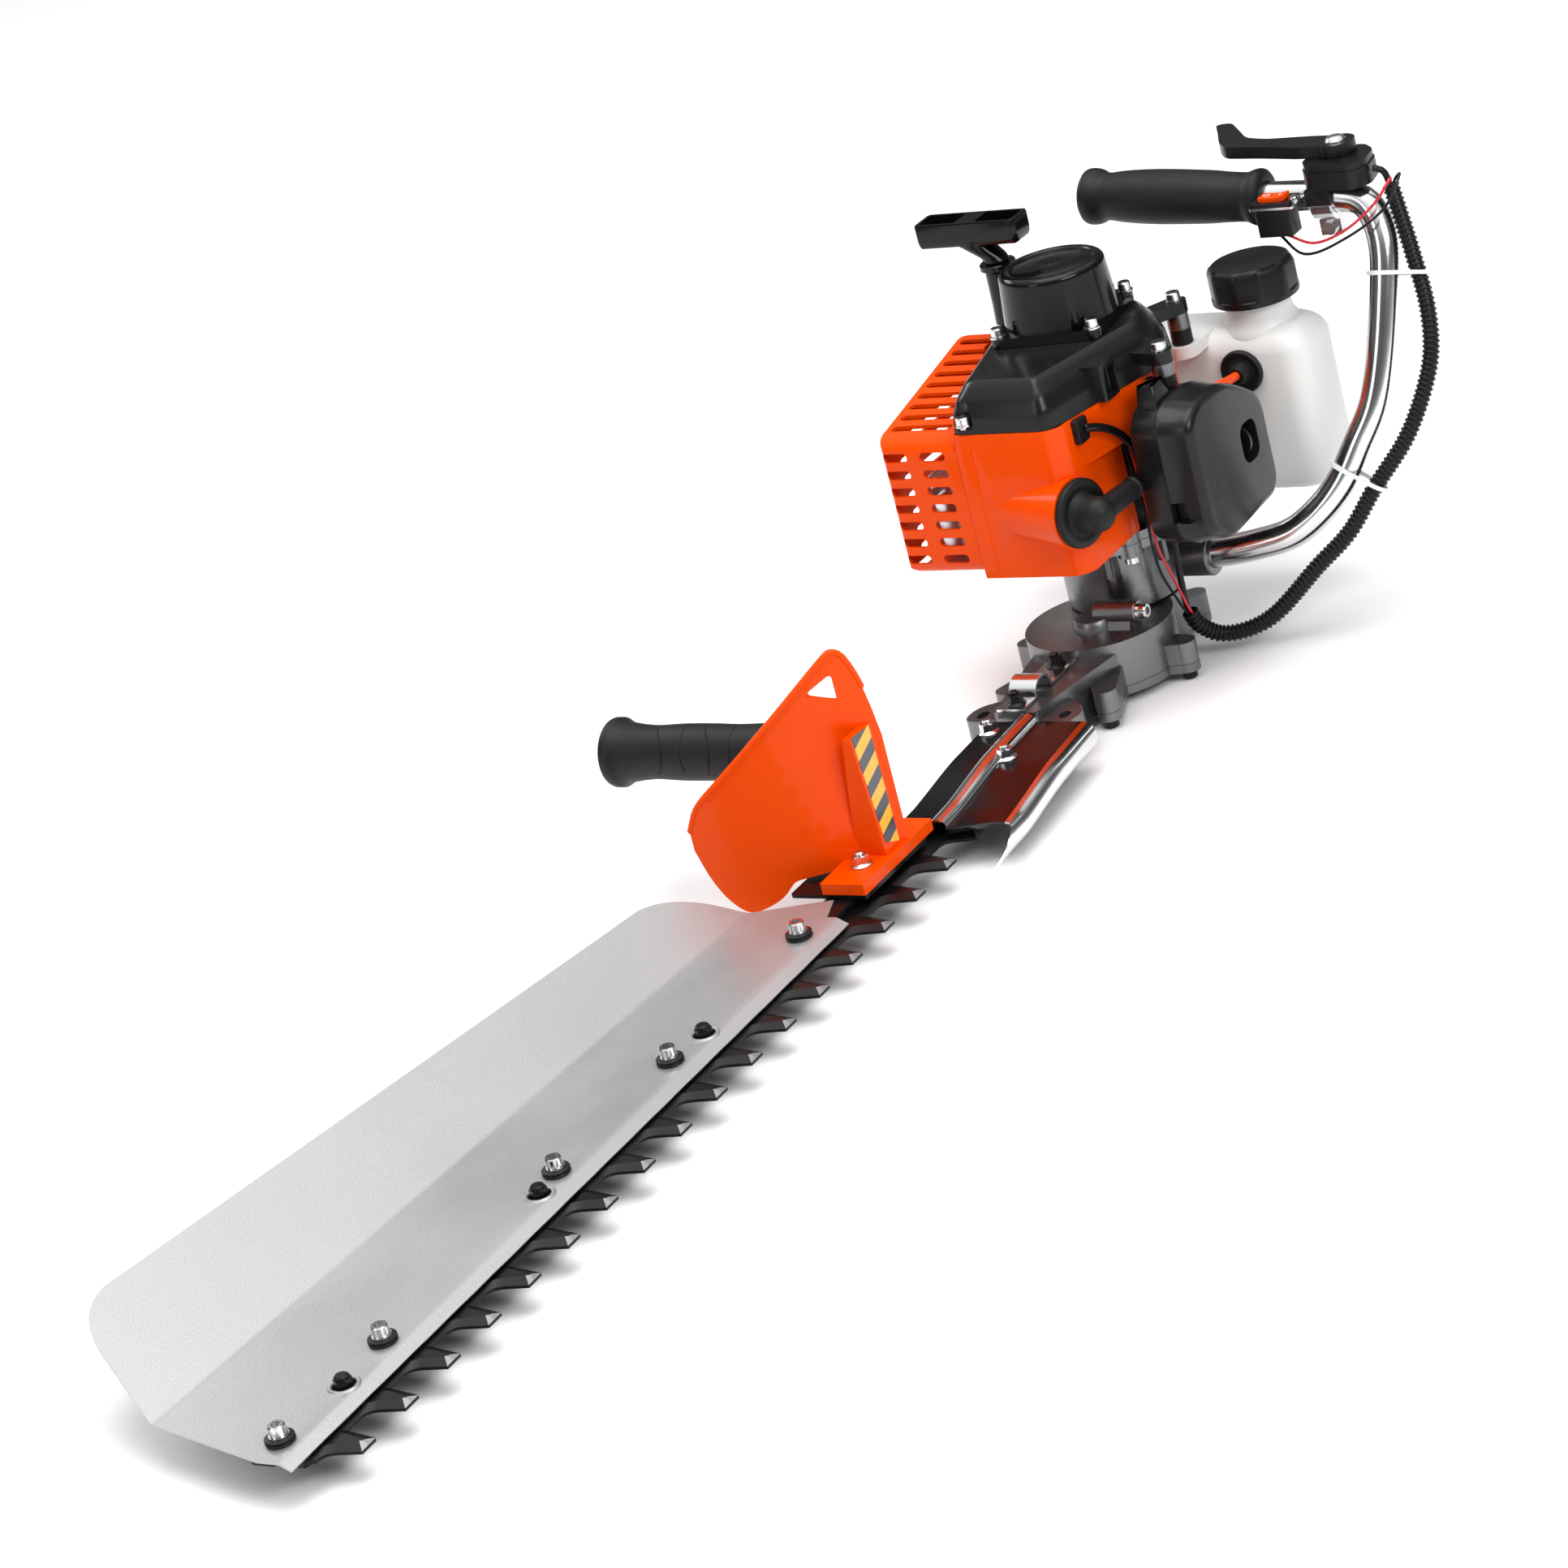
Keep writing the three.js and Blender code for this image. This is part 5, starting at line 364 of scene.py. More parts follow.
def sweep(points, radius, sides, ends=0.0):
    """A round cord through points, with rounded ends where a share of its radius is given."""
    rings = [(*station, radius) for station in stations(points)]
    if ends:
        reach = radius * ends
        first, last = (points[0] - points[1]).normalized(), (points[-1] - points[-2]).normalized()
        at, across, up, _ = rings[0]
        rings = [(at + first * reach, across, up, radius - reach), *rings]
        at, across, up, _ = rings[-1]
        rings.append((at + last * reach, across, up, radius - reach))
    corners, faces = [], []
    for at, across, up, wide in rings:
        for x, y in circle(wide, sides):
            corners.append(at + across * x + up * y)
    for level in range(len(rings) - 1):
        for i in range(sides):
            a, b = level * sides + i, level * sides + (i + 1) % sides
            faces.append((a, b, b + sides, a + sides))
    top = (len(rings) - 1) * sides
    faces += [tuple(range(sides))[::-1], tuple(range(top, top + sides))]
    return mesh_of(corners, faces)


def sheet(high, low):
    """A closed sheet between two grids of points."""
    rows, columns = len(high), len(high[0])
    points = [p for row in high for p in row] + [p for row in low for p in row]
    below = rows * columns
    faces = []
    for r in range(rows - 1):
        for c in range(columns - 1):
            a, b, d = r * columns + c, r * columns + c + 1, (r + 1) * columns + c
            faces += [(a, b, d + 1, d), (a + below, d + below, d + 1 + below, b + below)]
    for c in range(columns - 1):
        a, b = c, (rows - 1) * columns + c
        faces += [(a, a + below, a + 1 + below, a + 1), (b, b + 1, b + 1 + below, b + below)]
    for r in range(rows - 1):
        a, b = r * columns, r * columns + columns - 1
        faces += [(a, a + columns, a + columns + below, a + below),
                  (b, b + below, b + columns + below, b + columns)]
    return mesh_of(points, faces)


def operated(base, tools, operation):
    """The base form with tool forms added to it, cut out of it or kept in common with it."""
    holder = bpy.data.objects.new("base", base)
    helpers = [bpy.data.objects.new("tool", tool) for tool in tools]
    for item in [holder, *helpers]:
        bpy.context.scene.collection.objects.link(item)
    for helper in helpers:
        change = holder.modifiers.new("change", "BOOLEAN")
        change.operation = operation
        change.solver = "MANIFOLD"
        change.object = helper
    bpy.context.view_layer.update()
    graph = bpy.context.evaluated_depsgraph_get()
    result = bpy.data.meshes.new_from_object(holder.evaluated_get(graph))
    for item in [holder, *helpers]:
        bpy.data.objects.remove(item)
    for mesh in [base, *tools]:
        bpy.data.meshes.remove(mesh)
    if not result.polygons:
        raise RuntimeError("a form came out empty")
    return result


def join(base, *tools):
    return operated(base, tools, "UNION")


def cut(base, *tools):
    return operated(base, tools, "DIFFERENCE")


def common(base, tool):
    return operated(base, [tool], "INTERSECT")


def together(*meshes):
    """Separate forms in one mesh."""
    work = bmesh.new()
    for mesh in meshes:
        work.from_mesh(mesh)
        bpy.data.meshes.remove(mesh)
    result = bpy.data.meshes.new("form")
    work.to_mesh(result)
    work.free()
    return result


def tube_room():
    """The room that the handle tube needs in the pieces that hold it."""
    return sweep(smooth_path(HANDLE, 6), TUBE_ROOM, 32)


# Fasteners, drawn standing on Z = 0 at the origin

def nut_form(height, flange=0.0, dome=0.0, end=1.8):
    """A hexagonal nut with chamfered corners, a flange or a locking collar, and the bolt's end."""
    chamfer = NUT_R * 0.14
    body = common(
        prism(circle(NUT_R, 6), 0, height),
        lathe([(0, 0), (NUT_R * 0.93, 0), (NUT_R + 0.1, chamfer), (NUT_R + 0.1, height - chamfer),
               (NUT_R * 0.88, height), (0, height)], 48),
    )
    parts = [lathe([(0, 0.1), (BOLT_R, 0.1), (BOLT_R, height + end - 0.5), (BOLT_R - 0.5, height + end),
                    (0, height + end)], 24)]
    if flange:
        parts.append(lathe([(0, 0), (flange, 0), (flange, 0.5), (flange - 0.4, 0.9),
                            (NUT_R * 0.8, 1.9), (0, 1.9)], 48))
    if dome:
        parts.append(lathe([(0, height - 0.2), (dome, height - 0.2), (dome, height + 1),
                            (dome - 0.7, height + 1.6), (0, height + 1.6)], 48))
    return join(body, *parts)


def flange_nut_form():
    return nut_form(6, flange=6)


def socket_screw_form(washer, radius=HEAD_R, height=5.0, depth=4.0):
    """A socket head screw with its washer and the shank below."""
    seat = 0.9
    head = lathe([
        (0, -depth), (BOLT_R, -depth), (BOLT_R, 0), (washer, 0), (washer, seat), (radius, seat),
        (radius, seat + height - 0.6), (radius - 0.5, seat + height), (0, seat + height),
    ], 48)
    return cut(head, prism(circle(radius * 0.6, 6), seat + height - 3, seat + height + 2))


def hanging_head_form():
    """A socket head that hangs below its seat."""
    return cut(lathe([(0, 0), (HEAD_R, 0), (HEAD_R, -4.6), (3.8, -5), (0, -5)], 40),
               prism(circle(2.4, 6), -8, -2))


def bolt_form(shank):
    """A round head that hangs below its seat, with the shank above."""
    return join(lathe([(0, -5), (3.9, -5), (HEAD_R, -4.6), (HEAD_R, 0), (0, 0)], 32),
                disc(BOLT_R, -1, shank, 24))


# Finishes

def linear(code):
    value = [int(code[i:i + 2], 16) / 255 for i in (1, 3, 5)]
    return tuple(v / 12.92 if v <= 0.04045 else ((v + 0.055) / 1.055) ** 2.4 for v in value)


def tinted(colour, factor):
    return (*[min(c * factor, 1) for c in colour], 1)


def add_node(tree, kind, values=None, **settings):
    """A new node with its settings and the values of its inputs."""
    node = tree.nodes.new(kind)
    for name, setting in settings.items():
        setattr(node, name, setting)
    for name, value in (values or {}).items():
        node.inputs[name].default_value = value
    return node


def connect(tree, *runs):
    """Links in a tree, each given as a node, its output, the next node and its input."""
    for start, output, end, entry in runs:
        tree.links.new(start.outputs[output], end.inputs[entry])


def surface(name, colour, roughness, metal=0.0, coat=0.0, grain=2600.0, relief=0.1, spread=0.05,
            shade=0.05, stretch=(1, 1, 1), cloud=30.0, specular=0.5):
    """A finish with cloudy colour, uneven gloss and a fine grain that stands up a little."""
    material = bpy.data.materials.new(name)
    material.use_nodes = True
    tree = material.node_tree
    shader = tree.nodes["Principled BSDF"]
    for title, value in (("Metallic", metal), ("Coat Weight", coat), ("Coat Roughness", 0.08),
                         ("Specular IOR Level", specular)):
        shader.inputs[title].default_value = value
    place = add_node(tree, "ShaderNodeTexCoord")
    turn = add_node(tree, "ShaderNodeMapping", {"Scale": stretch})
    fine = add_node(tree, "ShaderNodeTexNoise", {"Scale": grain, "Detail": 3})
    clouds = add_node(tree, "ShaderNodeTexNoise", {"Scale": cloud, "Detail": 4})
    mix = add_node(tree, "ShaderNodeMix", {6: tinted(colour, 1 - shade), 7: tinted(colour, 1 + shade)},
                   data_type="RGBA")
    gloss = add_node(tree, "ShaderNodeMapRange", {
        "From Min": 0.3, "From Max": 0.7,
        "To Min": max(roughness - spread, 0.02), "To Max": min(roughness + spread, 1),
    })
    bump = add_node(tree, "ShaderNodeBump", {"Strength": relief, "Distance": 0.0002})
    connect(tree,
            (place, "Object", turn, "Vector"),
            (turn, "Vector", fine, "Vector"),
            (turn, "Vector", clouds, "Vector"),
            (clouds, "Fac", mix, 0),
            (mix, 2, shader, "Base Color"),
            (clouds, "Fac", gloss, "Value"),
            (gloss, "Result", shader, "Roughness"),
            (fine, "Fac", bump, "Height"),
            (bump, "Normal", shader, "Normal"))
    return material


def striped(name, first, second, direction, pitch, roughness):
    """A finish of two colours in even stripes across a direction."""
    material = surface(name, first, roughness, coat=0.3)
    tree = material.node_tree
    place = add_node(tree, "ShaderNodeTexCoord")
    across = [d / pitch for d in Vector(direction).normalized()]
    along = add_node(tree, "ShaderNodeVectorMath", {1: across}, operation="DOT_PRODUCT")
    part = add_node(tree, "ShaderNodeMath", operation="FRACT")
    side = add_node(tree, "ShaderNodeMath", {1: 0.5}, operation="GREATER_THAN")
    mix = add_node(tree, "ShaderNodeMix", {6: (*first, 1), 7: (*second, 1)}, data_type="RGBA")
    connect(tree,
            (place, "Object", along, 0),
            (along, "Value", part, 0),
            (part, 0, side, 0),
            (side, 0, mix, 0),
            (mix, 2, tree.nodes["Principled BSDF"], "Base Color"))
    return material


def finishes():
    """All the finishes, made once from the colours of the scene."""
    made = {m.name: m for m in bpy.data.materials}
    if "orange moulding" in made:
        return made
    hues = bpy.context.scene.trimmer_colours
    surface("orange moulding", hues.moulding, 0.3, coat=0.2, relief=0.02, grain=900, specular=0.05)
    surface("charcoal moulding", hues.cover, 0.25, relief=0.06, grain=3200, shade=0.08, spread=0.06,
            specular=0.3)
    surface("black gloss moulding", hues.gloss, 0.16, coat=0.1, relief=0.03, grain=1500, shade=0.08,
            specular=0.22)
    surface("black moulding", hues.black, 0.34, relief=0.12, grain=2800, shade=0.1, specular=0.3)
    surface("black rubber", hues.rubber, 0.5, relief=0.2, grain=3500, shade=0.1, spread=0.08,
            specular=0.3)
    surface("bright plated steel", hues.steel, 0.2, metal=1, relief=0.06, grain=1800, shade=0.06,
            spread=0.08)
    surface("satin sheet", hues.sheet, 0.42, metal=0.7, relief=0.5, grain=900, shade=0.04,
            stretch=(1, 1.6, 1), cloud=12)
    surface("polished steel", hues.chrome, 0.16, metal=1, relief=0.02, grain=500, shade=0.02, spread=0.03)
    # Polished steel painted darker: a painted dark reflection on the flat of the root cover
    surface("dark polished sheet", hues.plate, 0.2, metal=1, relief=0.03, grain=700, spread=0.04)
    surface("black blade coat", hues.blade, 0.34, metal=0.5, relief=0.12, grain=2200, shade=0.15,
            spread=0.08)
    surface("ground steel", hues.ground, 0.35, metal=0.9, relief=0.2, grain=3000, stretch=(1, 6, 1))
    surface("cast aluminium", hues.casting, 0.33, metal=0.95, relief=0.5, grain=1100, shade=0.1,
            spread=0.1, cloud=60)
    surface("dark zinc", hues.dark_metal, 0.4, metal=0.8, relief=0.3, grain=1500, shade=0.15, spread=0.1)
    surface("milky plastic", hues.tank, 0.38, relief=0.05, grain=500, shade=0.02, specular=0.4)
    surface("red sleeve", hues.red_wire, 0.35, relief=0.05)
    surface("fuel line", hues.fuel_line, 0.28, coat=0.2, relief=0.05)
    surface("white mark", (0.85, 0.85, 0.85), 0.5, relief=0.05)
    striped("striped tape", hues.tape, hues.tape_dark, (0.35, 0, 0.94), 0.0146, 0.3)
    return {m.name: m for m in bpy.data.materials}


# Pieces


def piece(name, mesh, finish, nodes=(), body="frame", edge=0.0, segments=2, angle=32,
          more=()):
    """Places a form as a piece that rides on a body and stands for the named nodes.
    Where two bodies are given, the piece is only fixed in place and rides on neither."""
    mesh.transform(Matrix.Scale(MM, 4) @ Matrix.Translation((0, 0, LIFT)))
    made = finishes()
    mesh.materials.clear()
    for title in (finish, *more):
        mesh.materials.append(made[title])
    mesh.name = name
    obj = bpy.data.objects.new(name, mesh)
    bpy.context.scene.collection.objects.link(obj)
    mesh.shade_smooth()
    if edge:
        bevel = obj.modifiers.new("soft edges", "BEVEL")
        bevel.width = edge * MM
        bevel.segments = segments
        bevel.limit_method = "ANGLE"
        bevel.angle_limit = math.radians(angle)
        bevel.harden_normals = True
        bevel.use_clamp_overlap = True
    else:
        mesh.set_sharp_from_angle(angle=math.radians(angle))
    if isinstance(body, tuple):
        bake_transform(obj)
    else:
        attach(obj, body)
    if nodes:
        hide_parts(*nodes)
    return obj


def new_tree(title, inputs, result):
    """An empty tree with named inputs, each given with its kind and its default, and one output."""
    tree = bpy.data.node_groups.new(title, "GeometryNodeTree")
    for name, kind, default in inputs:
        socket = tree.interface.new_socket(name, in_out="INPUT", socket_type="NodeSocket" + kind)
        if default is not None:
            socket.default_value = default
    tree.interface.new_socket(result, in_out="OUTPUT", socket_type="NodeSocketGeometry")
    return tree, tree.nodes.new("NodeGroupInput"), tree.nodes.new("NodeGroupOutput")


def repeat_tree():
    """A tree that sets one item, at a size, at each place."""
    title = "Repeat at places"
    if title in bpy.data.node_groups:
        return bpy.data.node_groups[title]
    tree, start, end = new_tree(title, [
        ("Places", "Geometry", None), ("Item", "Object", None), ("Size", "Float", 1.0),
        ("Finish", "Material", None),
    ], "Pieces")
    item = add_node(tree, "GeometryNodeObjectInfo")
    place = add_node(tree, "GeometryNodeInstanceOnPoints")
    real = add_node(tree, "GeometryNodeRealizeInstances")
    finish = add_node(tree, "GeometryNodeSetMaterial")
    connect(tree,
            (start, "Item", item, "Object"),
            (start, "Places", place, "Points"),
            (item, "Geometry", place, "Instance"),
            (start, "Size", place, "Scale"),
            (place, "Instances", real, "Geometry"),
            (real, "Geometry", finish, "Geometry"),
            (start, "Finish", finish, "Material"),
            (finish, "Geometry", end, "Pieces"))
    return tree


def rib_tree():
    """A tree that runs a tube along a path and sets a rib on it at every pitch."""
    title = "Ribs along a path"
    if title in bpy.data.node_groups:
        return bpy.data.node_groups[title]
    tree, start, end = new_tree(title, [
        ("Path", "Geometry", None), ("Rib", "Object", None), ("Pitch", "Float", 3.0),
        ("Core radius", "Float", 4.2), ("Finish", "Material", None),
    ], "Conduit")
    rib = add_node(tree, "GeometryNodeObjectInfo")
    line = add_node(tree, "GeometryNodeMeshToCurve")
    points = add_node(tree, "GeometryNodeCurveToPoints", mode="LENGTH")
    place = add_node(tree, "GeometryNodeInstanceOnPoints")
    ring = add_node(tree, "GeometryNodeCurvePrimitiveCircle", {"Resolution": 24})
    core = add_node(tree, "GeometryNodeCurveToMesh")
    both = add_node(tree, "GeometryNodeJoinGeometry")
    real = add_node(tree, "GeometryNodeRealizeInstances")
    finish = add_node(tree, "GeometryNodeSetMaterial")
    connect(tree,
            (start, "Rib", rib, "Object"),
            (start, "Path", line, "Mesh"),
            (line, "Curve", points, "Curve"),
            (start, "Pitch", points, "Length"),
            (points, "Points", place, "Points"),
            (points, "Rotation", place, "Rotation"),
            (rib, "Geometry", place, "Instance"),
            (start, "Core radius", ring, "Radius"),
            (line, "Curve", core, "Curve"),
            (ring, "Curve", core, "Profile Curve"),
            (core, "Mesh", both, "Geometry"),
            (place, "Instances", both, "Geometry"),
            (both, "Geometry", real, "Geometry"),
            (real, "Geometry", finish, "Geometry"),
            (start, "Finish", finish, "Material"),
            (finish, "Geometry", end, "Conduit"))
    return tree


def run_tree(tree, base, values):
    """The plain mesh that a tree makes of a base mesh, with its inputs set by name."""
    holder = bpy.data.objects.new("holder", base)
    bpy.context.scene.collection.objects.link(holder)
    change = holder.modifiers.new("tree", "NODES")
    change.node_group = tree
    sockets = {s.name: s.identifier for s in tree.interface.items_tree if s.in_out == "INPUT"}
    helpers = []
    for name, value in values.items():
        if isinstance(value, bpy.types.Mesh):
            value = bpy.data.objects.new("item", value)
            bpy.context.scene.collection.objects.link(value)
            helpers.append(value)
        change[sockets[name]] = value
    bpy.context.view_layer.update()
    graph = bpy.context.evaluated_depsgraph_get()
    result = bpy.data.meshes.new_from_object(holder.evaluated_get(graph))
    for item in [holder, *helpers]:
        mesh = item.data
        bpy.data.objects.remove(item)
        bpy.data.meshes.remove(mesh)
    if not result.polygons:
        raise RuntimeError("a tree made nothing")
    return result


def repeated(item, places, finish="bright plated steel"):
    """One item at many places, by the repeat tree, as one mesh."""
    points = bpy.data.meshes.new("places")
    points.from_pydata([tuple(p) for p in places], [], [])
    return run_tree(repeat_tree(), points, {"Item": item, "Size": 1.0, "Finish": finishes()[finish]})


# Sizes and colours

def length(name, description, value):
    return bpy.props.FloatProperty(
        name=name, description=description, default=value, min=0, unit="LENGTH",
    )


def count(name, description, value, least):
    return bpy.props.IntProperty(name=name, description=description, default=value, min=least)


def shade(name, description, code):
    return bpy.props.FloatVectorProperty(
        name=name, description=description, default=linear(code), min=0, max=1, subtype="COLOR",
    )


class TrimmerSizes(bpy.types.PropertyGroup):
    tooth_count: count("Teeth", "Teeth on each blade", 19, 1)
    tooth_pitch: length("Tooth pitch", "Distance from one tooth to the next", 0.035)
    tooth_reach: length("Tooth reach", "Distance of the tooth ends from the crank axis", 0.0363)
    edge_width: length("Moulding edge", "Width of the rounding on moulded edges", 0.0007)
    rib_pitch: length("Rib pitch", "Distance from one rib of the conduit to the next", 0.0029)
    rib_depth: length("Rib depth", "Depth of the grooves of the conduit", 0.0009)
    wire_radius: length("Wire radius", "Radius of the switch wires", 0.0008)
    cap_radius: length("Cap radius", "Radius of the tank cap", 0.0255)
    cap_facets: count("Cap facets", "Flats round the cap", 10, 3)
    slot_height: length("Louvre height", "Height of one louvre of the muffler guard", 0.0054)


class TrimmerColours(bpy.types.PropertyGroup):
    moulding: shade("Moulding", "Shroud, muffler guard and hand guard", "#ee4a00")
    cover: shade("Cover", "Fan cover and air filter", "#171718")
    gloss: shade("Gloss black", "Recoil starter and pull handle", "#0d0d0e")
    black: shade("Black plastic", "Lever, cap, switch and conduit", "#101011")
    rubber: shade("Rubber", "Grips and seals", "#121213")
    steel: shade("Plated steel", "Screws and nuts", "#d9dadb")
    sheet: shade("Sheet", "Leaf deflector", "#b2b3b4")
    chrome: shade("Polished steel", "Handle tube, strap and root cover", "#e2e3e4")
    blade: shade("Blade coat", "Coated blades and bar", "#131314")
    ground: shade("Ground steel", "Ground ends of the teeth", "#8f9091")
    casting: shade("Casting", "Gear case, clutch housing and crankcase", "#7c7d7f")
    # The root plate colour is the polished steel painted darker, a painted dark reflection on the root
    # cover's flat
    plate: shade("Root plate", "Polished sheet of the root cover, painted dark for its reflection", "#46474b")
    dark_metal: shade("Dark metal", "Carburettor and hidden steel", "#55575a")
    tank: shade("Tank", "Milky plastic of the tank", "#e6e6e4")
    red_wire: shade("Red wire", "Sleeve of the red wire", "#d0202c")
    fuel_line: shade("Fuel line", "Hose from the tank", "#f24a08")
    tape: shade("Tape", "Light stripes of the tape", "#f5b52a")
    tape_dark: shade("Dark tape", "Dark stripes of the tape", "#3c434d")
    floor: shade("Floor", "Studio floor", "#f7f7f7")


# Blades, bar and deflector

TOOTH_LOW = [(-0.1, 0), (0, 1), (0.177, 1), (0.314, 1), (0.371, 0.48), (0.385, 0.36), (0.405, 0.24),
             (0.44, 0.12), (0.49, 0.05), (0.54, 0.012), (0.6, 0)]
TOOTH_HIGH = [(-0.006, -0.186), (0.12, 0.872), (0.149, 0.846), (0.165, 0.76), (0.236, 0.36),
              (0.247, 0.28), (0.268, 0.16), (0.31, 0.02), (0.37, -0.09), (0.44, -0.155), (0.543, -0.186)]
LAST_TOOTH, TOOTH_ROOT = 853, 17.5
BLADE_LAND, BLADE_TOP = 0.8, 2.55


def blade_outline(shares):
    """The outline of a blade, its teeth drawn from the tip inwards by shares of pitch and height."""
    sizes = bpy.context.scene.trimmer_sizes
    pitch, reach, root = sizes.tooth_pitch / MM, sizes.tooth_reach / MM, TOOTH_ROOT
    points = []
    for tooth in range(sizes.tooth_count):
        far = LAST_TOOTH - tooth * pitch
        points += [(far + run * pitch, root + rise * (reach - root)) for run, rise in shares[::-1]]
    low = root + shares[0][1] * (reach - root)
    return points + [(211, low), (205, 9), (97, 9), (97, -9), (872, -9), (876, -5), (876, 12)]


def toothed_blade(side):
    """The blade above the middle plane, or its mirror image below, with its ground faces marked."""
    low, high = blade_outline(TOOTH_LOW), blade_outline(TOOTH_HIGH)
    blade = stack([(low, BLADE_GAP), (low, BLADE_LAND), (high, BLADE_TOP)])
    tools = [prism(slot_outline(x, y, STROKE, BOLT_HOLE), -2, 5) for x, y in BLADE_BOLTS + GUARD_BOLTS]
    tools += [disc(5.3, -2, 5, 32, 106), block(91, 106, -3.3, 3.3, -2, 5)]
    blade = cut(blade, *tools)
    if side < 0:
        changed(blade, Matrix.Scale(-1, 4, (0, 0, 1)))
    ground_from, largest = 34, 14
    for face in blade.polygons:
        sloped = face.center.y > ground_from and 0.2 < abs(face.normal.z) < 0.95
        face.material_index = int(sloped and face.normal.x > -0.9 and face.area < largest)
    return blade


class TrimmerBlades(bpy.types.Operator):
    """Make the two toothed blades"""
    bl_idname = "trimmer.blades"
    bl_label = "Toothed blades"

    def execute(self, context):
        blades = ((1, "upper_blade", "upper_cutter"), (-1, "lower_blade", "lower_cutter"))
        for side, name, body in blades:
            mesh = toothed_blade(side)
            marks = [face.material_index for face in mesh.polygons]
            obj = piece(f"{name}_steel", mesh, "black blade coat", [name], body, angle=14,
                        more=("ground steel",))
            obj.data.polygons.foreach_set("material_index", marks)
        return {"FINISHED"}


class TrimmerBar(bpy.types.Operator):
    """Make the guide bar with the blade bolts and their lock nuts"""
    bl_idname = "trimmer.bar"
    bl_label = "Guide bar and blade bolts"

    def execute(self, context):
        outline = [(84, -9.6), (884.5, -9.6), (884.5, 2), (879.5, 7), (84, 7)]
        bolts = BLADE_BOLTS + GUARD_BOLTS + DEFLECTOR_SCREWS
        holes = [disc(BOLT_HOLE, 0, 9, 32, x, y) for x, y in bolts]
        piece("bar_steel", cut(prism(outline, BAR_LOW, BAR_TOP), *holes), "black blade coat",
              ["guide_bar"], edge=0.35)
        nut = nut_form(5, dome=3.6, end=1.3)
        nuts = repeated(nut, [(x, y, SHEET_LOW) for x, y in BLADE_BOLTS], "black blade coat")
        heads = repeated(bolt_form(12), [(x, y, -BAR_LOW) for x, y in BLADE_BOLTS], "black blade coat")
        piece("blade_bolts_black", together(nuts, heads), "black blade coat",
              ["blade_bolt_1", "blade_bolt_2", "blade_bolt_3"])
        return {"FINISHED"}


def deflector_row(lip, notch, fold, edge, width):
    """A line across the deflector's underside, from its lip over its fold to the wing's edge. Lip,
    notch and edge are places along X, the fold is a place in the plan."""
    angle, radius, bend = math.radians(28), 9.0, -2.5
    row = [(lip, 16, SHEET_LOW - 3.4), (lip, 12.6, SHEET_LOW - 1.6), (lip, 10.6, SHEET_LOW - 0.5),
           (lip, 9.2, SHEET_LOW), (lip, 4, SHEET_LOW), (notch, bend, SHEET_LOW)]
    start = fold[1] + radius * math.tan(angle / 2)
    row += [(fold[0] + (notch - fold[0]) * (1 - k / 5), bend + (start - bend) * k / 5, SHEET_LOW)
            for k in range(1, 5)]
    for i in range(9):
        turn = angle * i / 8
        row.append((fold[0], start - radius * math.sin(turn),
                    SHEET_LOW + radius * (1 - math.cos(turn))))
    last = Vector(row[-1])
    end = Vector((edge, fold[1] - width * math.cos(angle), SHEET_LOW + width * math.sin(angle)))
    return [Vector(p) for p in row] + [last.lerp(end, k / 6) for k in range(1, 7)]


def thickened(row, thickness):
    """A line across a sheet, moved up by the sheet's thickness at right angles to the sheet."""
    points = []
    for i, point in enumerate(row):
        before, after = row[max(i - 1, 0)], row[min(i + 1, len(row) - 1)]
        normal = Vector((after.z - before.z, before.y - after.y)).normalized()
        points.append(Vector((point.x, point.y + normal.x * thickness, point.z + normal.y * thickness)))
    return points


class TrimmerDeflector(bpy.types.Operator):
    """Make the folded leaf deflector"""
    bl_idname = "trimmer.deflector"
    bl_label = "Leaf deflector"

    def execute(self, context):
        near = deflector_row(375, 356, (372, -47.7), 388, 42)
        far = deflector_row(889, 889, (870, -76), 833, 72.5)
        rows = [[a.lerp(b, k / 24) for a, b in zip(near, far)] for k in range(25)]
        form = sheet([thickened(row, 1) for row in rows], rows)
        rims = [moved(lathe([(6, SHEET_LOW), (8.2, SHEET_LOW), (8.2, SHEET_TOP), (7.4, SHEET_TOP + 0.8),
                             (6.6, SHEET_TOP + 0.8), (6, SHEET_TOP + 0.4)], 48, True), x, y)
                for x, y in BLADE_BOLTS]
        below, above = SHEET_LOW - 3, SHEET_TOP + 4
        windows = [disc(6.3, below, above, 48, x, y) for x, y in BLADE_BOLTS]
        holes = [disc(BOLT_HOLE, below, above, 32, x, y) for x, y in DEFLECTOR_SCREWS]
        plan = rounded([(325.6, 60), (388, -84.8), (833, -140), (948.6, 60)], 30, 12)
        form = common(cut(form, *windows, *holes), prism(plan, -20, 80))
        piece("deflector_sheet", together(form, *rims), "satin sheet", ["leaf_deflector"], angle=24)
        return {"FINISHED"}


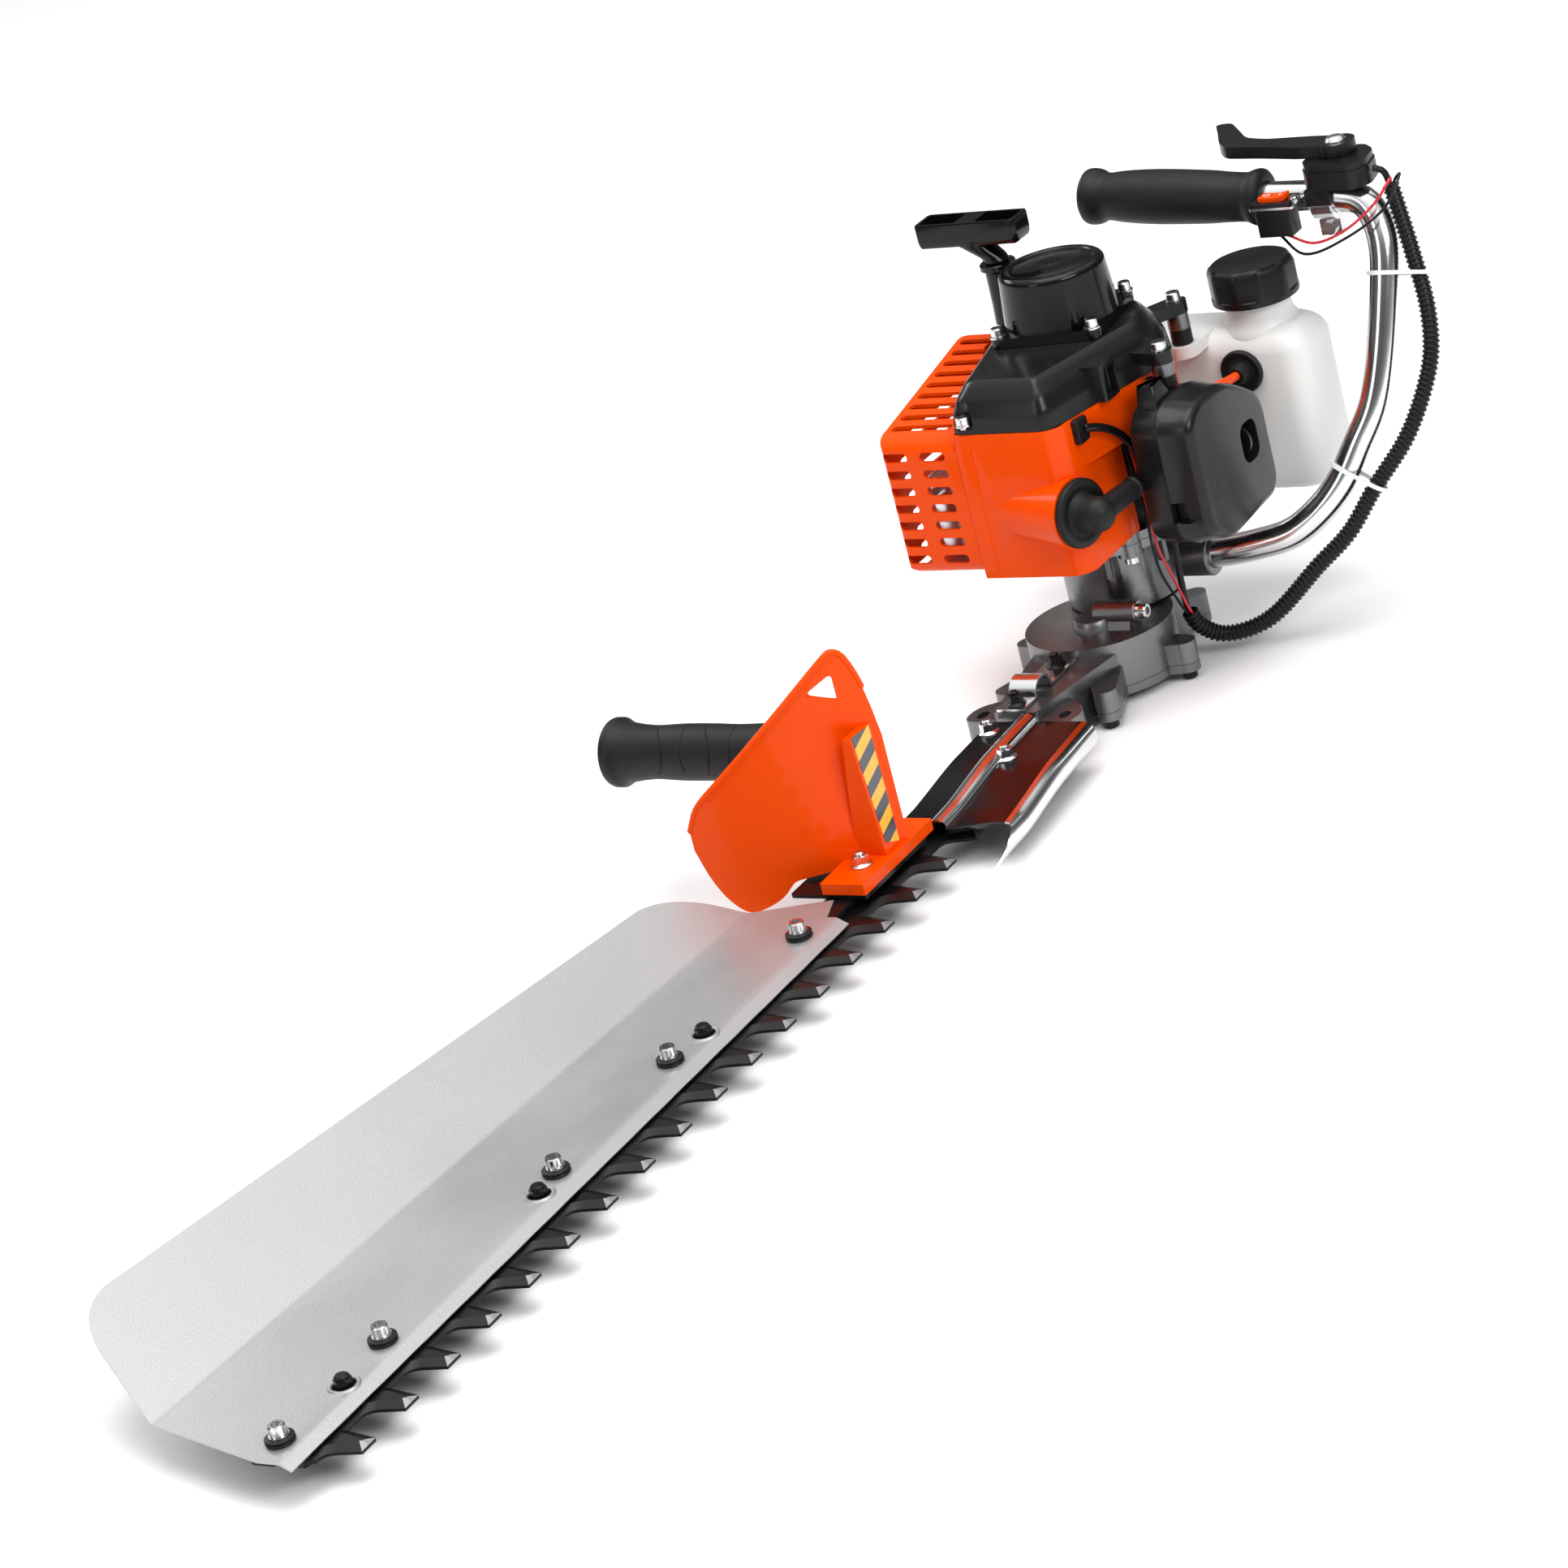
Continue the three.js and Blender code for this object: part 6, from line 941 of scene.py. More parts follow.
class TrimmerDeflectorScrews(bpy.types.Operator):
    """Make the five deflector screws with their washers and rubber grommets"""
    bl_idname = "trimmer.deflector_screws"
    bl_label = "Deflector screws"

    def execute(self, context):
        seat = SHEET_TOP + 0.3
        screw = socket_screw_form(washer=5.1, depth=8)
        piece("deflector_screws_plated",
              repeated(screw, [(x, y, seat + 3) for x, y in DEFLECTOR_SCREWS]), "bright plated steel",
              [f"deflector_screw_{i}" for i in range(1, 6)], angle=28)
        profile = [(BOLT_HOLE, 0), (6.6, 0), (7.1, 0.3), (7.2, 0.8), (6.9, 1.3), (6.3, 1.5), (6.9, 1.7),
                   (7.2, 2.2), (7.0, 2.7), (6.5, 3), (BOLT_HOLE, 3)]
        grommets = repeated(lathe(profile, 48, True), [(x, y, seat) for x, y in DEFLECTOR_SCREWS],
                            "black rubber")
        piece("deflector_grommets", grommets, "black rubber")
        return {"FINISHED"}


# Hand guard and front handle

GUARD_TOP = [(0, 0.6), (0.03, 0.8), (0.08, 0.95), (0.13, 1), (0.19, 0.985), (0.5, 0.79),
             (0.85, 0.545), (0.95, 0.46), (1, 0.37)]
GUARD_LOW = [(0, 0.107), (0.56, 0.107), (0.64, 0.05), (0.73, 0.012), (0.82, 0.0), (0.9, 0.06),
             (0.96, 0.16), (1, 0.28)]


def guard_point(share, rise, offset):
    """A point on the guard's face, at a share of its run and of its height there."""
    a, b, c = Vector((299, 13.5)), Vector((346, -20)), Vector((350, -85))
    at = a * (1 - share) ** 2 + b * 2 * share * (1 - share) + c * share ** 2
    run = ((b - a) * (1 - share) + (c - b) * share).normalized()
    low, high = eased(GUARD_LOW, share), eased(GUARD_TOP, share)
    foot, tall = -4, 135
    return Vector((at.x - run.y * offset, at.y + run.x * offset,
                   foot + tall * (low + (high - low) * rise)))


class TrimmerHandGuard(bpy.types.Operator):
    """Make the hand guard with its base, wedge and striped tape"""
    bl_idname = "trimmer.hand_guard"
    bl_label = "Hand guard"

    def execute(self, context):
        base_low, base_top = 9.65, 15.95
        shares = [i / 56 for i in range(57)]
        rises = [0, 0.1, 0.25, 0.5, 0.75, 0.9, 1]
        faces = [[[guard_point(s, r, offset) for r in rises] for s in shares] for offset in (1.3, -1.3)]
        shell = sheet(*faces)
        base = prism(rounded(rectangle(276, 353, -11, 16), 1.2, 3), base_low, base_top)
        wedge = stack([(rectangle(302, 319, -8, 12), base_low), (rectangle(304, 326, 7, 12), 86)])
        hole = rounded([(-10.5, 111), (2.5, 103), (2.5, 119)], 3, 6)
        window = along_x(hole, 287, 346)
        bolts = [disc(BOLT_HOLE, base_low - 6, base_top + 0.3, 32, x, y) for x, y in GUARD_BOLTS]
        pockets = [disc(6.6, base_top, base_top + 10, 48, x, y) for x, y in GUARD_BOLTS]
        form = cut(join(shell, base, wedge), window, *bolts, *pockets)
        piece("guard_moulding", form, "orange moulding", ["hand_guard"], edge=0.7, segments=3, angle=40)
        rim = [guard_point(s, 1, 0.6) - Vector((0, 0, 1.2)) for s in shares[2:]]
        piece("guard_rim", sweep(rim, 1.7, 12, 0.6), "orange moulding")
        bead = [guard_point(s, 1, 1.1) - Vector((0, 0, 5.2)) for s in shares[8:50]]
        piece("guard_bead", sweep(bead, 0.7, 10, 0.6), "orange moulding")
        tape = [(17.4, 304.9), (85.5, 306.3), (86.5, 324.4), (22.5, 317.6)]
        piece("guard_tape", along_y(tape, 11.95, 12.25), "striped tape")
        return {"FINISHED"}


class TrimmerFrontHandle(bpy.types.Operator):
    """Make the front grip, its bracket and the two guard bolts"""
    bl_idname = "trimmer.front_handle"
    bl_label = "Front handle"

    def execute(self, context):
        plate = prism(rounded(rectangle(284, 353, -31, 16), 2.5, 4), SHEET_LOW, SHEET_LOW + 2)
        holes = [disc(BOLT_HOLE, SHEET_LOW - 3, SHEET_LOW + 6, 32, x, y) for x, y in GUARD_BOLTS]
        grip_x, grip_z = 300, 67
        route = [(-20, SHEET_LOW + 0.5), (-20, 49.5), (-25.3, 61.7), (-37.5, grip_z), (-45, grip_z),
                 (-62.5, grip_z), (-150, grip_z)]
        route = [(grip_x, y, z) for y, z in route]
        form = join(cut(plate, *holes), sweep(smooth_path(route, 3), 7, 32))
        piece("bracket_steel", form, "black blade coat", ["front_handle_bracket"], edge=0.3)
        near, run, full = -45, 105, 0.89
        shares = [(0, 0.93), (0.05, 1), (0.3, 0.97), (0.45, 1), (0.62, 1), (0.8, 0.95), (full, 0.99)]
        body = [(15.5 * eased(shares, full * k / 40), near - run * full * k / 40) for k in range(41)]
        profile = [(7.3, near), (13.4, near), *body[1:], (15.6, -140), (16.4, -146), (18.4, -150.2),
                   (19.2, -151.4), (19.2, -155), (18.6, -156.4), (17.2, -157), (11, -156.6), (0, -156.6),
                   (0, -150.3), (7.3, -150.3)]
        grip = lathe_y(profile, grip_x, grip_z, 64, True)

        def ridge(steps, turn, radius, thick, place):
            """A raised line on the grip, which turns round it while its place along it changes."""
            line = []
            for k in range(steps + 1):
                t = k / steps
                angle, y = math.radians(100 - turn * t), place(t)
                wide = radius * eased(shares, (near - y) / run)
                line.append(Vector((wide * math.cos(angle), y, wide * math.sin(angle))))
            return sweep(line, thick, 8, 0.6)
        relief = []
        for start in (-128, -97):
            relief.append(ridge(30, 125, 15.55, 0.55,
                                lambda t: start + 17 * math.sin(math.pi * t * 0.62) - 10 * t))
            relief.append(ridge(20, 118, 15.45, 0.4, lambda t: start + 21 + 2 * t))
        piece("front_grip_rubber", grip, "black rubber", ["front_grip"], angle=40)
        piece("front_grip_relief", moved(together(*relief), grip_x, 0, grip_z), "black rubber")
        nuts = repeated(flange_nut_form(), [(x, y, 16.25) for x, y in GUARD_BOLTS])
        heads = repeated(bolt_form(20), [(x, y, -BAR_LOW) for x, y in GUARD_BOLTS])
        piece("guard_bolts_plated", together(nuts, heads), "bright plated steel",
              ["guard_bolt_1", "guard_bolt_2"], angle=28)
        return {"FINISHED"}


# Gear case, its cover, the strap and the root cover

def case_plan(low, high, neck_high, lug_high):
    """The plan of the gear case between two heights, with its neck and its bolt lugs."""
    taper_x, taper_y = CASE_X + CASE_R * 0.75, CASE_R * 0.62
    neck = rounded([(CASE_X, -CASE_R * 0.9), (taper_x, -taper_y), (138, -15), (147, -15), (147, 14),
                    (138, 14), (taper_x, taper_y), (CASE_X, CASE_R * 0.9)], 4.5, 5)
    parts = [disc(33, low, high, 96), prism(neck, low, neck_high)]
    for x, y in CASE_LUGS:
        centre = Vector((CASE_X if x > 0 else 0, 0))
        run = Vector((x, y)) - centre
        side = Vector((-run.y, run.x)).normalized() * 7
        inner = centre + run * 0.6
        end = Vector((x, y))
        web = [inner - side * 1.5, end - side, end + side, inner + side * 1.5]
        parts += [disc(7, low, lug_high, 40, x, y), prism([tuple(p) for p in web], low, lug_high)]
    return join(disc(CASE_R, low, high, 128, CASE_X), *parts)


class TrimmerGearCase(bpy.types.Operator):
    """Make the gear case, its cover, its bolts and the clamp barrel"""
    bl_idname = "trimmer.gear_case"
    bl_label = "Gear case"

    def execute(self, context):
        body = case_plan(CASE_SPLIT, CASE_TOP, 16, 8)
        ears = []
        for side in (-1, 1):
            near, far = side * 11.2, side * 35
            outline = rounded([(111, near), (147, near), (147, far), (129, far)], 8.1, 8)
            ears.append(prism(outline, CASE_SPLIT, 10.5))
        boss = moved(lathe([(0, 20.2), (12.5, 20.2), (11.9, 24), (11, 28.4), (10.4, 29), (0, 29)], 64),
                     47.8, 3)
        barrel_x, barrel_z = 46, 31
        barrel = lathe_y([(0, 6), (6.5, 6), (6.5, 31.6), (6.1, 32), (0, 32)], barrel_x, barrel_z, 48)
        foot = block(42.1, 49.9, 6, 30, 20.2, 31)
        brace = along_y([(20.5, 38.5), (20.5, 53.5), (28.5, 49.9), (28.5, 42.1)], 14, 28)
        cavity = disc(39.5, -11, 18.5, 96, CASE_X)
        tools = [cavity, disc(10.6, -11, 18.5, 48), disc(5.3, 0, 28, 32), disc(6.3, 0, 20.5, 32, CASE_X),
                 block(CASE_X, 153, -10.2, 9.6, -11, SHEET_LOW)]
        tools += [prism(slot_outline(138, side * 26, 1.5, 3), -11, 17) for side in (-1, 1)]
        form = cut(join(body, *ears, boss, barrel, foot, brace), *tools)
        piece("gear_case_casting", form, "cast aluminium", ["gear_case"], edge=0.6, angle=35)
        top = CASE_SPLIT - 0.3
        dish = moved(lathe([(0, CASE_LOW + 0.3), (34.4, CASE_LOW + 0.3), (30.1, -12.4), (0, -12.4)], 96),
                     CASE_X)
        cover = join(case_plan(CASE_LOW, top, top, top), dish)
        piece("case_cover_casting", cover, "cast aluminium", ["gear_case_cover"], edge=0.6, angle=35)
        heads = repeated(hanging_head_form(), [(x, y, CASE_LOW + 0.1) for x, y in CASE_LUGS],
                         "black blade coat")
        piece("case_bolts_black", heads, "black blade coat", angle=28)
        bolt = changed(moved(socket_screw_form(washer=6, depth=3), 0, 0, 32), ALONG_Y)
        piece("clamp_bolt_plated", moved(bolt, barrel_x, 0, barrel_z), "bright plated steel", angle=28)
        return {"FINISHED"}


class TrimmerStrap(bpy.types.Operator):
    """Make the saddle strap with its nuts"""
    bl_idname = "trimmer.strap"
    bl_label = "Saddle strap"

    def execute(self, context):
        seat, hump_x, hump_r = 16.3, 121, 9

        def line(offset):
            """A line along the strap, over its hump, at an offset above its underside."""
            hump = [(x, max(z, seat + offset))
                    for x, z in arc(hump_x, seat, hump_r + offset, math.pi, 0, 24)]
            return [(80.2, seat + offset), *hump, (147, seat + offset)]
        outline = [(z, x) for x, z in line(1.6) + line(0)[::-1]]
        piece("strap_polished", along_y(outline, -11, 6), "polished steel", ["saddle_strap"], edge=0.5,
              segments=3, angle=40)
        nuts = repeated(flange_nut_form(), [(x, -2.5, seat + 1.5) for x in (89, 139)],
                        "black blade coat")
        piece("strap_nuts_black", nuts, "black blade coat", angle=28)
        return {"FINISHED"}


class TrimmerRootCover(bpy.types.Operator):
    """Make the polished root cover with its rib, rolled edge and nuts"""
    bl_idname = "trimmer.root_cover"
    bl_label = "Root cover"

    def execute(self, context):
        start, run, step, front_from = 150, 123, 3.65, 0.82

        def row(share, offset):
            """A line across the cover at a share of its length: its rib, its flat, its rolled edge."""
            x = start + run * share
            drop = eased([(0, 0), (0.4, 0), (front_from, 1), (1, 1)], share)
            z = SHEET_LOW + min(max(step * (1 - drop), 0), step)
            front = max(0, (share - front_from) / 0.18)
            rib_y, roll_y = 9 + 7 * share, 43 + 10 * share
            rib, roll, back = 5 + offset, 7 + offset, -8 * front
            points = [Vector((x, -15 + 5 * share, z + offset))]
            for i in range(17):
                angle = math.pi * (1 - i / 16)
                points.append(Vector((x, rib_y + rib * math.cos(angle), z + offset + 5 * math.sin(angle))))
            for k in range(1, 5):
                points.append(Vector((x + back * k / 4, rib_y + rib + (roll_y - rib_y - rib) * k / 5,
                                      z + offset)))
            for i in range(13):
                angle = math.pi / 2 * (1 - i / 12 * 1.5)
                pointed = back + 34 * front * max(0, i / 12 - 0.2)
                points.append(Vector((x + pointed, roll_y + roll * math.cos(angle),
                                      z - 7 + roll * math.sin(angle))))
            return points
        shares = [k / 40 for k in range(41)]
        form = sheet([row(s, 1) for s in shares], [row(s, 0) for s in shares])
        cover = piece("root_cover_polished", form, "dark polished sheet", ["root_cover"], angle=30,
                      more=("polished steel",))
        # The flat takes the darker finish, a painted dark reflection; the rib and the rolled edge keep the
        # bright polished steel
        for face in cover.data.polygons:
            x, y = face.center.x / MM, face.center.y / MM
            share = (x - start) / run
            face.material_index = int(abs(y - 9 - 7 * share) < 6.5 or y > 42 + 10 * share)
        piece("root_nuts_plated", repeated(flange_nut_form(), [(163, -9, 11.9), (195, 19, 11.9)]),
              "bright plated steel", angle=28)
        return {"FINISHED"}


# Clutch housing, crankcase and muffler

class TrimmerCastings(bpy.types.Operator):
    """Make the clutch housing and crankcase castings and the flange bolts"""
    bl_idname = "trimmer.castings"
    bl_label = "Engine castings"

    def execute(self, context):
        cup = lathe([(5.3, 22.3), (31.6, 22.3), (33.25, 24), (33.25, 58), (34.5, 60), (40, 60), (40, 65),
                     (30.25, 65), (30.25, 26.3), (5.3, 26.3)], 128, True)
        boss = lathe_y([(0, 16), (12.5, 16), (12.5, 49.2), (11.7, 50), (0, 50)], -21.6, 35.5)
        ribs = [turned(block(30, 38.5, -1.5, 1.5, 46, 60), math.radians(a))
                for a in (20, 75, 200, 250, 310)]
        pads = [disc(7.5, 57, 65, 40, x, y) for x, y in FLANGE_BOLTS]
        form = cut(join(cup, boss, *ribs, *pads), disc(30.25, 26.3, 71, 96), tube_room())
        piece("clutch_casting", form, "cast aluminium", ["clutch_housing"], edge=0.5, angle=35)
        heads = repeated(hanging_head_form(), [(x, y, 57.1) for x, y in FLANGE_BOLTS])
        piece("flange_bolts_plated", heads, "bright plated steel", angle=28)
        body = lathe([(6.3, 65.3), (40, 65.3), (40, 70.3), (31.5, 70.3), (30, 72.5), (30, 122),
                      (6.3, 122)], 96, True)
        pads = [disc(7.5, 65.3, 71.5, 40, x, y) for x, y in FLANGE_BOLTS]
        seat = block(12, 30.7, -22, 22, 85, 119)
        intake = block(8, 18, 12, 31.7, 98, 122)
        arm = block(-68.7, -20, -10, 10, 96, 104)
        cavity = disc(24, 90.5, 113.5, 96)
        form = cut(join(body, *pads, seat, intake, arm), cavity, disc(6.3, 60, 130, 32))
        piece("crankcase_casting", form, "cast aluminium", ["crankcase"], edge=0.5, angle=35)
        return {"FINISHED"}


class TrimmerMuffler(bpy.types.Operator):
    """Make the pressed muffler with its seam and outlet"""
    bl_idname = "trimmer.muffler"
    bl_label = "Muffler"

    def execute(self, context):
        plan = rectangle(20, 82, -66, -33)
        growths = [(84, -3), (84.8, -1.4), (87, 0), (104, 0), (105, 1.2), (109, 1.2), (110, 0), (127, 0),
                   (129.2, -1.4), (130, -3)]
        levels = [(rounded(grown(plan, growth), 9, 8), z) for z, growth in growths]
        outlet = rod((74, -60, 120), (90, -60, 120), 4)
        piece("muffler_pressing", join(stack(levels), outlet), "bright plated steel", ["muffler"],
              angle=32)
        return {"FINISHED"}


# Shroud, muffler guard and fan cover

def band_outline():
    """The shroud's band round the fan."""
    points = arc(0, 0, 56, math.radians(84), math.radians(268), 20)
    return [(95, -30), (95, 30), (84, 35), *points, (18, -48)]


class TrimmerShroud(bpy.types.Operator):
    """Make the engine shroud with the cone for the plug cap"""
    bl_idname = "trimmer.shroud"
    bl_label = "Engine shroud"

    def execute(self, context):
        width = context.scene.trimmer_sizes.edge_width / MM

        def plan(inset):
            """The engine's hood as seen from above, drawn in by an inset."""
            corner = arc(84, 25, 12 - inset, 0, math.pi / 2, 12)
            return [(32, -29), (96 - inset, -29), *corner, (32, 37 - inset)]
        box = prism(plan(0), 75, 161)
        band = prism(rounded(band_outline(), 3, 3), 132, 161)
        cone = rod(PLUG_START, PLUG_END, 14, 20.5, 96)
        seam = prism(rounded(rectangle(95.6, 96.5, -29, -20), 0.4, 3), 78, 160.8)
        room = join(prism(plan(2), 77, 167), block(26, 84, -35, 35, 77, 132))
        band_room = prism(rounded(grown(band_outline(), -2), 3, 3), 134, 167)
        run = (PLUG_END - PLUG_START).normalized()
        cone_room = rod(PLUG_START, PLUG_END, 12, 16.5, 64)
        mouth = rod(PLUG_END - run * 6, PLUG_END + run * 8, 16.5, 16.5, 64)
        form = cut(join(box, band, cone, seam), room, band_room, cone_room, mouth,
                   disc(48, 126, 138, 96))
        piece("shroud_moulding", form, "orange moulding", ["engine_shroud"], edge=width, segments=3,
              angle=38)
        return {"FINISHED"}


class TrimmerMufflerGuard(bpy.types.Operator):
    """Make the louvred muffler guard"""
    bl_idname = "trimmer.muffler_guard"
    bl_label = "Muffler guard"

    def execute(self, context):
        sizes = context.scene.trimmer_sizes
        width, high = sizes.edge_width / MM, sizes.slot_height / MM
        right = -29.3

        def side(inset):
            """The guard as seen from its side, drawn in by an inset."""
            low = arc(86, 87, 10 - inset, -math.pi / 2, 0, 8)
            corner = arc(84, 149, 12 - inset, 0, math.pi / 2, 12)
            return across_y([(-17 + inset, 77 + inset), *low, *corner, (-17 + inset, 178 - inset)])
        plan = rounded(rectangle(-17, 96, -79, right + 24), 6, 8)
        profile = along_x(rounded(rectangle(-79, 20, 77, 240), 12, 8), -30, 110)
        box = common(common(along_y(side(0), -79, right), prism(plan, 71, 184)), profile)
        room = along_y(side(2), -77, right + 6)
        slots = []
        for row in range(7):
            z = 149 - row * 10.3
            for y in (-70, -45.5):
                slots.append(along_x(slot_outline(y, z, (16.5 - high) / 2, high / 2), 90, 102))
            slots.append(along_y(across_y(slot_outline(39.5, z, 37.7, high / 2)), -85, -73))
        for row in range(9):
            x = 82 - row * 11.4
            outline = [(across, y) for y, across in slot_outline(-56, x, 17, high / 2)][::-1]
            slots.append(prism(outline, 155, 184))
        band = prism(grown(band_outline(), 0.3), 131.7, 190)
        form = cut(box, room, *slots, band, disc(30.6, 71, 122, 96))
        piece("muffler_guard_moulding", form, "orange moulding", ["muffler_guard"], edge=width,
              segments=3, angle=38)
        return {"FINISHED"}


class TrimmerFanCover(bpy.types.Operator):
    """Make the fan cover with its post lugs, cable cowl, posts and screws"""
    bl_idname = "trimmer.fan_cover"
    bl_label = "Fan cover"

    def execute(self, context):
        low, top, lug_low, lug_top, lug_r = 161.3, 188, 169, 176, 7
        shares = [(0, 0), (0.36, 0.09), (0.66, 0.35), (0.93, 0.78), (1, 1)]
        plan = band_outline()

        def form(wall, run):
            """The cover's dome, drawn in by a wall, with its foot let down by a run."""
            levels = []
            for k in range(17):
                rise = k / 16
                at = low - run if k == 0 else low + (top - low) * rise - wall
                levels.append((rounded(grown(plan, -13 * between(shares, rise) - wall), 8, 5), at))
            return stack(levels)
        lugs = []
        for x, y, _ in FAN_POSTS:
            reach = math.hypot(x, y)
            lug = rounded(rectangle(reach - 20, reach, -lug_r, lug_r), 1, 3)
            lugs.append(turned(prism(lug, lug_low, lug_top), math.atan2(y, x)))
            lugs.append(disc(lug_r, lug_low, lug_top, 48, x, y))
        cowl = prism(rounded(rectangle(38.5, 55.5, 34, 49), 2, 4), low, 182)
        cowl_room = prism(rounded(rectangle(41, 53, 44, 52), 1, 3), 163, 179)
        ledge_top = 166
        notch = disc(lug_r, ledge_top, 194, 48, NOTCH_X, NOTCH_Y)
        ledge = common(disc(lug_r, 163.5, ledge_top, 48, NOTCH_X, NOTCH_Y), form(0, 0))
        shell = cut(join(form(0, 0), cowl, *lugs), form(2.5, 6), notch, cowl_room,
                    disc(25, lug_top, 194, 96))
        piece("fan_cover_moulding", together(shell, ledge), "charcoal moulding", ["fan_cover"],
              edge=0.6, segments=3, angle=32)
        spacers, rubbers = [], []
        for x, y, seat in FAN_POSTS:
            middle = (seat + lug_low) / 2
            rubbers.append(moved(lathe([(0, seat), (5.6, seat), (6.2, seat + 0.6), (6.2, middle),
                                        (0, middle)], 48), x, y))
            spacers.append(disc(6.4, middle, lug_low, 48, x, y))
        piece("post_rubbers", together(*rubbers), "black rubber")
        piece("post_spacers", together(*spacers), "cast aluminium")
        places = [(x, y, lug_top) for x, y, _ in FAN_POSTS] + [(92.75, NOTCH_Y, ledge_top)]
        piece("fan_screws_plated", repeated(socket_screw_form(washer=4.9, height=4.4, depth=2), places),
              "bright plated steel", angle=28)
        return {"FINISHED"}


# Recoil starter

class TrimmerStarter(bpy.types.Operator):
    """Make the recoil starter with its screws, spout and rope"""
    bl_idname = "trimmer.starter"
    bl_label = "Recoil starter"

    def execute(self, context):
        low, top = 188.3, 225.0
        plate_top = low + 5.5
        turn = math.radians(7)
        plate = turned(prism(rounded(rectangle(-33, 33, -33, 33), 6.6, 8), low, plate_top), turn)
        edge = [(30.6 - 4 * (1 - math.cos(a)), top - 4 + 4 * math.sin(a)) for a in quarter(8)]
        cup = lathe([(0, low), (33, low), (33, plate_top), (32.6, plate_top + 2), *edge, (25, top),
                     (24.6, top - 0.5), (23.8, top - 0.8), (23.2, top - 0.5), (4, top - 0.5),
                     (2.4, top - 0.7), (1.4, top - 2.2), (0, top - 2.4)], 128)
        room = lathe([(0, low - 6), (30.8, low - 6), (30.8, plate_top), (28.4, 220.4), (0, 220.4)], 96)
        spout = lathe([(0, low), (8.8, low), (8.3, low + 12), (8.2, 219), (9.4, 220), (10.5, 220.6),
                       (10.5, 223.4), (9.9, 224), (0, 224)], 64)
        web = block(-16, -4, -39, -26, low, 216)
        bore = disc(4, low - 6, 230, 32, ROPE_X, ROPE_Y)
        angle = math.radians(42)
        flute = moved(lathe([(0, low + 2), (3.4, low + 2), (3.4, 214), (2.6, 217), (0, 218)], 40),
                      34.6 * math.cos(angle), 34.6 * math.sin(angle))
        form = cut(join(plate, cup, moved(spout, ROPE_X, ROPE_Y), web), room, bore, flute)
        piece("starter_moulding", join(form, disc(7.7, 190.7, 221, 48)), "black gloss moulding",
              ["starter_housing"], edge=0.5, segments=3, angle=35)
        reach, angles = 28.5 * math.sqrt(2), [math.pi * k / 4 + turn for k in (1, 3, 5, 7)]
        places = [(reach * math.cos(a), reach * math.sin(a), plate_top) for a in angles]
        screws = repeated(socket_screw_form(washer=4.6, radius=3.7, height=4.8), places)
        piece("starter_screws_plated", screws, "bright plated steel", angle=28)
        rope = sweep([Vector((ROPE_X, ROPE_Y, z)) for z in range(203, 229)], 1.75, 20)
        low_end, high_end = [(ROPE_X * MM, ROPE_Y * MM, (z + LIFT) * MM) for z in (219, 226)]
        piece("starter_cord", rope, "black rubber", ["starter_rope"],
              ("frame", "pull", low_end, high_end))
        return {"FINISHED"}


class TrimmerPullHandle(bpy.types.Operator):
    """Make the hollow pull handle"""
    bl_idname = "trimmer.pull_handle"
    bl_label = "Pull handle"

    def execute(self, context):
        plan = [(-20, -81.5), (-18, -83), (-2, -83), (0, -81.5), (0, -19.5), (-2, -18), (-18, -18),
                (-20, -19.5)]
        growths = [(-2.6, 236.4), (-1.3, 237), (-0.5, 238.6), (0, 241.4), (0, 250.2), (-0.4, 251)]
        body = stack([(rounded(grown(plan, growth), 2.4, 5), z) for growth, z in growths])
        rings = [(6.7, ROPE_Y, 224.3), (7.5, -39.8, 225.2), (7.4, -41, 228), (8.4, -46, 232),
                 (10, -50.5, 236.4), (10, -50.5, 250.4)]
        stem = stack([(circle(radius, 48, ROPE_X, y), z) for radius, y, z in rings])
        pockets = [prism(rounded(rectangle(-17.6, -2.4, y0, y1), 2, 4), 241, 257)
                   for y0, y1 in ((-80.6, -57), (-44, -20.4))]
        bore = disc(2.1, 218, 228.3, 32, ROPE_X, ROPE_Y)
        form = cut(join(body, stem), bore, *pockets)
        piece("pull_moulding", form, "black gloss moulding", ["starter_handle"], "pull",
              edge=0.5, angle=35)
        return {"FINISHED"}


# Plug cap, lead, carburettor and air filter

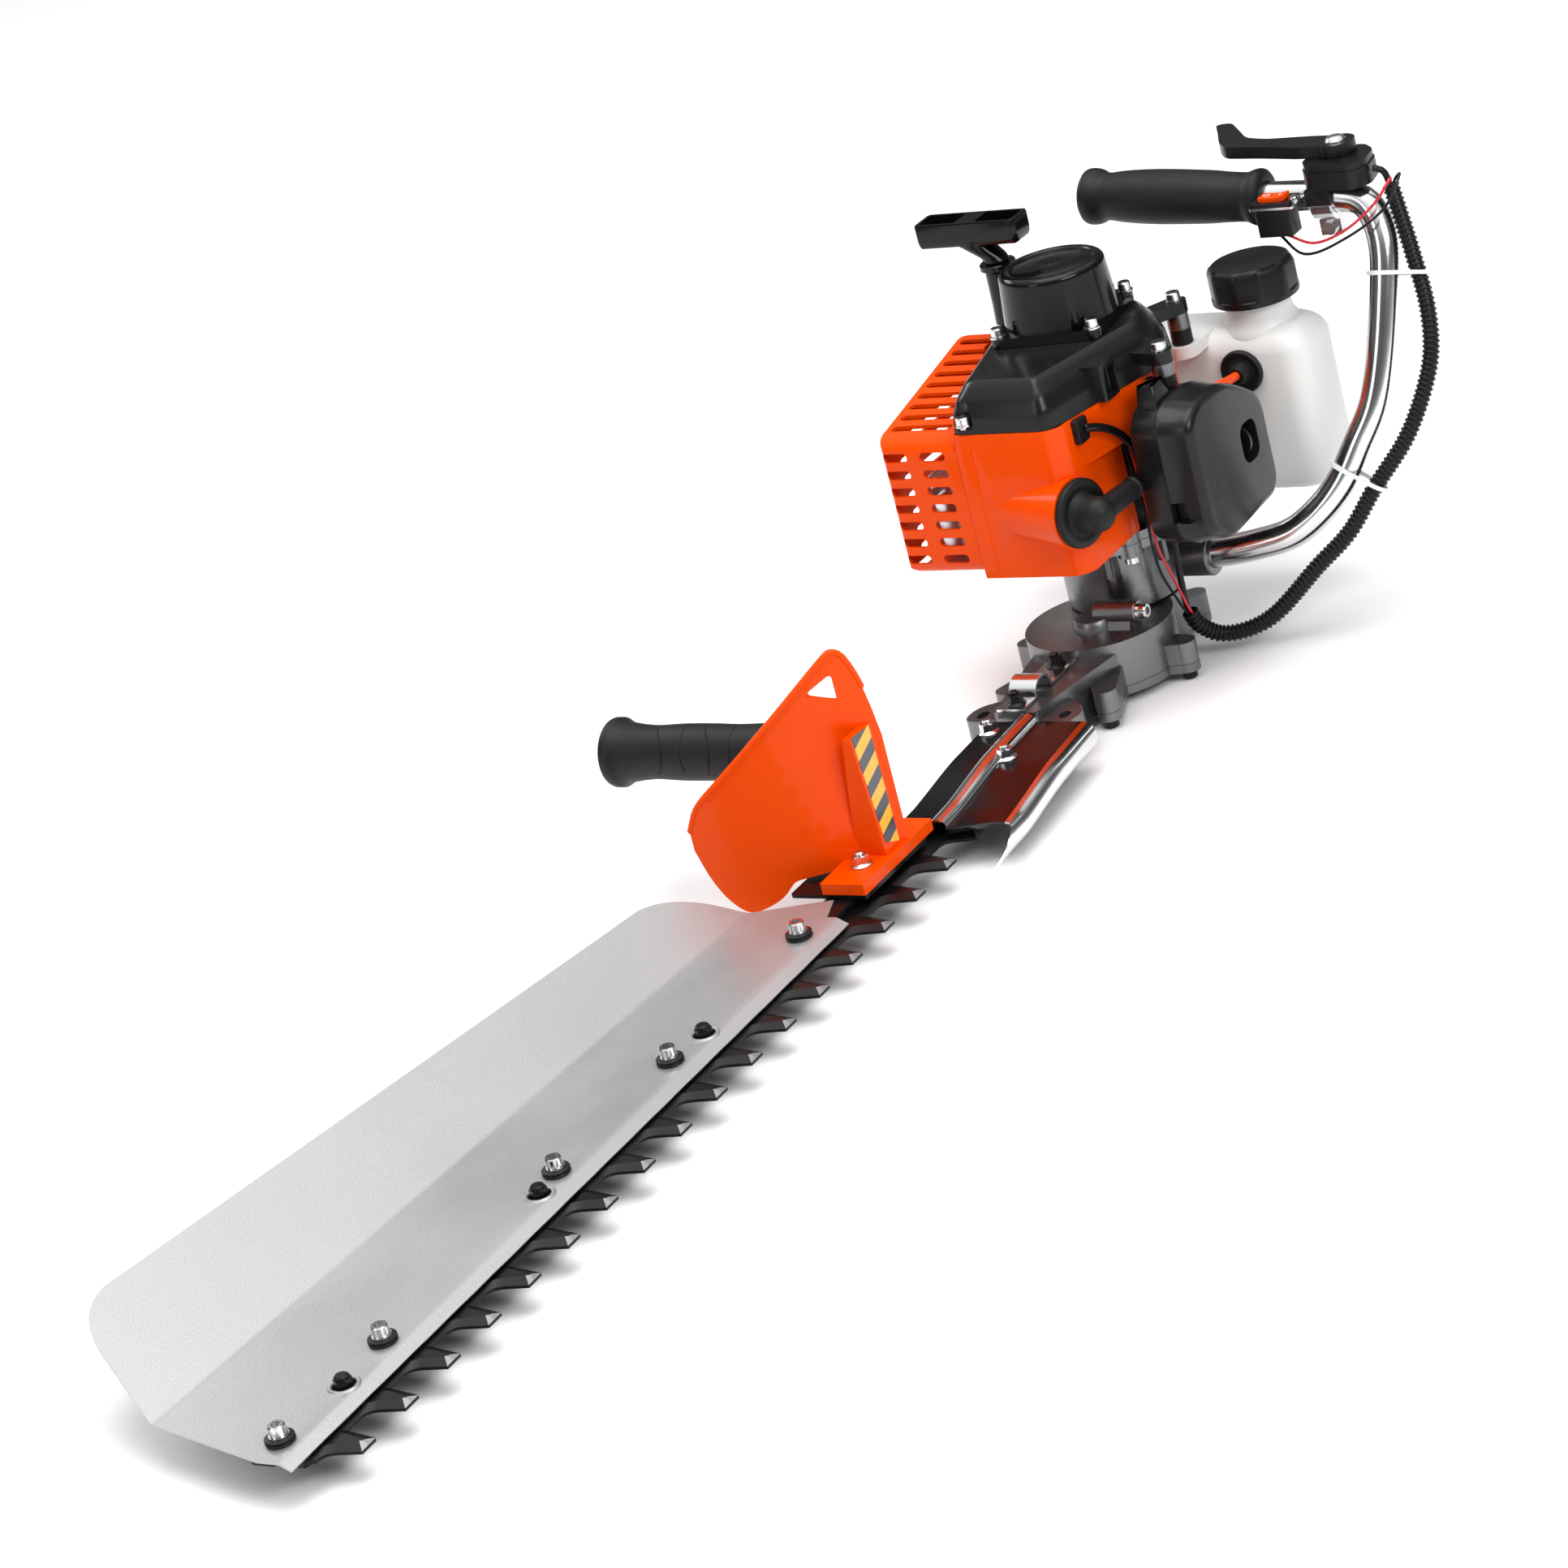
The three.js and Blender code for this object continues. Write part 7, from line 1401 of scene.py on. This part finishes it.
class TrimmerPlugCap(bpy.types.Operator):
    """Make the plug cap with its seal, elbow and lead"""
    bl_idname = "trimmer.plug_cap"
    bl_label = "Plug cap and lead"

    def execute(self, context):
        run = (PLUG_END - PLUG_START).normalized()
        start = PLUG_END + run * 0.3
        profile = [(0, 0), (19.2, 0), (19.5, 0.5), (19.5, 2.6), (18.8, 3.6), (17.5, 4), (14.5, 4),
                   (13.6, 3.4), (12.4, 3.4), (11.4, 4.4), (10.6, 7), (10, 9)]
        radius, shoulder = 10, 14
        dome = [(radius * math.cos(a), shoulder + radius * math.sin(a)) for a in quarter(12)]
        profile += [(radius, shoulder), *dome[1:-1], (0, shoulder + radius)]
        cap = aimed(lathe(profile, 96), start, start + run)
        crown, end = start + run * shoulder, Vector((60.5, 56, 112.6))
        reach = (end - crown).length
        elbow = aimed(lathe([(0, 0), (6.9, 0), (6.6, reach * 0.5), (6.2, reach - 3), (6.6, reach - 2.4),
                             (6.6, reach - 0.6), (6.1, reach), (0, reach)], 64), crown, end)
        piece("plug_cap_rubber", join(cap, elbow), "black rubber", ["plug_cap"], angle=35)
        piece("lead_sleeve", sweep(smooth_path(LEAD, 2), 2.5, 24, 0.3), "black gloss moulding",
              ["plug_lead"])
        grommet = changed(prism(rounded(rectangle(-6, 6, -7, 7), 2, 5), -3, 2.4),
                          Matrix.Translation((74, 38.6, 153)) @ Matrix.Rotation(-math.pi / 2, 4, "X"))
        piece("lead_grommet", grommet, "black rubber", edge=0.6)
        return {"FINISHED"}


class TrimmerCarburettor(bpy.types.Operator):
    """Make the carburettor"""
    bl_idname = "trimmer.carburettor"
    bl_label = "Carburettor"

    def execute(self, context):
        inner, outer, middle = 32, 57.7, 9
        body = prism(rounded(rectangle(-8, 26, inner, outer - 4), 3, 5), 92, 124)
        throat = lathe_y([(0, inner), (14.2, inner), (14.2, outer), (0, outer)], middle, 108)
        drum = lathe([(0, 88), (10.6, 88), (11.3, 89), (11.3, 127), (10.6, 128), (0, 128)], 64)
        form = join(body, throat, moved(drum, middle, (inner + outer) / 2))
        piece("carburettor_casting", form, "dark zinc", ["carburettor"], edge=0.6, angle=35)
        return {"FINISHED"}


def filter_outline(growth):
    """The filter as seen along its depth, grown by a distance."""
    shares = [(0.08, 0.03), (0.74, 0), (1, 0.16), (1, 0.9), (0.86, 1), (0.5, 1), (0.24, 0.88), (0, 0.72),
              (0, 0.14)]
    corners = [(-34 + a * 91, 66 + b * 88) for a, b in shares]
    return across_y(rounded(grown(corners, growth), 10, 8))


class TrimmerAirFilter(bpy.types.Operator):
    """Make the air filter base, cover and wing knob"""
    bl_idname = "trimmer.air_filter"
    bl_label = "Air filter"

    def execute(self, context):
        levels = [(filter_outline(-2), 58), (filter_outline(-0.6), 58.5), (filter_outline(0), 60),
                  (filter_outline(0), 73.7)]
        body = changed(stack(levels), ALONG_Y)
        snorkel = rounded(rectangle(28, 46, 60, 73.4), 1.2, 4)
        box = stack([(snorkel, 144), (grown(snorkel, -0.8), 156), (grown(snorkel, -2.6), 164),
                     (grown(snorkel, -3.6), 165)])
        piece("filter_base_moulding", join(body, box), "charcoal moulding", ["air_filter_base"],
              edge=0.5, angle=35)
        levels = [(filter_outline(0.8), 74), (filter_outline(0.8), 75.6), (filter_outline(0.1), 76.6)]
        levels += [(filter_outline(-1 - 5.5 * (1 - math.cos(a))), 90.5 + 5.5 * math.sin(a))
                   for a in quarter(8)]
        cover = changed(stack(levels), ALONG_Y)
        pocket = along_y(rounded(across_y(rectangle(-17, 3, 98.6, 121.4)), 8, 8), 86, 102)
        latch = along_y(rounded(across_y(rectangle(50, 60, 88, 100)), 1, 3), 70, 84)
        piece("filter_cover_moulding", cut(cover, pocket, latch), "charcoal moulding",
              ["air_filter_cover"], edge=0.6, segments=3, angle=35)
        hub = changed(lathe([(0, 86.3), (7, 86.3), (7.5, 86.8), (7.5, 88.4), (5, 89), (4.2, 91),
                             (0, 91)], 48), ALONG_Y)
        wing = along_x([(-9.8, 87), (9.8, 87), *arc(0, 87, 9.8, 0, math.pi, 20)[1:-1]], -1.2, 1.2)
        changed(wing, Matrix(((1, 0, 0, 0), (0, 0, 1, 0), (0, 1, 0, 0), (0, 0, 0, 1))))
        piece("knob_moulding", moved(join(hub, wing), -7, 0, 110), "black moulding", ["filter_knob"],
              "knob", edge=0.4, angle=35)
        return {"FINISHED"}


# Tank, cap and hose

class TrimmerTank(bpy.types.Operator):
    """Make the blow-moulded tank, its hose and its grommet"""
    bl_idname = "trimmer.tank"
    bl_label = "Fuel tank and hose"

    def execute(self, context):
        plan = rectangle(-120, -69, -110, 105)
        levels = [(rounded(grown(plan, -9 * (1 - math.sin(a))), 15, 10), 52 + 9 * (1 - math.cos(a)))
                  for a in quarter(8)]
        levels += [(rounded(grown(plan, -15 * (1 - math.cos(a))), 15, 10), 134 + 16 * math.sin(a))
                   for a in quarter(12, 1)]
        body = stack(levels)
        neck = moved(lathe([(0, 120), (23.5, 120), (23.5, 146), (22, 149.4), (20, 152.4), (19.2, 156),
                            (19, 160), (19, 168), (0, 168)], 96), NECK_X, NECK_Y)
        ear = join(disc(9, 143, 150, 64, -60, 38), block(-83, -60, 29, 47, 143, 150))
        form = cut(join(body, neck, ear), disc(15, 149, 174, 64, NECK_X, NECK_Y))
        piece("tank_moulding", form, "milky plastic", ["fuel_tank"], edge=0.8, segments=3, angle=30)
        profile = [(0, -68.7), (12.4, -68.7), (13, -68.2), (13, -66.6), (12, -65.4), (10.2, -65.8),
                   (8.6, -66.3), (6.6, -65.6), (5.4, -62), (4.4, -60), (0, -59.8)]
        grommet = moved(changed(lathe(profile, 72), ALONG_X), 0, 67, 128)
        piece("hose_grommet", grommet, "black rubber")
        piece("hose_line", sweep(smooth_path(HOSE, 2), 2.6, 24), "fuel line", ["fuel_hose"])
        return {"FINISHED"}


class TrimmerTankCap(bpy.types.Operator):
    """Make the faceted tank cap"""
    bl_idname = "trimmer.tank_cap"
    bl_label = "Tank cap"

    def execute(self, context):
        sizes = context.scene.trimmer_sizes
        radius, facets = sizes.cap_radius / MM, sizes.cap_facets
        step, corners = math.pi / facets, facets * 12

        def grip(inset):
            """The faceted outline, with its corners cut back to the round."""
            points = []
            for i in range(corners):
                angle = 2 * math.pi * i / corners
                local = (angle % (2 * step)) - step
                flat = (radius - inset) * math.cos(step) / math.cos(local)
                reach = min(flat + 0.35, radius - inset)
                points.append((reach * math.cos(angle), reach * math.sin(angle)))
            return points

        def ring(inset):
            return circle(radius - inset, corners)
        body = stack([(ring(0.6), 163), (ring(0), 163.6), (ring(0), 166.6), (grip(0), 167.4),
                      (grip(0), 181), (grip(1.2), 183.6), (ring(3.4), 185), (ring(4), 184.6),
                      (ring(4.4), 184.5)])
        form = moved(cut(body, disc(19.3, 157, 182, 64)), NECK_X, NECK_Y)
        piece("cap_moulding", form, "black moulding", ["tank_cap"], "cap", edge=0.35, angle=28)
        return {"FINISHED"}


# Rear handle, lever, switch

class TrimmerHandle(bpy.types.Operator):
    """Make the bent handle tube and its rear grip"""
    bl_idname = "trimmer.handle"
    bl_label = "Rear handle"

    def execute(self, context):
        piece("handle_tube_polished", sweep(smooth_path(HANDLE, 4), TUBE_R, 48), "polished steel",
              ["handle_tube"])
        shares = [(0, 0.8), (0.02, 0.97), (0.04, 1), (0.07, 0.95), (0.1, 0.87), (0.2, 0.88), (0.3, 0.93),
                  (0.55, 0.97), (0.7, 0.95), (0.8, 0.9), (0.86, 0.845), (0.89, 0.86), (0.92, 0.96),
                  (0.95, 1), (0.98, 0.99), (0.995, 0.93), (1, 0.86)]
        inner, outer = Vector(HANDLE[-3]), Vector(HANDLE[-1])
        run = (outer - inner).length + 4
        profile = [(0, 0)] + [(16.3 * eased(shares, k / 90), run * k / 90) for k in range(91)]
        grip = aimed(lathe(profile + [(0, run)], 72), inner, outer)
        piece("rear_grip_rubber", cut(grip, tube_room()), "black rubber", ["rear_grip"], angle=38)
        return {"FINISHED"}


LEVER = [(0.08, -0.02), (0.09, 0.2), (0.02, 0.5), (-0.02, 0.74), (-0.12, 0.82), (-0.32, 0.92),
         (-0.46, 1), (-0.48, 0.9), (-0.3, 0.76), (-0.17, 0.66), (-0.12, 0.5), (-0.11, 0.2), (-0.09, 0)]
HOUSING = [(-0.34, -0.38), (0.34, -0.43), (0.6, -0.28), (0.66, 0.4), (0.4, 0.57), (-0.1, 0.5),
           (-0.36, 0.28)]


class TrimmerThrottle(bpy.types.Operator):
    """Make the throttle lever, its housing and its clamp"""
    bl_idname = "trimmer.throttle"
    bl_label = "Throttle lever"

    def execute(self, context):
        plan = rounded([(LEVER_X + a * 36, LEVER_Y + b * 42) for a, b in HOUSING], 4, 6)
        top = join(prism(plan, 226, 236.4), prism(grown(plan, -0.8), 236.4, 240.6))
        saddle = block(-110.8, -86.8, 119, 134, 217, 226.3)
        form = cut(join(top, saddle), tube_room())
        piece("throttle_housing_moulding", form, "black moulding", ["throttle_housing"], edge=0.6,
              angle=32)
        clamp_x, clamp_z = -98.8, 217
        band = lathe_y([(0, 120), (11.2, 120), (11.6, 120.4), (11.6, 132.6), (11.2, 133), (0, 133)],
                       clamp_x, clamp_z)
        ears = block(-101.3, -96.3, 120, 133, 196.4, clamp_z)
        bolt = common(prism(circle(HEAD_R, 6), -5, 5),
                      lathe([(0, -5), (3.8, -5), (4.3, -4.4), (4.3, 4.4), (3.8, 5), (0, 5)], 40))
        bolt = moved(changed(bolt, ALONG_X), clamp_x, 126.5, 200.9)
        clamp = cut(join(band, ears, bolt), tube_room(), block(-125, -70, 110, 140, 217.2, 240))
        piece("throttle_clamp_plated", clamp, "bright plated steel", edge=0.3, angle=32)
        low = 240.9
        arm = rounded([(LEVER_X + a * 96, LEVER_Y - b * 96) for a, b in LEVER], 5, 6)
        hub = disc(11, low, low + 7, 64, LEVER_X, LEVER_Y)
        piece("throttle_lever_moulding", join(prism(arm, low, low + 7), hub), "black moulding",
              ["throttle_lever"], "lever", edge=1.1, segments=3, angle=35)
        dome = lathe([(0, low + 6.8), (6, low + 6.8), (6, low + 7.4), (5, low + 8.9), (3.4, low + 9.8),
                      (0, low + 10)], 48)
        piece("throttle_screw_plated", moved(dome, LEVER_X, LEVER_Y), "bright plated steel",
              body="lever")
        return {"FINISHED"}


class TrimmerSwitch(bpy.types.Operator):
    """Make the stop switch with its plate, bezel, rocker and marks"""
    bl_idname = "trimmer.switch"
    bl_label = "Stop switch"

    def execute(self, context):
        middle, pivot_y, plate_top = -80, 103.5, 223.4

        def place(half_x, half_y, y=pivot_y):
            return rectangle(middle - half_x, middle + half_x, y - half_y, y + half_y)
        plate = prism(rounded(place(9.8, 13.5, 105), 1.2, 4), 222, plate_top)
        screw = moved(lathe([(0, 222.2), (3, 222.2), (3, 225.4), (2.4, 226.4), (0, 226.8)], 40),
                      middle, 115.5)
        piece("switch_plate", join(plate, screw), "bright plated steel", edge=0.3)
        body = prism(rounded(place(6.5, 10.5), 1, 3), 205, 222)
        bezel = prism(rounded(place(8.5, 12.5), 1, 3), plate_top, 225.4)
        bezel = cut(bezel, prism(place(5.2, 8.6), 223.35, 230))
        piece("switch_body", together(body, bezel), "black moulding", ["kill_switch"], edge=0.3)
        low, half = 223.7, 8
        crown = [(pivot_y + t * half, low + 5 * (0.78 + (0.22 if t > 0 else 0.08) * t * t))
                 for t in [k / 6 - 1 for k in range(13)]]
        outline = [(pivot_y - half, low + 1.7), (pivot_y, low), (pivot_y + half, low + 1.7),
                   *crown[::-1]]
        piece("rocker_moulding", along_x(outline, -84.6, -75.4), "orange moulding", ["switch_rocker"],
              "rocker", edge=0.4, angle=30)
        ring = moved(lathe([(1.5, -0.1), (1.9, -0.1), (1.9, 0.12), (1.5, 0.12)], 32, True),
                     middle, 99.3, low + 4.05)
        bar = block(-81.5, -78.5, 107.6, 108, low + 4.2, low + 4.45)
        piece("rocker_marks", together(ring, bar), "white mark", body="rocker")
        return {"FINISHED"}


# Conduit, cable, wires and ties

class TrimmerConduit(bpy.types.Operator):
    """Make the ribbed conduit along its route"""
    bl_idname = "trimmer.conduit"
    bl_label = "Ribbed conduit"

    def execute(self, context):
        sizes = context.scene.trimmer_sizes
        pitch, depth = sizes.rib_pitch / MM, sizes.rib_depth / MM
        path = smooth_path(CONDUIT, 2)
        line = bpy.data.meshes.new("route")
        line.from_pydata([tuple(p) for p in path], [(i, i + 1) for i in range(len(path) - 1)], [])
        half, core, bore = pitch * 0.31, CONDUIT_R - depth, 3.9
        crest = [(core + depth * math.sin(math.pi * k / 6) ** 0.6, half * (k / 3 - 1)) for k in range(7)]
        rib = lathe([(bore, -half), *crest, (bore, half)], 28, True)
        form = run_tree(rib_tree(), line, {
            "Rib": rib, "Pitch": pitch, "Core radius": core, "Finish": finishes()["black moulding"],
        })
        piece("conduit_ribs", form, "black moulding", ["cable_conduit"], angle=50)
        return {"FINISHED"}


def core_route(start, end, sideways, upwards):
    """A route that enters the conduit, runs beside its middle and leaves it again."""
    inside = [at + across * sideways + up * upwards
              for at, across, up in stations(smooth_path(CONDUIT, 7))]
    return smooth_path([*[Vector(p) for p in start], *inside[::3], *[Vector(p) for p in end]], 2.5)


class TrimmerWires(bpy.types.Operator):
    """Make the throttle cable and the switch wires"""
    bl_idname = "trimmer.wires"
    bl_label = "Cable and wires"

    def execute(self, context):
        wire = context.scene.trimmer_sizes.wire_radius / MM
        piece("throttle_cable_sleeve", sweep(core_route(CABLE_START, CABLE_END, 1.2, 0), 1.9, 16),
              "black moulding", ["throttle_cable"])
        piece("red_wire_sleeve", sweep(core_route(RED_START, RED_END, -1.9, -1.1), wire, 12),
              "red sleeve", ["kill_wire_red"])
        piece("black_wire_sleeve", sweep(core_route(BLACK_START, BLACK_END, -1.9, 1.1), wire, 12),
              "black moulding", ["kill_wire_black"])
        return {"FINISHED"}


class TrimmerTies(bpy.types.Operator):
    """Make the two cable ties round the tube and the conduit"""
    bl_idname = "trimmer.ties"
    bl_label = "Cable ties"

    def execute(self, context):
        tube, conduit = smooth_path(HANDLE, 1), smooth_path(CONDUIT, 1)
        for number, share in ((1, 0.27), (2, 0.52)):
            i = round(share * (len(tube) - 1))
            at, run = tube[i], (tube[i + 1] - tube[i - 1]).normalized()
            near = min(conduit, key=lambda p: abs((p - at).dot(run)))
            across = near - at
            across -= run * across.dot(run)
            span = across.length
            across.normalize()
            up = run.cross(across)

            def band(growth):
                big, small = TUBE_R + 0.5 + growth, CONDUIT_R + 1 + growth
                lean = math.acos((big - small) / span)
                return arc(0, 0, big, lean, 2 * math.pi - lean, 48) + arc(span, 0, small, -lean, lean, 32)
            form = cut(prism(band(1), -1.2, 1.2), prism(band(0), -2.4, 2.4))
            basis = Matrix((across, up, run)).transposed().to_4x4()
            changed(form, Matrix.Translation(at) @ basis)
            piece(f"tie_{number}", form, "milky plastic", [f"cable_tie_{number}"], edge=0.2)
        return {"FINISHED"}


# Hidden works, stage and camera

HIDDEN = {
    "dark zinc": ["eccentric_gear", "clutch_drum", "clutch_rotor", "crankshaft"],
    "ground steel": ["upper_con_rod", "lower_con_rod"],
    "cast aluminium": ["cylinder", "flywheel_fan"],
    "black moulding": ["starter_reel"],
}


class TrimmerWorks(bpy.types.Operator):
    """Give the works inside their finishes"""
    bl_idname = "trimmer.works"
    bl_label = "Works inside"

    def execute(self, context):
        made = finishes()
        for finish, names in HIDDEN.items():
            for name in names:
                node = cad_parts[name]
                node.data.materials.clear()
                node.data.materials.append(made[finish])
        return {"FINISHED"}


def area_light(name, place, target, width, height, power):
    data = bpy.data.lights.new(name, "AREA")
    data.shape = "RECTANGLE"
    data.size, data.size_y = width, height
    data.energy = power
    obj = bpy.data.objects.new(name, data)
    obj.location = place
    obj.rotation_mode = "QUATERNION"
    obj.rotation_quaternion = (Vector(target) - Vector(place)).to_track_quat("-Z", "Y")
    bpy.context.scene.collection.objects.link(obj)


class TrimmerStage(bpy.types.Operator):
    """Make the floor, the lights, the surroundings and the camera"""
    bl_idname = "trimmer.stage"
    bl_label = "Stage"

    def execute(self, context):
        scene = context.scene
        low, half = CAD_BOX[0].z - 0.0005, 9
        mesh = bpy.data.meshes.new("floor")
        corners = [(x, y, low) for x, y in rectangle(-half, half, -half, half)]
        mesh.from_pydata(corners, [], [(0, 1, 2, 3)])
        floor = bpy.data.objects.new("floor", mesh)
        scene.collection.objects.link(floor)
        mesh.materials.append(surface("floor paint", scene.trimmer_colours.floor, 0.7, relief=0.0,
                                      shade=0.005, cloud=2, specular=0.1))
        middle = (0.38, 0.02, 0.08)
        area_light("key light", (1.2, 2.4, 1.9), middle, 1.6, 1.0, 36)
        area_light("front light", (3.0, -0.9, 1.3), middle, 0.9, 1.6, 11)
        area_light("top light", (0.3, 0.2, 2.8), middle, 2.2, 2.2, 48)
        area_light("left light", (-0.5, -2.6, 1.7), middle, 1.6, 0.8, 20)
        world = scene.world or bpy.data.worlds.new("surroundings")
        scene.world = world
        world.use_nodes = True
        tree = world.node_tree
        sky = tree.nodes["Background"]
        sky.inputs["Strength"].default_value = 1.0
        place = add_node(tree, "ShaderNodeTexCoord")
        height = add_node(tree, "ShaderNodeSeparateXYZ")
        ramp = add_node(tree, "ShaderNodeValToRGB")
        connect(tree, (place, "Generated", height, 0), (height, "Z", ramp, "Fac"),
                (ramp, "Color", sky, "Color"))
        stops = [(0.0, 0.5), (0.14, 0.16), (0.36, 0.08), (0.52, 0.2), (0.7, 1.0), (1.0, 1.25)]
        ramp.color_ramp.elements.remove(ramp.color_ramp.elements[1])
        for i, (at, value) in enumerate(stops):
            stop = ramp.color_ramp.elements[0] if i == 0 else ramp.color_ramp.elements.new(at)
            stop.position, stop.color = at, (value, value, value, 1)
        scene.view_settings.view_transform = "Standard"
        data = bpy.data.cameras.new("camera")
        data.lens, data.sensor_width = 112.37, 36
        camera = bpy.data.objects.new("camera", data)
        scene.collection.objects.link(camera)
        right, up = (-0.4838, 0.8421, -0.2384), (-0.4446, -0.0019, 0.8957)
        back = (0.7538, 0.5393, 0.3753)
        camera.rotation_mode = "QUATERNION"
        camera.rotation_quaternion = Matrix((right, up, back)).transposed().to_quaternion()
        camera.location = (2.2646, 1.3514, 1.0360)
        data.clip_start, data.clip_end = 0.05, 100
        scene.camera = camera
        return {"FINISHED"}


OPERATORS = [
    TrimmerStage, TrimmerConduit, TrimmerWires, TrimmerBlades, TrimmerBar, TrimmerDeflector,
    TrimmerDeflectorScrews, TrimmerHandGuard, TrimmerFrontHandle, TrimmerGearCase, TrimmerStrap,
    TrimmerRootCover, TrimmerCastings, TrimmerMuffler, TrimmerShroud, TrimmerMufflerGuard,
    TrimmerFanCover, TrimmerStarter, TrimmerPullHandle, TrimmerPlugCap, TrimmerCarburettor,
    TrimmerAirFilter, TrimmerTank, TrimmerTankCap, TrimmerHandle, TrimmerThrottle, TrimmerSwitch,
    TrimmerTies, TrimmerWorks,
]


class TrimmerPanel(bpy.types.Panel):
    bl_idname = "VIEW3D_PT_trimmer"
    bl_label = "Hedge trimmer"
    bl_space_type = "VIEW_3D"
    bl_region_type = "UI"
    bl_category = "Trimmer"

    def draw(self, context):
        for kind in OPERATORS:
            self.layout.operator(kind.bl_idname)
        for group in (context.scene.trimmer_sizes, context.scene.trimmer_colours):
            for name in group.__annotations__:
                self.layout.prop(group, name)


CLASSES = [TrimmerSizes, TrimmerColours, *OPERATORS, TrimmerPanel]


def register():
    for kind in CLASSES:
        bpy.utils.register_class(kind)
    bpy.types.Scene.trimmer_sizes = bpy.props.PointerProperty(type=TrimmerSizes)
    bpy.types.Scene.trimmer_colours = bpy.props.PointerProperty(type=TrimmerColours)


def unregister():
    del bpy.types.Scene.trimmer_colours
    del bpy.types.Scene.trimmer_sizes
    for kind in reversed(CLASSES):
        bpy.utils.unregister_class(kind)


def main():
    register()
    for kind in OPERATORS:
        group, name = kind.bl_idname.split(".")
        getattr(getattr(bpy.ops, group), name)()


if __name__ == "__main__":
    main()
